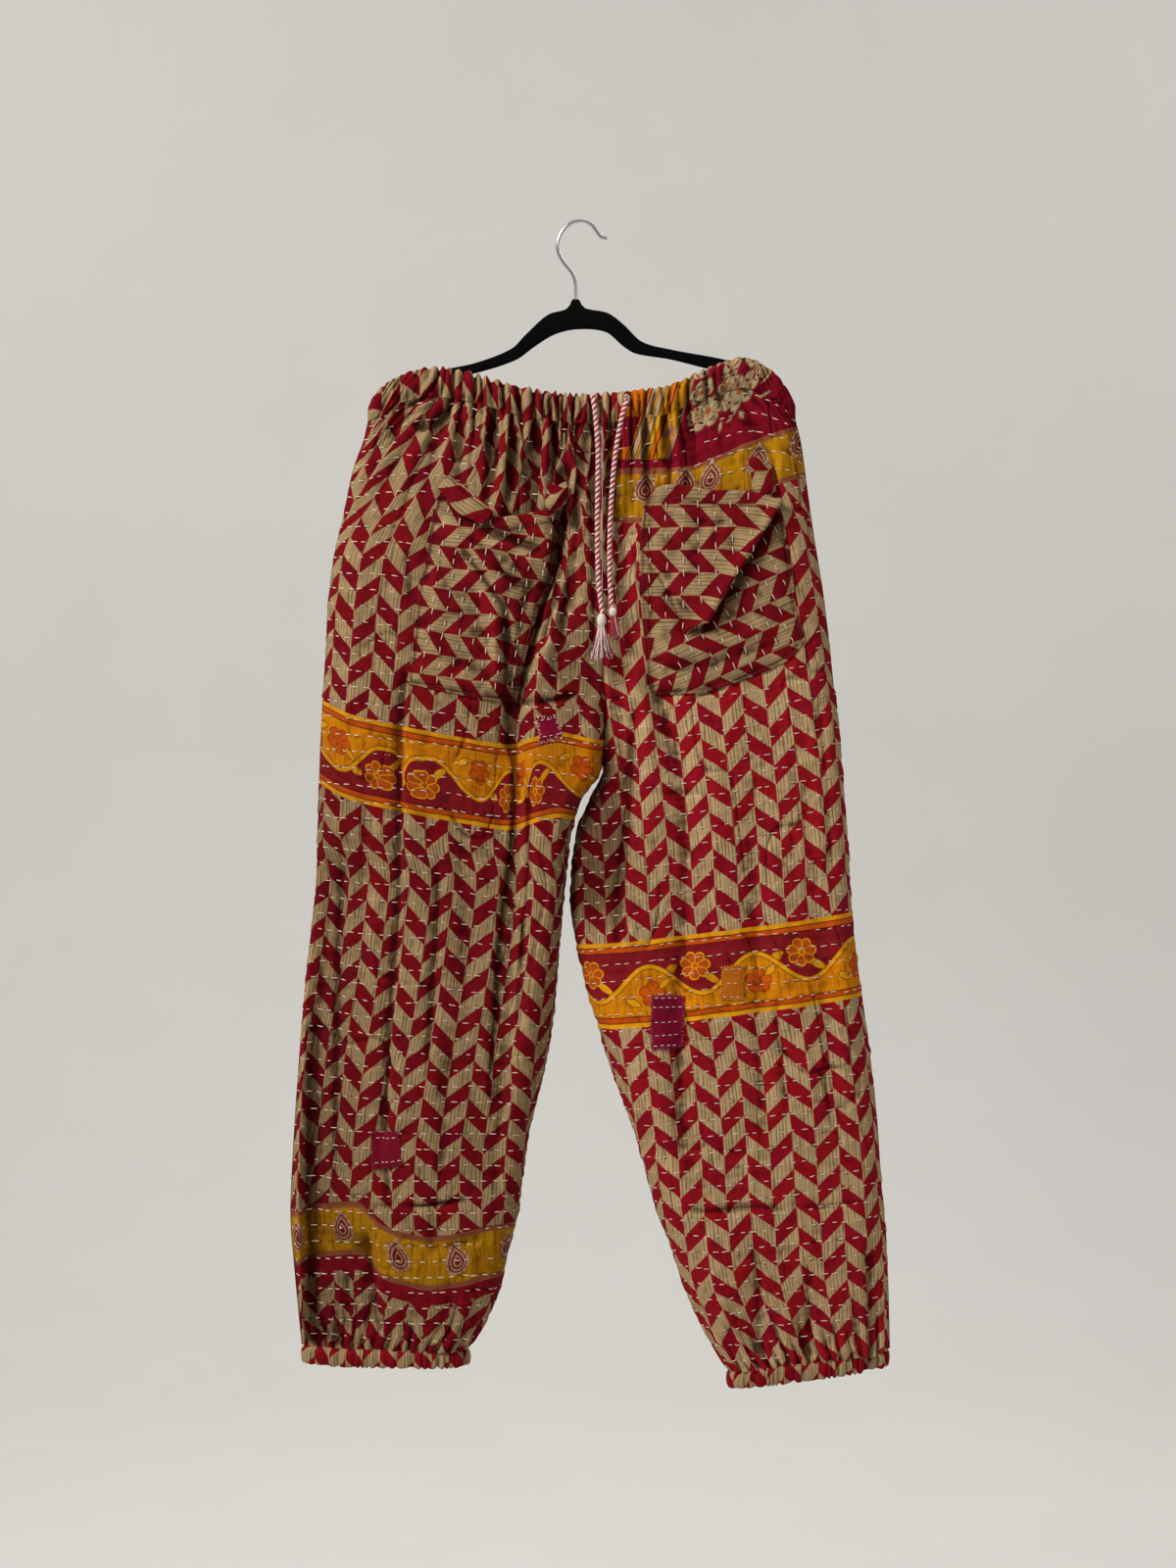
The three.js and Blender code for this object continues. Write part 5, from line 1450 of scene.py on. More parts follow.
# ---------------------------------------------------------------- cuffs
def cuff(leg, name, mat, seed):
    out_x, out_z, in_x, in_z, drop = leg.cuff
    mid, half_w = (out_x + in_x) / 2, abs(out_x - in_x) / 2 - 1
    depth = float(read(DEPTH, (out_z + in_z) / 2, 1))
    n = 520
    a = np.arange(n) / n * 2 * PI
    prof = table([  # turn, outward, drop share
        [0, -2.6, -0.18], [1, -1.6, -0.04], [2, 0.2, 0.10], [3, 1.4, 0.30], [4, 1.8, 0.52], [5, 1.3, 0.74],
        [6, 0.2, 0.92], [7, -1.2, 1.02], [8, -2.6, 1.0], [9, -3.8, 0.86], [10, -4.2, 0.6], [11, -4.2, 0.3],
        [12, -4.0, 0.0],
    ])
    t = np.linspace(0, 12, 37)
    outw, hgt = read(prof, t, 1), read(prof, t, 2)
    outw = np.where(outw > 0, outw * 0.35, outw)
    cx, cy = np.cos(a), np.sin(a)
    # even steps of angle crowd the ends of the flattened ring, so gathers are counted along its length
    sx = np.sign(cx) * np.abs(cx) ** 0.72
    sy = np.sign(cy) * np.abs(cy) ** 0.72
    ring = np.stack([half_w * sx, depth * sy], 1)
    seg = np.linalg.norm(np.diff(np.vstack([ring, ring[:1]]), axis=0), axis=1)
    L = np.concatenate([[0], np.cumsum(seg)])
    around = L[:-1]
    total = L[-1]
    count = round(total / 9.8)
    p = around / total * count + 0.85 * np.sin(2 * PI * around / total * 5 + seed) + 0.34 * np.sin(2 * PI * around / total * 13 + 2 * seed)
    m = np.floor(p) % count
    ridge = np.abs(np.cos(PI * p)) ** 0.75
    amp = 3.0 * (0.40 + 1.0 * hash01(m, seed))
    inside = smooth(8.0, 9.5, t)
    wave = (ridge - 0.5)[None, :] * amp[None, :] * (1 - 0.5 * inside)[:, None] * (0.8 + 0.35 * np.sin(PI * np.clip(hgt, 0, 1)))[:, None]
    grow = outw[:, None] + wave
    nx, ny = np.cos(a), np.sin(a)
    x = mid + half_w * sx[None, :] + grow * (sx * np.abs(cx) ** 0.3)[None, :]
    y = depth * sy[None, :] + grow * (sy)[None, :]
    f = (x - out_x) / (in_x - out_x)
    scallop = (ridge - 1.0)[None, :] * 2.4 * smooth(0.5, 1.0, hgt)[:, None] * (0.4 + hash01(m, seed + 3))[None, :]
    z = out_z + (in_z - out_z) * f + 0.4 - drop * hgt[:, None] - scallop
    pts = np.stack([x, y, z], -1)
    section = np.concatenate([[0], np.cumsum(np.hypot(np.diff(outw), np.diff(hgt * drop)))])
    faces = grid_faces(len(t), n, wrap_cols=True)
    i, j = np.meshgrid(np.arange(len(t) - 1), np.arange(n), indexing="ij")
    a0, a1 = L[j], L[j + 1]
    corner = lambda aa, ii: np.stack([aa * 1.35, section[ii]], -1)
    uv = np.stack([corner(a0, i), corner(a0, i + 1), corner(a1, i + 1), corner(a1, i)], axis=2).reshape(-1, 2) * 0.001
    bake = np.stack([0.002 + 0.996 * uv[:, 0] / uv[:, 0].max(), 0.002 + 0.996 * uv[:, 1] / uv[:, 1].max()], 1)
    # painted shade in the gaps between the gathers
    hollow = np.clip((0.5 - ridge)[None, :] * 1.5 * (1 - inside)[:, None], 0, 1) * np.ones((len(t), 1))
    rel = np.stack([hollow[i, j % n], 0 * hollow[i, j % n]], -1)
    rel = np.stack([rel, np.stack([hollow[i + 1, j % n], 0 * hollow[i, j]], -1),
                    np.stack([hollow[i + 1, (j + 1) % n], 0 * hollow[i, j]], -1),
                    np.stack([hollow[i, (j + 1) % n], 0 * hollow[i, j]], -1)], axis=2).reshape(-1, 2)
    return make(name, pts.reshape(-1, 3), faces, uvs={"cloth": uv, "OFBake": bake, "relief": rel}, mats=[mat])


cuff_r = cuff(RIGHT, "cloth_cuff_right", MAT_CHEVRON_B, 3.0)
cuff_l = cuff(LEFT, "cloth_cuff_left", MAT_CHEVRON_B, 5.0)
for ob, node in ((cuff_r, "cuff_right"), (cuff_l, "cuff_left")):
    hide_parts(node)
    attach(ob, "root")


# ---------------------------------------------------------------- the fronts as a height map
class Front:
    """How far forward the front of the garment reaches at (x, z)."""

    def __init__(self, grids, step=1.5):
        self.step = step
        self.x0, self.z0 = -320.0, -1180.0
        self.nx, self.nz = int(640 / step), int(1060 / step)
        h = np.full((self.nz, self.nx), np.nan)
        for g in grids:
            # split each quad so that no cell is missed
            P = g
            mid = 0.25 * (P[:-1, :-1] + P[1:, :-1] + P[:-1, 1:] + P[1:, 1:])
            e1 = 0.5 * (P[:, :-1] + P[:, 1:])
            e2 = 0.5 * (P[:-1] + P[1:])
            q = np.vstack([k.reshape(-1, 3) for k in (P, mid, e1, e2)])
            i = np.clip(np.round((q[:, 2] - self.z0) / step).astype(int), 0, self.nz - 1)
            j = np.clip(np.round((q[:, 0] - self.x0) / step).astype(int), 0, self.nx - 1)
            order = np.argsort(-q[:, 1])
            cur = np.full_like(h, np.nan)
            cur[i[order], j[order]] = q[order, 1]
            h = np.fmin(h, cur)
        for _ in range(6):
            hole = np.isnan(h)
            if not hole.any():
                break
            s = np.zeros_like(h)
            w = np.zeros_like(h)
            for a, b in ((0, 1), (0, -1), (1, 0), (-1, 0)):
                k = np.roll(h, (a, b), (0, 1))
                ok = ~np.isnan(k)
                s[ok] += k[ok]
                w[ok] += 1
            fill = hole & (w > 0)
            h[fill] = s[fill] / w[fill]
        h[np.isnan(h)] = 0.0
        self.h = h

    def at(self, x, z, h=None):
        h = self.h if h is None else h
        fx = np.clip((x - self.x0) / self.step, 0, self.nx - 1.001)
        fz = np.clip((z - self.z0) / self.step, 0, self.nz - 1.001)
        i, j = fz.astype(int), fx.astype(int)
        a, b = fz - i, fx - j
        return (h[i, j] * (1 - b) + h[i, j + 1] * b) * (1 - a) + (h[i + 1, j] * (1 - b) + h[i + 1, j + 1] * b) * a

    def closed(self, radius):
        """The furthest forward within `radius`, then softened."""
        k = max(int(round(radius / self.step)), 1)
        h = self.h
        for axis in (0, 1):
            best = h
            for s in range(1, k + 1):
                best = np.minimum(best, np.minimum(np.roll(h, s, axis), np.roll(h, -s, axis)))
            h = best
        return self.soft(h, radius * 0.7)

    def soft(self, h, radius):
        k = max(int(round(radius / self.step)), 1)
        w = np.exp(-((np.arange(-2 * k, 2 * k + 1) / k) ** 2))
        w /= w.sum()
        for axis in (0, 1):
            acc = np.zeros_like(h)
            for s, ww in zip(range(-2 * k, 2 * k + 1), w):
                acc += np.roll(h, s, axis) * ww
            h = acc
        return h


front = Front([FR.P, FL.P])
front_closed = front.closed(14.0)
front_near = front.closed(3.0)


# ---------------------------------------------------------------- pockets
def polyline(points, n):
    """n+1 points evenly along a smooth line through points (x, z)."""
    p = dense_path(np.array([(a, c, 0.0) for a, c in points]), 1.0)[0][:, :2]
    s = np.concatenate([[0], np.cumsum(np.linalg.norm(np.diff(p, axis=0), axis=1))])
    t = np.linspace(0, s[-1], n + 1)
    return np.stack([np.interp(t, s, p[:, 0]), np.interp(t, s, p[:, 1])], 1)


def coons(top, right, bottom, left, n, m, ease=0.35):
    """A grid of (x, z) filling four edges: rows run from the top down, columns from left to right.
    Points crowd a little towards the edges, where the stitching is."""
    e = lambda k: (lambda t: t - ease * np.sin(2 * PI * t) / (2 * PI))(np.linspace(0, 1, k + 1))
    a, bb = e(m), e(n)
    pick = lambda line, t: np.stack([np.interp(t, np.linspace(0, 1, len(line)), line[:, k]) for k in (0, 1)], 1)
    T, B = pick(polyline(top, 200), a), pick(polyline(bottom, 200), a)
    L, R = pick(polyline(left, 200), bb), pick(polyline(right, 200), bb)
    s, t = bb[:, None, None], a[None, :, None]
    c00, c01, c10, c11 = T[0], T[-1], B[0], B[-1]
    grid = (1 - s) * T[None] + s * B[None] + (1 - t) * L[:, None] + t * R[:, None]
    grid -= (1 - s) * (1 - t) * c00 + (1 - s) * t * c01 + s * (1 - t) * c10 + s * t * c11
    return grid[..., 0], grid[..., 1], np.repeat(bb[:, None], m + 1, 1), np.repeat(a[None, :], n + 1, 0)


def closed_sheet(name, P, N, thick, mats, uv_u, uv_v, flat=None, bake=None, shade=None, lit=None):
    """A cloth with both faces and its edges, from the grid of its outer face."""
    n, m = P.shape[:2]
    back = P - N * thick
    verts = np.concatenate([P.reshape(-1, 3), back.reshape(-1, 3)])
    f = grid_faces(n, m)
    g = f[:, ::-1] + n * m
    idx = np.arange(n * m).reshape(n, m)
    ring = np.concatenate([idx[0, :-1], idx[:-1, -1], idx[-1, :0:-1], idx[:0:-1, 0]])
    nxt = np.roll(ring, -1)
    w = np.stack([ring, nxt, nxt + n * m, ring + n * m], 1)
    faces = np.concatenate([f, g, w])
    # the winding that makes the outer face look along N
    a, b3, c3 = verts[f[0, 0]], verts[f[0, 1]], verts[f[0, 2]]
    if np.dot(np.cross(b3 - a, c3 - a), N[0, 0]) < 0:
        faces = faces[:, ::-1]
    uvf = np.stack([uv_u.ravel(), uv_v.ravel()], 1) * 0.001
    rel = relief_uv(P, -1, (3, 3), (8, 8), 1.9) if min(n, m) > 40 else np.zeros((n * m, 2))
    if shade is not None:
        rel[:, 0] = np.clip(rel[:, 0] + shade.ravel(), 0, 1)
    if lit is not None:
        rel[:, 1] = np.clip(rel[:, 1] + lit.ravel(), 0, 2)
    uv = {"cloth": np.concatenate([uvf, uvf + 0.0]), "relief": np.concatenate([rel, rel * 0.0])}
    bu, bv = normalise(np.arange(m))[None, :].repeat(n, 0), normalise(np.arange(n))[:, None].repeat(m, 1)
    front_uv = np.stack([0.004 + 0.488 * bu.ravel(), 0.004 + 0.99 * (1 - bv.ravel())], 1)
    back_uv = np.stack([0.508 + 0.488 * bu.ravel(), 0.004 + 0.99 * (1 - bv.ravel())], 1)
    uv["OFBake"] = np.concatenate([front_uv, back_uv])
    return make(name, verts, faces, uvs=uv, mats=mats), uvf


def line_distance(line, x, z):
    """Signed distance from a line of (x, z) points, + on its left going along it, and how far along."""
    q = np.asarray(line, dtype=float)
    best = np.full(x.shape, 1e9)
    side = np.zeros(x.shape)
    run = np.zeros(x.shape)
    at = 0.0
    for (x0, z0), (x1, z1) in zip(q[:-1], q[1:]):
        L = math.hypot(x1 - x0, z1 - z0)
        tx, tz = (x1 - x0) / L, (z1 - z0) / L
        t = np.clip((x - x0) * tx + (z - z0) * tz, 0, L)
        dx, dz = x - (x0 + tx * t), z - (z0 + tz * t)
        d = np.hypot(dx, dz)
        s = np.sign(tx * dz - tz * dx)
        near = d < best
        best = np.where(near, d, best)
        side = np.where(near, s, side)
        run = np.where(near, at + t, run)
        at += L
    return best * np.where(side == 0, 1, side), run, at


def crease(line, x, z, height, half, power=1.5, ends=10.0):
    d, run, length = line_distance(line, x, z)
    d = d + 0.8 * noise(x / 13.0, z / 13.0, 91)
    return height * np.exp(-(np.abs(d) / half) ** power) * smooth(-1, ends, run) * (1 - smooth(length - ends, length + 1, run))


def clear_front(P, gap):
    """Brings points at least `gap` in front of the cloth below."""
    y = front.at(P[..., 0], P[..., 2])
    P[..., 1] = np.minimum(P[..., 1], y - gap)
    return P


POCKETS = {}

# the wearer's left pocket: its free corner hangs forward over a fold from the mouth to the lower left
L_TOP = [(62.4, -277.9), (71.2, -268.1), (80.9, -264.2), (104.3, -266.2), (143.3, -270.1), (178.4, -273.0), (194.0, -275.9)]
L_RIGHT = [(194, -275.9), (199.9, -302.2), (204.8, -330.5), (208.7, -365.6), (212.5, -392.9), (219.4, -416.3)]
L_BOTTOM = [(68.2, -471.9), (83.8, -470.9), (119, -468), (154, -458.2), (188.2, -444.6), (207.7, -432.9), (219.4, -416.3)]
L_LEFT = [(62.4, -277.9), (58.5, -313.9), (57.5, -365.6), (62.4, -417.3), (64.3, -457.3), (68.2, -471.9)]
L_FOLD = [(212, -243), (201.8, -259.3), (192.1, -276.9), (176.5, -303.2), (154, -339.3), (129.7, -379.3), (119, -398.8), (101.4, -409.5), (88.7, -411.4)]


def pocket_left():
    n, m = 104, 104
    x, z, s, t = coons(L_TOP, L_RIGHT, L_BOTTOM, L_LEFT, n, m, 0.30)
    x0, z0 = x.copy(), z.copy()
    d, run, length = line_distance(L_FOLD, x, z)  # the line goes down and left, so its left is the lower right
    hang = -d  # positive on the upper left, the part that hangs over
    fade = smooth(0, 30, run - 12) * (1 - smooth(length - 46, length - 6, run))
    # how far from the sewn left and bottom edges
    dl = np.abs(line_distance(L_LEFT, x0, z0)[0])
    db = np.abs(line_distance(L_BOTTOM, x0, z0)[0])
    dr = np.abs(line_distance(L_RIGHT, x0, z0)[0])
    dt = np.abs(line_distance(L_TOP, x0, z0)[0])
    sewn = np.minimum(dl, db)
    free = smooth(4, 55, sewn)
    # the hanging part slides over the fold towards the lower right, and stands forward
    push = 8.5 * np.exp(-(np.maximum(hang - 1.5, 0) / 7.0) ** 1.2) * smooth(-1.2, 1.5, hang) * fade
    nx, nz = 0.83, -0.55
    x = x + push * nx
    z = z + push * nz
    yc = front.at(x, z, front_closed)
    yn = front.at(x, z, front_near)
    base = yn - 0.9 + (yc - 2.6 - (yn - 0.9)) * smooth(1, 16, np.minimum(sewn, dr))
    y = base
    lift = 10.5 * np.exp(-(np.maximum(hang, 0) / 46.0) ** 1.1) * smooth(-2.4, 2.2, hang) * fade * (0.25 + 0.75 * free)
    curl = 1.6 * np.exp(-((hang - 3) / 3.2) ** 2) * fade
    y = y - lift - curl
    # under the fold the cloth goes back to the leg
    y = y + 2.2 * np.exp(-((hang + 5) / 7.0) ** 2) * fade
    # soft folds and slack
    y = y - crease([(96, -276), (100, -330), (92, -398)], x0, z0, 2.6, 9, 2.0, 24)
    y = y - crease([(128, -280), (120, -330), (104, -384)], x0, z0, 2.0, 7, 2.0, 22)
    y = y - crease([(150, -282), (132, -332), (113, -372)], x0, z0, 1.6, 6, 2.0, 22)
    y = y + crease([(82, -292), (110, -300), (150, -303)], x0, z0, 1.0, 3, 1.5, 12)
    y = y - crease([(74, -428), (120, -424), (196, -396)], x0, z0, 2.4, 10, 2.0, 26)
    y = y + crease([(76, -446), (130, -441), (200, -414)], x0, z0, 1.6, 6, 1.8, 20)
    y = y + crease([(66, -300), (70, -350), (67, -420)], x0, z0, 1.2, 3.5, 1.5, 12)
    y = y - 1.2 * noise(x0 / 26.0, z0 / 26.0, 71) * free - 0.7 * noise(x0 / 9.0, z0 / 9.0, 72) - 0.3 * noise(x0 / 4.6, z0 / 4.6, 73)
    # the mouth stands a little off
    mouth = np.exp(-dt / 16.0) * smooth(4, 26, dl) * smooth(2, 20, dr)
    y = y - 2.6 * mouth
    z = z - 1.4 * np.exp(-dt / 5.0) * np.sin(x0 / 9.0) * smooth(0, 14, dl)
    # print: rows lie across the pocket, so u runs down it
    u = -(z0 + 283.7) + 22.5
    v = x0 - 60.0
    turn = math.radians(25) * smooth(2, -3, hang) * smooth(0, 10, run - 6)
    px, pz = 101.4, -409.5
    ca, sa = np.cos(turn), np.sin(turn)
    xr = px + (x0 - px) * ca + (z0 - pz) * sa
    zr = pz - (x0 - px) * sa + (z0 - pz) * ca
    u = -(zr + 283.7) + 22.5
    v = xr - 60.0
    P = np.stack([x, y, z], -1)
    # rows of stitching across the pocket, as on the legs but running down
    q = quilt_row(u * 1.0, v, 75)
    N = normals_of(P)
    if N[n // 2, m // 2, 1] > 0:
        N = -N
    groove = -0.75 * np.exp(-((sewn - 3.2) / 1.5) ** 2) - 0.7 * np.exp(-((dt - 14.0) / 1.6) ** 2) * smooth(6, 20, dl)
    edge_r = -0.75 * np.exp(-((dr - 3.2) / 1.5) ** 2)
    P = P + N * (groove + edge_r - 0.32 * bell(q, 1.7))[..., None]
    P = clear_front(P, 0.9)
    N = normals_of(P)
    if N[n // 2, m // 2, 1] > 0:
        N = -N
    POCKETS["left"] = SimpleNamespace(P=P, N=N, u=u, v=v, x0=x0, z0=z0, sewn=np.minimum(sewn, dr), dt=dt, leg=LEFT)
    under = np.clip(-hang, 0, None)
    shade = (1.0 * np.exp(-(under / 13.0) ** 1.4) + 0.20 * smooth(64, 22, under)) * smooth(0.5, -1.5, hang) * fade
    shade = shade + 0.30 * np.exp(-np.abs(dl - 2.6) / 1.4) + 0.3 * np.exp(-np.abs(dr - 2.6) / 1.4) + 0.3 * np.exp(-np.abs(db - 2.6) / 1.4)
    lit = 1.3 * np.exp(-((hang - 1.6) / 1.2) ** 2) * fade + 1.2 * np.exp(-dt / 1.3)
    ob, _ = closed_sheet("cloth_pocket_left", P, N, 1.3, [MAT_POCKET_L], u, v, shade=shade, lit=lit)
    return ob


# the wearer's right pocket: pulled narrow by the tucks beside it, its corner turned down
R_TOP = [(-142.3, -276.9), (-127.7, -270.1), (-110.2, -279.8), (-93.6, -293.5), (-84.8, -296.4), (-61.4, -293.5), (-37, -288.6), (-18.5, -278.8)]
R_RIGHT = [(-18.5, -278.8), (-22.4, -309.1), (-29.2, -357.8), (-40, -381.2), (-47.8, -410.5), (-56.5, -440.7), (-64.3, -477.8)]
R_BOTTOM = [(-170.6, -459.2), (-146.2, -465.1), (-118, -470.9), (-90.7, -475.8), (-64.3, -477.8)]
R_LEFT = [(-142.3, -276.9), (-149.2, -307.1), (-153.1, -340.3), (-158.9, -360.8), (-161.8, -390), (-164.8, -426.1), (-170.6, -459.2)]


def pocket_right():
    n, m = 104, 84
    x, z, s, t = coons(R_TOP, R_RIGHT, R_BOTTOM, R_LEFT, n, m, 0.30)
    dl = np.abs(line_distance(R_LEFT, x, z)[0])
    db = np.abs(line_distance(R_BOTTOM, x, z)[0])
    dr = np.abs(line_distance(R_RIGHT, x, z)[0])
    dt = np.abs(line_distance(R_TOP, x, z)[0])
    sewn = np.minimum(np.minimum(dl, db), dr)
    free = smooth(3, 40, sewn)
    yc = front.at(x, z, front_closed)
    yn = front.at(x, z, front_near)
    y = yn - 0.9 + (yc - 2.4 - (yn - 0.9)) * smooth(1, 16, sewn)
    # from the right the pocket dives behind the gathered folds of the leg's middle
    y = y - 2.4 * np.exp(-dt / 18.0) * smooth(3, 20, dl) * smooth(3, 20, dr)
    y = y - crease([(-140, -292), (-112, -330), (-92, -364), (-84, -410), (-84, -462)], x, z, 6.5, 12, 2.0, 26)
    y = y + crease([(-100, -306), (-56, -322), (-34, -330)], x, z, 5.0, 5.0, 1.4, 14)
    y = y - crease([(-96, -318), (-60, -336), (-40, -346)], x, z, 4.0, 7, 2.0, 14)
    y = y + crease([(-120, -322), (-96, -356), (-76, -386), (-76, -424)], x, z, 5.6, 5.0, 1.4, 16)
    y = y + crease([(-72, -388), (-73, -440), (-76, -480)], x, z, 5.4, 4.0, 1.3, 10)
    y = y - crease([(-83, -392), (-84, -440), (-85, -474)], x, z, 3.0, 5.0, 2.0, 12)
    y = y + crease([(-48, -352), (-58, -392), (-64, -440)], x, z, 3.6, 5.0, 1.5, 14)
    y = y - crease([(-150, -400), (-120, -412), (-96, -430)], x, z, 1.8, 7, 2.0, 16)
    y = y + crease([(-150, -430), (-120, -440), (-92, -452)], x, z, 1.2, 5, 1.8, 14)
    y = y - crease([(-146, -330), (-142, -380), (-150, -440)], x, z, 1.8, 6, 2.0, 20)
    y = y - crease([(-118, -304), (-90, -322), (-62, -326)], x, z, 3.4, 5, 1.8, 12)
    y = y + crease([(-88, -344), (-64, -358), (-44, -372)], x, z, 2.6, 4, 1.4, 12)
    y = y - crease([(-92, -388), (-66, -396), (-52, -400)], x, z, 2.6, 5, 1.8, 12)
    y = y + crease([(-96, -404), (-70, -420), (-62, -426)], x, z, 2.2, 4, 1.4, 12)
    y = y - 1.3 * noise(x / 22.0, z / 26.0, 81) * free - 0.8 * noise(x / 8.5, z / 9.0, 82) - 0.35 * noise(x / 4.6, z / 4.6, 83)
    ca, sa = math.cos(math.radians(-8.5)), math.sin(math.radians(-8.5))
    dx, dz = x + 150.0, z + 283.0
    u = -(-dx * sa + dz * ca) + 22.5
    v = dx * ca + dz * sa
    # rows bend a little at the diagonal fold
    u = u + 3.0 * np.exp(-((x + 86) / 16.0) ** 2) + 1.5 * noise(x / 40.0, z / 40.0, 84)
    u = 22.5 + (u - 22.5) * 1.054 + 5.1
    v = v * 1.085 + 18.5
    P = np.stack([x, y, z], -1)
    N = normals_of(P)
    if N[n // 2, m // 2, 1] > 0:
        N = -N
    groove = -0.75 * np.exp(-((sewn - 3.2) / 1.5) ** 2) - 0.7 * np.exp(-((dt - 13.0) / 1.6) ** 2) * smooth(6, 20, dl)
    q = quilt_row(u, v, 85)
    P = P + N * (groove - 0.32 * bell(q, 1.7))[..., None]
    P = clear_front(P, 0.9)
    N = normals_of(P)
    if N[n // 2, m // 2, 1] > 0:
        N = -N
    POCKETS["right"] = SimpleNamespace(P=P, N=N, u=u, v=v, x0=x, z0=z, sewn=sewn, dt=dt, leg=RIGHT)
    shade = 0.34 * np.exp(-np.abs(dr - 4.0) / 14.0) * smooth(-300, -330, z)
    shade = shade + 0.30 * smooth(-90, -60, x) * smooth(-330, -370, z)
    # painted shade under the turned corner and along the sewn edges, and a painted highlight on the rim of the mouth
    df, run, length = line_distance([(-145, -266), (-98, -306), (-84, -297)], x, z)
    fd = np.abs(df)
    under = (z < (-266 - (x + 145) * 0.85)) | (x > -98)
    shade = shade + 1.0 * np.exp(-fd / 5.0) * under * smooth(-2, 6, run) * (1 - smooth(length - 6, length + 2, run))
    shade = shade + 0.30 * np.exp(-np.abs(sewn - 2.6) / 1.4)
    lit = 2.2 * np.exp(-dt / 1.6) * smooth(-104, -92, x)
    shade = shade + 0.55 * np.exp(-((dt - 13.0) / 3.4) ** 2) * smooth(-96, -84, x)
    ob, _ = closed_sheet("cloth_pocket_right", P, N, 1.3, [MAT_POCKET_R], u, v, shade=shade, lit=lit)
    return ob


pock_l, pock_r = pocket_left(), pocket_right()


# the corner of the right pocket's mouth is turned down over it
def flap_right():
    a, b2, c, d = (np.array(k, dtype=float) for k in ((-141.5, -268.0), (-128.0, -254.5), (-84.0, -290.5), (-98.5, -305.5)))
    n, m = 18, 44
    t = np.linspace(0, 1, m + 1)[None, :, None]
    s = np.linspace(0, 1, n + 1)[:, None, None]
    q = (b2 + (c - b2) * t) * (1 - s) + (a + (d - a) * t) * s
    bow = 3.0 * np.sin(PI * t[..., 0]) * (0.2 + 0.8 * s[..., 0])
    x = q[..., 0] - 0.55 * bow
    z = q[..., 1] - 0.83 * bow
    x += 0.9 * np.sin(t[..., 0] * 9.0) * s[..., 0]
    z += 0.8 * np.sin(t[..., 0] * 7.0 + 1) * s[..., 0]
    top = np.minimum(front.at(x, z, front_closed), -24.0)
    pk = POCKETS["right"]
    # height of the pocket under it
    pp = pk.P[::3, ::3].reshape(-1, 3)
    dist = (x[..., None] - pp[:, 0]) ** 2 + (z[..., None] - pp[:, 2]) ** 2
    k = np.argsort(dist, axis=-1)[..., :4]
    near = np.take_along_axis(dist, k, -1)
    w = 1 / (near + 2.0)
    yp = (pp[k, 1] * w).sum(-1) / w.sum(-1)
    yp = np.where(near.min(-1) > 160, top - 2.0, np.minimum(yp, top - 1.0))
    y = yp - 2.6 - 3.2 * np.exp(-((s[..., 0] - 0.10) / 0.22) ** 2) - 1.8 * np.sin(PI * s[..., 0]) - 0.6 * noise(x / 8.0, z / 8.0, 95)
    P = np.stack([x, y, z], -1)
    P = clear_front(P, 2.6)
    N = normals_of(P)
    if N[n // 2, m // 2, 1] > 0:
        N = -N
    u = 43.9 + 17.0 * s[..., 0] + 0 * t[..., 0]
    v = 23.0 + 58 * t[..., 0] + 0 * s[..., 0]
    # a painted highlight over the turned corner, brightest at its folded edge, and a strip of painted shade a little
    # below that edge
    lit = 1.5 * np.exp(-((s[..., 0] - 0.05) / 0.10) ** 2) + 0.55 + 0 * t[..., 0]
    dark = 0.8 * np.exp(-((s[..., 0] - 0.20) / 0.06) ** 2) + 0 * t[..., 0]
    ob, _ = closed_sheet("cloth_pocket_right_turned_corner", P, N, 1.2, [MAT_POCKET_R], u, v, shade=dark, lit=lit)
    return ob


def twist(name, x0, x1, z0, z1, seed, mat, lean):
    """A twisted end of the mouth's hem standing at a pocket's upper corner."""
    n, m = 26, 16
    s = np.linspace(0, 1, n + 1)[:, None]
    t = np.linspace(0, 1, m + 1)[None, :]
    wid = 0.55 + 0.45 * np.sin(PI * (0.15 + 0.7 * s)) + 0.1 * np.sin(9 * s)
    x = x0 + (x1 - x0) * (0.5 + (t - 0.5) * wid) + lean * (s - 0.5)
    z = z1 + (z0 - z1) * s + 2.0 * np.sin(5 * t + seed)
    roll = np.sin(PI * t)
    y = front.at(x, z, front_closed) - 2.0 - 5.0 * roll * (0.5 + 0.5 * np.sin(PI * s)) - 2.0 * np.sin(6.0 * s + 3.0 * t + seed)
    P = np.stack([x, y, z], -1)
    P = clear_front(P, 1.6)
    N = normals_of(P)
    if N[n // 2, m // 2, 1] > 0:
        N = -N
    ob, _ = closed_sheet(name, P, N, 1.2, [mat], 30 + 34 * s + 8 * t, 12 + 30 * t + 0 * s)
    return ob


flap_r = flap_right()
twist_l = twist("cloth_pocket_left_hem_end", 166.0, 190.0, -274.0, -238.0, 1.0, MAT_POCKET_L, 5.0)
twist_r = twist("cloth_pocket_right_hem_end", -35.0, -14.0, -288.0, -262.0, 2.6, MAT_POCKET_R, -3.0)
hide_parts("pocket_left")
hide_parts("pocket_right")
for ob in (pock_l, pock_r, flap_r, twist_l, twist_r):
    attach(ob, "root")


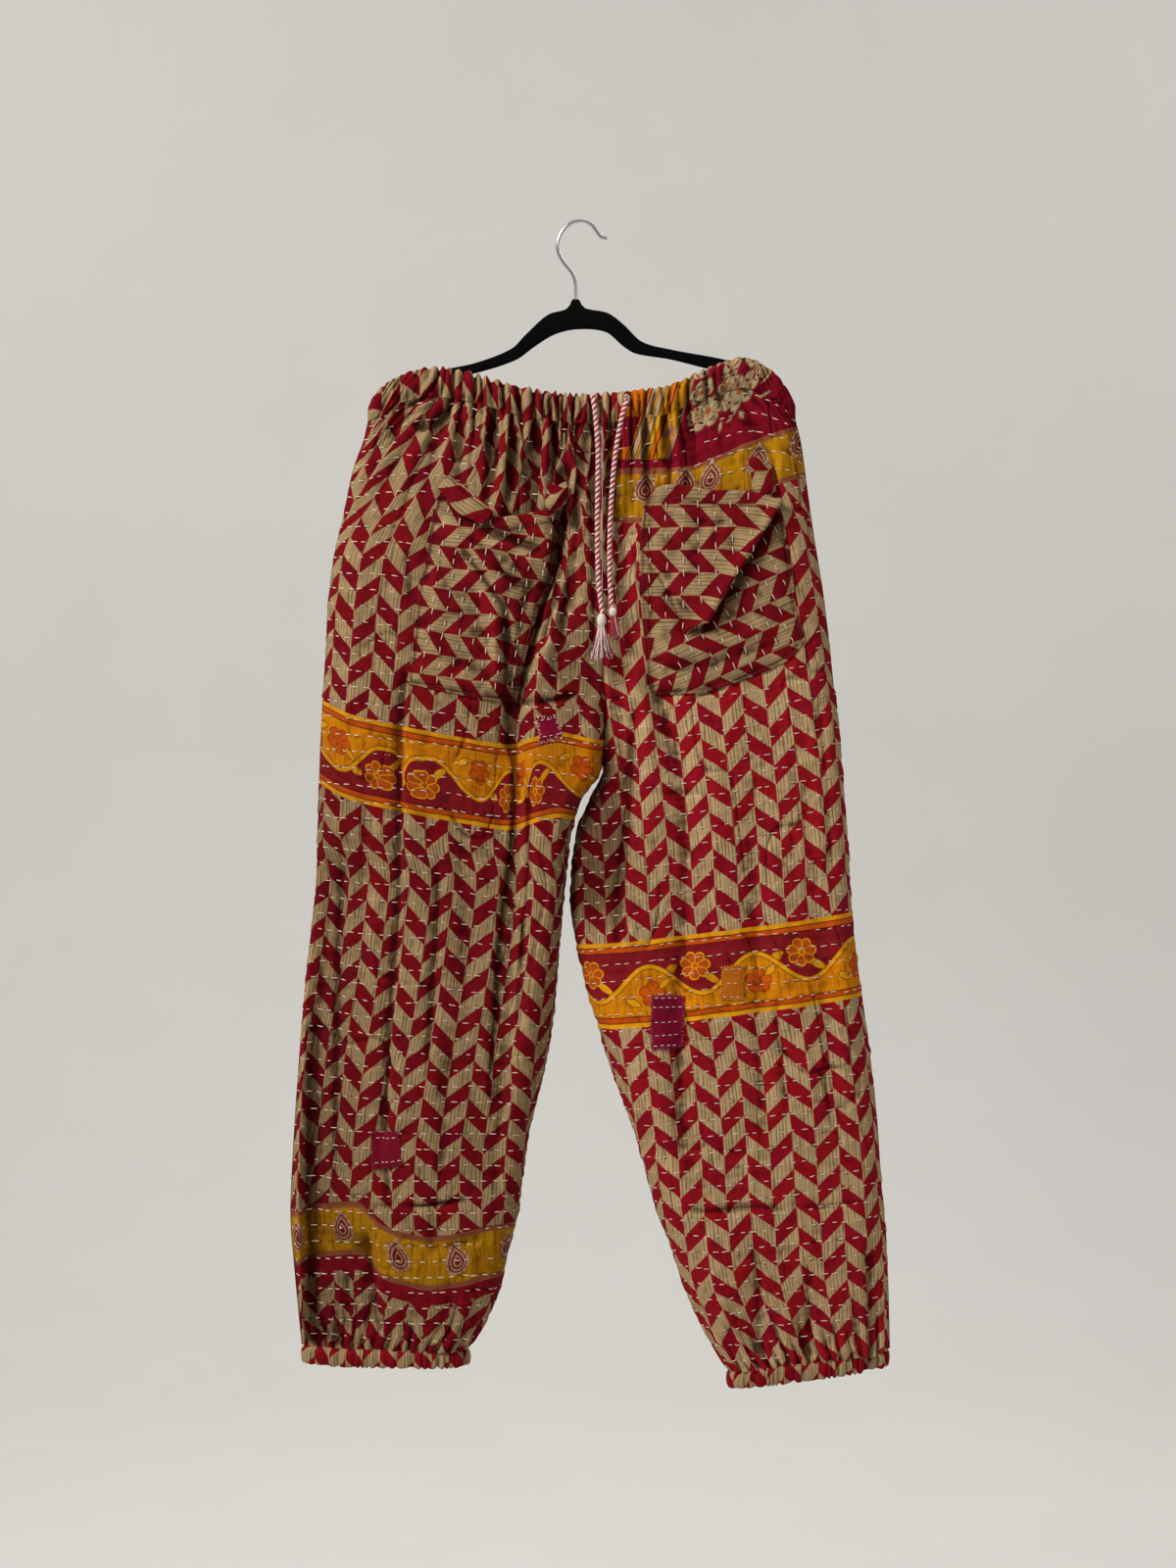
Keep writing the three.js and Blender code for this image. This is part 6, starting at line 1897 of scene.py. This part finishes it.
# ---------------------------------------------------------------- running stitches
def capsules(name, ends, ups, half_w, half_h, mat, sides=4, bow=0.25):
    """Short stitches: each from one end to the other, bowed up in the middle."""
    a, b2 = ends[:, 0], ends[:, 1]
    d = b2 - a
    L = np.linalg.norm(d, axis=1, keepdims=True)
    t = d / np.maximum(L, 1e-6)
    w = np.cross(t, ups)
    w /= np.maximum(np.linalg.norm(w, axis=1, keepdims=True), 1e-9)
    up = np.cross(w, t)
    rings = []
    for f, r, h in ((0.0, 0.35, -0.75), (0.22, 1.0, 0.15), (0.78, 1.0, 0.15), (1.0, 0.35, -0.75)):
        c = a + d * f + up * (h * bow)
        for k in range(sides):
            ang = 2 * PI * (k + 0.5) / sides
            rings.append(c + w * (math.cos(ang) * half_w * r) + up * (math.sin(ang) * half_h * r))
    V = np.stack(rings, 1)  # stitch, 4*sides, 3
    n = V.shape[1]
    faces = []
    for i in range(3):
        for k in range(sides):
            q = [i * sides + k, i * sides + (k + 1) % sides, (i + 1) * sides + (k + 1) % sides, (i + 1) * sides + k]
            faces.append(q)
    faces = np.array(faces)
    F = (faces[None] + (np.arange(len(V)) * n)[:, None, None]).reshape(-1, 4)
    u = np.tile(np.repeat([0.0, 0.25, 0.75, 1.0], sides), len(V)) * 0.004
    v = np.tile(np.tile(np.arange(sides) / sides, 4), len(V)) * 0.002
    return make(name, V.reshape(-1, 3), F, uvs={"cloth": np.stack([u + np.repeat(hash01(np.arange(len(V)), 3) * 0.4, n), v], 1)}, mats=[mat])


def sample_panel(g, u, v):
    """Positions and normals on a panel at cloth coordinates (u, v); outside comes back as nan."""
    rows, cols = g.u.shape
    fi = np.interp(v, g.v_even, np.arange(rows), left=np.nan, right=np.nan)
    ok = ~np.isnan(fi)
    fi = np.where(ok, fi, 0)
    i = np.clip(fi.astype(int), 0, rows - 2)
    a = fi - i
    tot = g.total[i] * (1 - a) + g.total[i + 1] * a
    fj = u / tot * (cols - 1)
    ok &= (fj > 0.6) & (fj < cols - 1.6)
    fj = np.where(ok, fj, 1)
    j = np.clip(fj.astype(int), 0, cols - 2)
    b2 = fj - j
    def mixg(G):
        return (G[i, j] * ((1 - a) * (1 - b2))[:, None] + G[i + 1, j] * (a * (1 - b2))[:, None]
                + G[i, j + 1] * ((1 - a) * b2)[:, None] + G[i + 1, j + 1] * (a * b2)[:, None])
    return mixg(g.P), mixg(g.N), ok


def row_v(u, k, seed):
    """The v of running-stitch row k at u, following the relief's grooves."""
    v = np.full_like(u, (k + 0.5) * QUILT) if np.isscalar(k) else (k + 0.5) * QUILT + 0 * u
    for _ in range(3):
        v = (k + 0.5) * QUILT - 1.6 * noise(u / 55.0, v / 90.0, seed) - 0.5 * noise(u / 17.0, v / 30.0, seed + 1)
    return v


def panel_stitches(name, g, seed, du=11.4, length=6.0, front_side=True):
    ends, ups = [], []
    kmax = int(g.v.max() / QUILT) + 2
    umax = float(g.total.max())
    for k in range(-1, kmax):
        n = int(umax / du) + 2
        i = np.arange(n)
        centre = (i + hash01(np.array([k]), seed)[0]) * du + (hash01(i + 131 * k, seed + 1) - 0.5) * du * 0.38
        ln = length * (0.72 + 0.55 * hash01(i + 17 * k, seed + 2))
        off = (hash01(i + 57 * k, seed + 3) - 0.5) * 1.1
        slant = (hash01(i + 77 * k, seed + 4) - 0.35) * 1.5
        u0, u1 = centre - ln / 2, centre + ln / 2
        vv0 = row_v(u0, k, g.stitch_seed) + off - slant / 2
        vv1 = row_v(u1, k, g.stitch_seed) + off + slant / 2
        p0, n0, ok0 = sample_panel(g, u0, vv0)
        p1, n1, ok1 = sample_panel(g, u1, vv1)
        pm, nm, okm = sample_panel(g, centre, (vv0 + vv1) / 2)
        keep = ok0 & ok1 & okm & (hash01(i + 91 * k, seed + 5) > 0.05)
        ups_ = n0 + n1 + nm
        ups_ /= np.linalg.norm(ups_, axis=1, keepdims=True)
        # not buried where the cloth folds between the two ends
        a = p0 + n0 * 0.30
        c = p1 + n1 * 0.30
        ends.append(np.stack([a, c], 1)[keep])
        ups.append(ups_[keep])
    E, U = np.concatenate(ends), np.concatenate(ups)
    ln = np.linalg.norm(E[:, 1] - E[:, 0], axis=1)
    good = (ln > 2.0) & (ln < length * 1.7)
    E, U = E[good], U[good]
    return E, U


def stitches_object(name, E, U, mat, half_w=0.54, half_h=0.46, bow=0.7):
    ob = capsules(name, E, U, half_w, half_h, mat, bow=bow)
    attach(ob, "root")
    return ob


for g, sd in ((FR, 1), (FL, 2), (BR, 3), (BL, 4)):
    g.stitch_seed = sd
PK_FRONT = [Front([POCKETS["left"].P, POCKETS["right"].P])]
for g in PK_FRONT:
    g.h = np.where(g.h == 0.0, 900.0, g.h)
for key, g, sd in (("front_right", FR, 101), ("front_left", FL, 111), ("back_right", BR, 121), ("back_left", BL, 131)):
    E, U = panel_stitches(key, g, sd)
    if key.startswith("front"):
        mid = E.mean(axis=1)
        cover = PK_FRONT[0].at(mid[:, 0], mid[:, 2])
        shown = ~(cover < mid[:, 1] - 0.2)
        E, U = E[shown], U[shown]
    stitches_object("stitches_" + key, E, U, MAT_STITCH)


def pocket_stitches(key, seed):
    """Running stitches of the quilted cloth, which on a pocket run down it."""
    g = POCKETS[key]
    n, m = g.u.shape
    # rows at even v (across), stitches along u (down): find them cell by cell
    ends, ups = [], []
    colp, rowp, ln = 15.8, 15.4, 6.6
    kk = np.arange(math.floor(g.v.min() / colp), math.ceil(g.v.max() / colp) + 1)
    pts, nor = g.P.reshape(-1, 3), g.N.reshape(-1, 3)
    uu, vv = g.u.ravel(), g.v.ravel()
    for k in kk:
        for i in range(math.floor(g.u.min() / rowp), math.ceil(g.u.max() / rowp) + 1):
            r = hash01(np.array([i + 37.0 * k, i + 11.0 * k + 0.5, i * 3.0 + k, i + 5.0 * k]), seed)
            cu = (i + 0.5 * (k % 2)) * rowp + (r[0] - 0.5) * 6
            cv = (k + 0.5) * colp + (r[1] - 0.5) * 2.4
            L = ln * (0.8 + 0.45 * r[2])
            pair = []
            for sgn in (-0.5, 0.5):
                tu, tv = cu + sgn * L, cv + sgn * (r[3] - 0.5) * 1.6
                d = (uu - tu) ** 2 + (vv - tv) ** 2
                near = np.argpartition(d, 4)[:4]
                if d[near].min() > 9 or g.sewn.ravel()[near].min() < 5:
                    break
                w = 1.0 / (d[near] + 0.05)
                w /= w.sum()
                pair.append(((pts[near] * w[:, None]).sum(0), (nor[near] * w[:, None]).sum(0)))
            if len(pair) == 2:
                n0, n1 = (k[1] / np.linalg.norm(k[1]) for k in pair)
                a, c = pair[0][0] + n0 * 0.80, pair[1][0] + n1 * 0.80
                if 4 < np.linalg.norm(c - a) < 9.5:
                    ends.append((a, c))
                    ups.append(n0 + n1)
    E, U = np.array(ends), np.array(ups)
    U /= np.linalg.norm(U, axis=1, keepdims=True)
    return E, U


def along_edge(g, offset, pitch, length, which, lift=0.28):
    """Stitches that follow a line of constant distance from a pocket's edges."""
    n, m = g.u.shape
    pts, nor = g.P, g.N
    lines = []
    def walk(seq):
        p = np.array([pts[i, j] for i, j in seq])
        q = np.array([nor[i, j] for i, j in seq])
        return p, q
    cols = lambda j, a, c: [(i, j) for i in range(a, c)]
    out_e, out_u = [], []
    for seq in which:
        p, q = walk(seq)
        s = np.concatenate([[0], np.cumsum(np.linalg.norm(np.diff(p, axis=0), axis=1))])
        for k in range(int(s[-1] / pitch)):
            a, c = k * pitch + 1.0, k * pitch + 1.0 + length
            if c > s[-1]:
                break
            pick = lambda t, arr: np.array([np.interp(t, s, arr[:, ax]) for ax in range(3)])
            na, nc = pick(a, q), pick(c, q)
            out_e.append((pick(a, p) + na * lift, pick(c, p) + nc * lift))
            u = na + nc
            out_u.append(u / np.linalg.norm(u))
    return np.array(out_e), np.array(out_u)


def edge_columns(g, offset):
    """For each row, the grid column nearest `offset` mm in from each side, and for each column the row nearest `offset`
    mm up from the bottom.
    """
    n, m = g.u.shape
    def near(idx_fn, count):
        return [idx_fn(k) for k in range(count)]
    def col_in(i, from_right=False):
        row = g.P[i]
        s = np.concatenate([[0], np.cumsum(np.linalg.norm(np.diff(row[:, [0, 2]], axis=0), axis=1))])
        s = s[-1] - s if from_right else s
        return int(np.argmin(np.abs(s - offset)))
    def row_in(j, from_bottom=False):
        c = g.P[:, j]
        s = np.concatenate([[0], np.cumsum(np.linalg.norm(np.diff(c[:, [0, 2]], axis=0), axis=1))])
        s = s[-1] - s if from_bottom else s
        return int(np.argmin(np.abs(s - offset)))
    left = [(i, col_in(i)) for i in range(2, n - 2)]
    right = [(i, col_in(i, True)) for i in range(2, n - 2)]
    bottom = [(row_in(j, True), j) for j in range(2, m - 2)]
    return left, right, bottom


def hem_row(g, offset):
    n, m = g.u.shape
    out = []
    for j in range(3, m - 3):
        c = g.P[:, j]
        s = np.concatenate([[0], np.cumsum(np.linalg.norm(np.diff(c[:, [0, 2]], axis=0), axis=1))])
        out.append((int(np.argmin(np.abs(s - offset))), j))
    return out


for key in ("left", "right"):
    g = POCKETS[key]
    E, U = pocket_stitches(key, 141 if key == "left" else 151)
    ob = stitches_object("stitches_pocket_" + key, E, U, MAT_STITCH)
    le, ri, bo = edge_columns(g, 3.2)
    E, U = along_edge(g, 3.2, 3.1, 2.3, [le, ri, bo, hem_row(g, 14.0 if key == "left" else 13.0)])
    ob = stitches_object("topstitch_pocket_" + key, E, U, MAT_STITCH_RED, 0.30, 0.26, 0.3)


# ---------------------------------------------------------------- mending patches
def patch(name, node, corners, mats, seed, n=22, m=18, fray=0.9, whip=None, rows=0, whip_pitch=2.9):
    """A darned-on scrap: corners go round from the upper left; its edges are uneven."""
    a, b2, c, d = (np.array(k, dtype=float) for k in corners)
    e = lambda k: (lambda t: t - 0.5 * np.sin(2 * PI * t) / (2 * PI))(np.linspace(0, 1, k + 1))
    t, s = e(m)[None, :, None], e(n)[:, None, None]
    q = (a + (b2 - a) * t) * (1 - s) + (d + (c - d) * t) * s
    x, z = q[..., 0], q[..., 1]
    ts, ss = t[..., 0] + 0 * s[..., 0], s[..., 0] + 0 * t[..., 0]
    near = lambda w: np.exp(-w * 9)
    wob = fray * (noise(x / 3.1, z / 3.1, seed) + 0.7 * noise(x / 7.0, z / 7.0, seed + 1))
    x = x + wob * (near(ts) + near(1 - ts))
    z = z + wob * (near(ss) - near(1 - ss))
    edge = np.minimum(np.minimum(ts, 1 - ts) * abs(b2[0] - a[0]), np.minimum(ss, 1 - ss) * abs(a[1] - d[1]))
    y = front.at(x, z) - 0.75 - 0.5 * smooth(0.0, 3.0, edge) - 0.3 * np.abs(noise(x / 5.0, z / 5.0, seed + 3))
    y = np.minimum(y, front.at(x, z, front_near) - 0.15 - 0.35 * smooth(0, 3, edge))
    y = y + 0.5 * np.exp(-((edge - 2.2) / 1.0) ** 2)
    P = np.stack([x, y, z], -1)
    P = clear_front(P, 0.5)
    N = normals_of(P)
    if N[n // 2, m // 2, 1] > 0:
        N = -N
    ob, _ = closed_sheet(name, P, N, 0.45, mats, x * 1.0 + 40, -z * 1.0)
    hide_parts(node)
    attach(ob, "root")
    if whip is not None:
        ring = [(0, j) for j in range(m + 1)] + [(i, m) for i in range(1, n + 1)]
        ring += [(n, j) for j in range(m - 1, -1, -1)] + [(i, 0) for i in range(n - 1, 0, -1)]
        pr = np.array([P[i, j] for i, j in ring + ring[:1]])
        mid = P.mean(axis=(0, 1))
        L = np.concatenate([[0], np.cumsum(np.linalg.norm(np.diff(pr, axis=0), axis=1))])
        ends, ups = [], []
        for k in range(int(L[-1] / whip_pitch)):
            at = (k + 0.6 * hash01(np.array([k]), seed)[0]) * whip_pitch
            pt = np.array([np.interp(at, L, pr[:, ax]) for ax in range(3)])
            q2 = np.array([np.interp(at + 1.0, L, pr[:, ax]) for ax in range(3)])
            tan = q2 - pt
            tan /= np.linalg.norm(tan)
            inw = mid - pt
            inw -= tan * (inw @ tan)
            inw /= np.linalg.norm(inw)
            r = hash01(np.array([k + 0.5, k + 0.7]), seed + 2)
            inner = pt + inw * (1.3 + 1.3 * r[0]) + tan * (0.9 * (r[1] - 0.3))
            outer = pt - inw * (0.9 + 0.6 * r[1])
            yi = min(inner[1], float(front.at(np.array([inner[0]]), np.array([inner[2]]))[0]) - 1.2)
            yo = float(front.at(np.array([outer[0]]), np.array([outer[2]]))[0])
            ends.append(([inner[0], yi - 0.25, inner[2]], [outer[0], yo - 0.15, outer[2]]))
            ups.append([0, -1, 0])
        stitches_object("whip_stitches_" + node, np.array(ends, dtype=float), np.array(ups, dtype=float), whip, 0.34, 0.30, 0.5)
    if rows:
        ends, ups = [], []
        for k in range(rows):
            f = (k + 0.5) / rows
            i = int(f * n)
            row = P[i]
            L = np.concatenate([[0], np.cumsum(np.linalg.norm(np.diff(row, axis=0), axis=1))])
            at = 2.0 + 3 * hash01(np.array([k]), seed + 9)[0]
            while at + 4.0 < L[-1] - 1:
                p0 = np.array([np.interp(at, L, row[:, ax]) for ax in range(3)])
                p1 = np.array([np.interp(at + 3.8, L, row[:, ax]) for ax in range(3)])
                ends.append((p0 + [0, -0.35, 0.5 * (hash01(np.array([at]), 3)[0] - 0.5)], p1 + [0, -0.35, 0]))
                ups.append([0, -1, 0])
                at += 6.6
        if ends:
            stitches_object("stitches_" + node, np.array(ends), np.array(ups, dtype=float), MAT_STITCH, 0.5, 0.4, 0.5)
    return ob


patch_hip = patch("cloth_patch_hip_right", "patch_hip_right", [(-44, -493), (-24, -490), (-19, -513), (-41, -518)],
                  [MAT_PATCH_MAGENTA], 31, 18, 18, 1.6, MAT_STITCH, 2)
patch_shin = patch("cloth_patch_shin_right", "patch_shin_right", [(-206, -899), (-178, -897), (-174, -930), (-204, -936)],
                   [MAT_PATCH_RED], 32, 24, 20, 0.8, MAT_STITCH_RED, 2, 3.4)
patch_knee = patch("cloth_patch_knee_left", "patch_knee_left", [(68, -764), (101, -765), (100, -815), (69, -817)],
                   [MAT_PATCH_MAGENTA], 33, 34, 22, 0.9, MAT_STITCH_PINK, 5)
patch_knee_s = patch("cloth_patch_knee_left_small", "patch_knee_left_small", [(137, -736), (160, -735), (159, -770), (136, -769)],
                     [MAT_PATCH_ORANGE], 34, 24, 18, 1.1, MAT_STITCH_ORANGE, 3, 3.3)


# ---------------------------------------------------------------- hanger and hook
HANGER_TOP = table([(-201, -165), (-140, -147), (-104, -139), (-69, -125), (-55, -111), (-34, -92), (-16, -86.2), (-11.5, -82), (-9.2, -76.8),
                    (-5.5, -75.6), (-1.8, -76.8), (0.6, -81.5), (5, -85.2), (27, -90), (42, -101), (60, -118), (89, -126), (142, -136), (196, -151)])
HANGER_FOOT = table([(-201, -175), (-129, -155), (-99, -148), (-64, -136), (-46, -123), (-26, -111), (-3, -106), (25, -109), (42, -123),
                     (54, -130), (89, -136), (125, -145), (196, -161)])


def hanger():
    m, b, bsdf = new_material("hanger_black_velvet")
    tc = b.new("ShaderNodeTexCoord")
    n = b.noise(tc.outputs["Object"], 900.0, 3.0, 0.6)
    n2 = b.noise(tc.outputs["Object"], 60.0, 2.0, 0.5)
    b.put(bsdf.inputs["Base Color"], b.mix(n2, (0.0016, 0.0016, 0.0018), (0.0036, 0.0034, 0.0038)))
    bsdf.inputs["Roughness"].default_value = 0.95
    bsdf.inputs["Specular IOR Level"].default_value = 0.04
    bsdf.inputs["Sheen Weight"].default_value = 0.02
    bsdf.inputs["Sheen Roughness"].default_value = 0.4
    b.tree.links.new(b.bump(n, 0.5, 0.0004), bsdf.inputs["Normal"])
    xs = np.unique(np.concatenate([np.linspace(-201, 196, 220), np.linspace(-20, 10, 60)]))
    top, foot = read(HANGER_TOP, xs), read(HANGER_FOOT, xs)
    k = 36
    a = np.arange(k) / k * 2 * PI
    e = 2 / 3.2
    cy = np.sign(np.cos(a)) * np.abs(np.cos(a)) ** e
    cz = np.sign(np.sin(a)) * np.abs(np.sin(a)) ** e
    mid, h = (top + foot) / 2, (top - foot) / 2
    endf = np.minimum(1.0, np.sqrt(np.clip(np.minimum(xs - xs[0], xs[-1] - xs) / 4.0, 0, 1)) * 0.9 + 0.1)
    y = 2.75 * cy[None, :] * endf[:, None]
    z = mid[:, None] + (h * endf)[:, None] * cz[None, :]
    x = xs[:, None] + 0 * y
    V = np.stack([x, y, z], -1).reshape(-1, 3)
    F = grid_faces(len(xs), k, wrap_cols=True)
    caps = [list(range(k))[::-1], [(len(xs) - 1) * k + i for i in range(k)]]
    base = len(V)
    c0, c1 = V[:k].mean(0), V[-k:].mean(0)
    V = np.vstack([V, c0, c1])
    tri = []
    for i in range(k):
        tri.append([base, (i + 1) % k, i, i])
        tri.append([base + 1, (len(xs) - 1) * k + i, (len(xs) - 1) * k + (i + 1) % k, (len(xs) - 1) * k + (i + 1) % k])
    ob = make_mixed("hanger_body_velvet", V, F, [t[:3] for t in tri], [m])
    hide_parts("hanger_body")
    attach(ob, "root")
    return ob


def make_mixed(name, V, quads, tris, mats):
    me = bpy.data.meshes.new(name)
    me.from_pydata((np.asarray(V) * 0.001).tolist(), [], [list(map(int, f)) for f in quads] + [list(map(int, f)) for f in tris])
    me.validate()
    for p2 in me.polygons:
        p2.use_smooth = True
    for mm in mats:
        me.materials.append(mm)
    ob = bpy.data.objects.new(name, me)
    scene.collection.objects.link(ob)
    bm = bmesh.new()
    bm.from_mesh(me)
    bmesh.ops.recalc_face_normals(bm, faces=bm.faces)
    bm.to_mesh(me)
    bm.free()
    return ob


HOOK = [(-5.4, 0, -77.5), (-5.4, 0, -62), (-8.5, 0, -51), (-17, 0, -40), (-23.4, 0, -26), (-20.6, 0, -11.6), (-11.4, 0, -1.2), (0, 0, 1.8),
        (10.4, 0, -2.2), (16.4, 0, -9.6), (20.4, 0, -14.6), (26, 0, -15.6)]


def hook():
    m, b, bsdf = new_material("hook_chrome_wire")
    tc = b.new("ShaderNodeTexCoord")
    n = b.noise(tc.outputs["Object"], 260.0, 3.0, 0.6)
    b.put(bsdf.inputs["Base Color"], b.mix(n, (0.62, 0.62, 0.63), (0.70, 0.70, 0.70)))
    bsdf.inputs["Metallic"].default_value = 1.0
    b.put(bsdf.inputs["Roughness"], n * 0.10 + 0.16)
    ob, _ = make_tube("hanger_hook_wire", HOOK, 1.75, m, sides=20, step=1.2)
    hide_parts("hanger_hook")
    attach(ob, "root")
    return ob


hanger()
hook()


# ---------------------------------------------------------------- the string's buttonholes in the casing
def buttonhole(name, x, z, seed):
    ends, ups = [], []
    y = float(Front([cas_f_pts]).at(np.array([x]), np.array([z]))[0])
    for k in range(22):
        a = k / 22 * 2 * PI
        ca, sa = math.cos(a), math.sin(a)
        inner = (x + 1.7 * ca, z + 3.4 * sa)
        outer = (x + 3.5 * ca, z + 5.3 * sa)
        ends.append(([inner[0], y - 1.0, inner[1]], [outer[0], y - 0.4, outer[1]]))
        ups.append([0, -1, 0])
    return stitches_object(name, np.array(ends, dtype=float), np.array(ups, dtype=float), MAT_STITCH_RED if seed else MAT_STITCH, 0.42, 0.36, 0.6)


buttonhole("buttonhole_right", 11.0, -175.5, 0)
buttonhole("buttonhole_left", 45.0, -178.5, 0)

# ---------------------------------------------------------------- backdrop and light
def backdrop():
    ys = [-9.0, 3.2]
    pts = [(y, -2.05) for y in np.linspace(-9, 3.2, 8)]
    for k in range(1, 13):
        a = k / 12 * PI / 2
        pts.append((3.2 + 1.6 * math.sin(a), -2.05 + 1.6 * (1 - math.cos(a))))
    for zz in (1.0, 2.5, 5.0):
        pts.append((4.8, zz))
    xs = np.linspace(-9, 9, 5)
    V = np.array([[x, y, z] for (y, z) in pts for x in xs])
    me_faces = grid_faces(len(pts), len(xs), flip=True)
    m, b, bsdf = new_material("backdrop_paper")
    tc = b.new("ShaderNodeTexCoord")
    n = b.noise(tc.outputs["Object"], 3.0, 2.0, 0.5)
    b.put(bsdf.inputs["Base Color"], b.mix(n, (0.775, 0.765, 0.735), (0.815, 0.805, 0.775)))
    bsdf.inputs["Roughness"].default_value = 0.95
    bsdf.inputs["Specular IOR Level"].default_value = 0.1
    ob = make("backdrop", V * 1000.0, me_faces, mats=[m])
    return ob


backdrop()


def area(name, loc, aim, size, power, color=(1, 1, 1)):
    d = bpy.data.lights.new(name, "AREA")
    d.shape = "RECTANGLE"
    d.size, d.size_y = size
    d.energy = power
    d.color = color
    o = bpy.data.objects.new(name, d)
    o.location = loc
    o.rotation_euler = (Vector(aim) - Vector(loc)).to_track_quat("-Z", "Y").to_euler()
    o.visible_camera = False
    scene.collection.objects.link(o)
    return o


area("key", (-1.55, -1.45, 1.35), (0.0, 0.0, -0.62), (0.8, 0.7), 82, (1.0, 0.985, 0.965))
area("fill", (2.4, -2.6, 0.2), (0.0, 0.0, -0.7), (1.8, 1.8), 9, (0.96, 0.98, 1.0))
area("wall_left", (-3.4, 1.2, 2.6), (-1.0, 4.8, 0.4), (2.5, 1.2), 64, (1.0, 0.99, 0.955))
area("wall_right", (3.4, 1.2, 2.6), (1.0, 4.8, 0.4), (2.5, 1.2), 48, (1.0, 0.99, 0.955))
area("back", (0.6, 3.2, 1.6), (0.0, 0.0, -0.6), (2.0, 2.0), 30, (1.0, 1.0, 1.0))
world = bpy.data.worlds.new("world")
scene.world = world
world.use_nodes = True
bg = world.node_tree.nodes["Background"]
bg.inputs["Color"].default_value = (0.98, 0.97, 0.94, 1.0)
bg.inputs["Strength"].default_value = 0.26

# SECTIONS-END
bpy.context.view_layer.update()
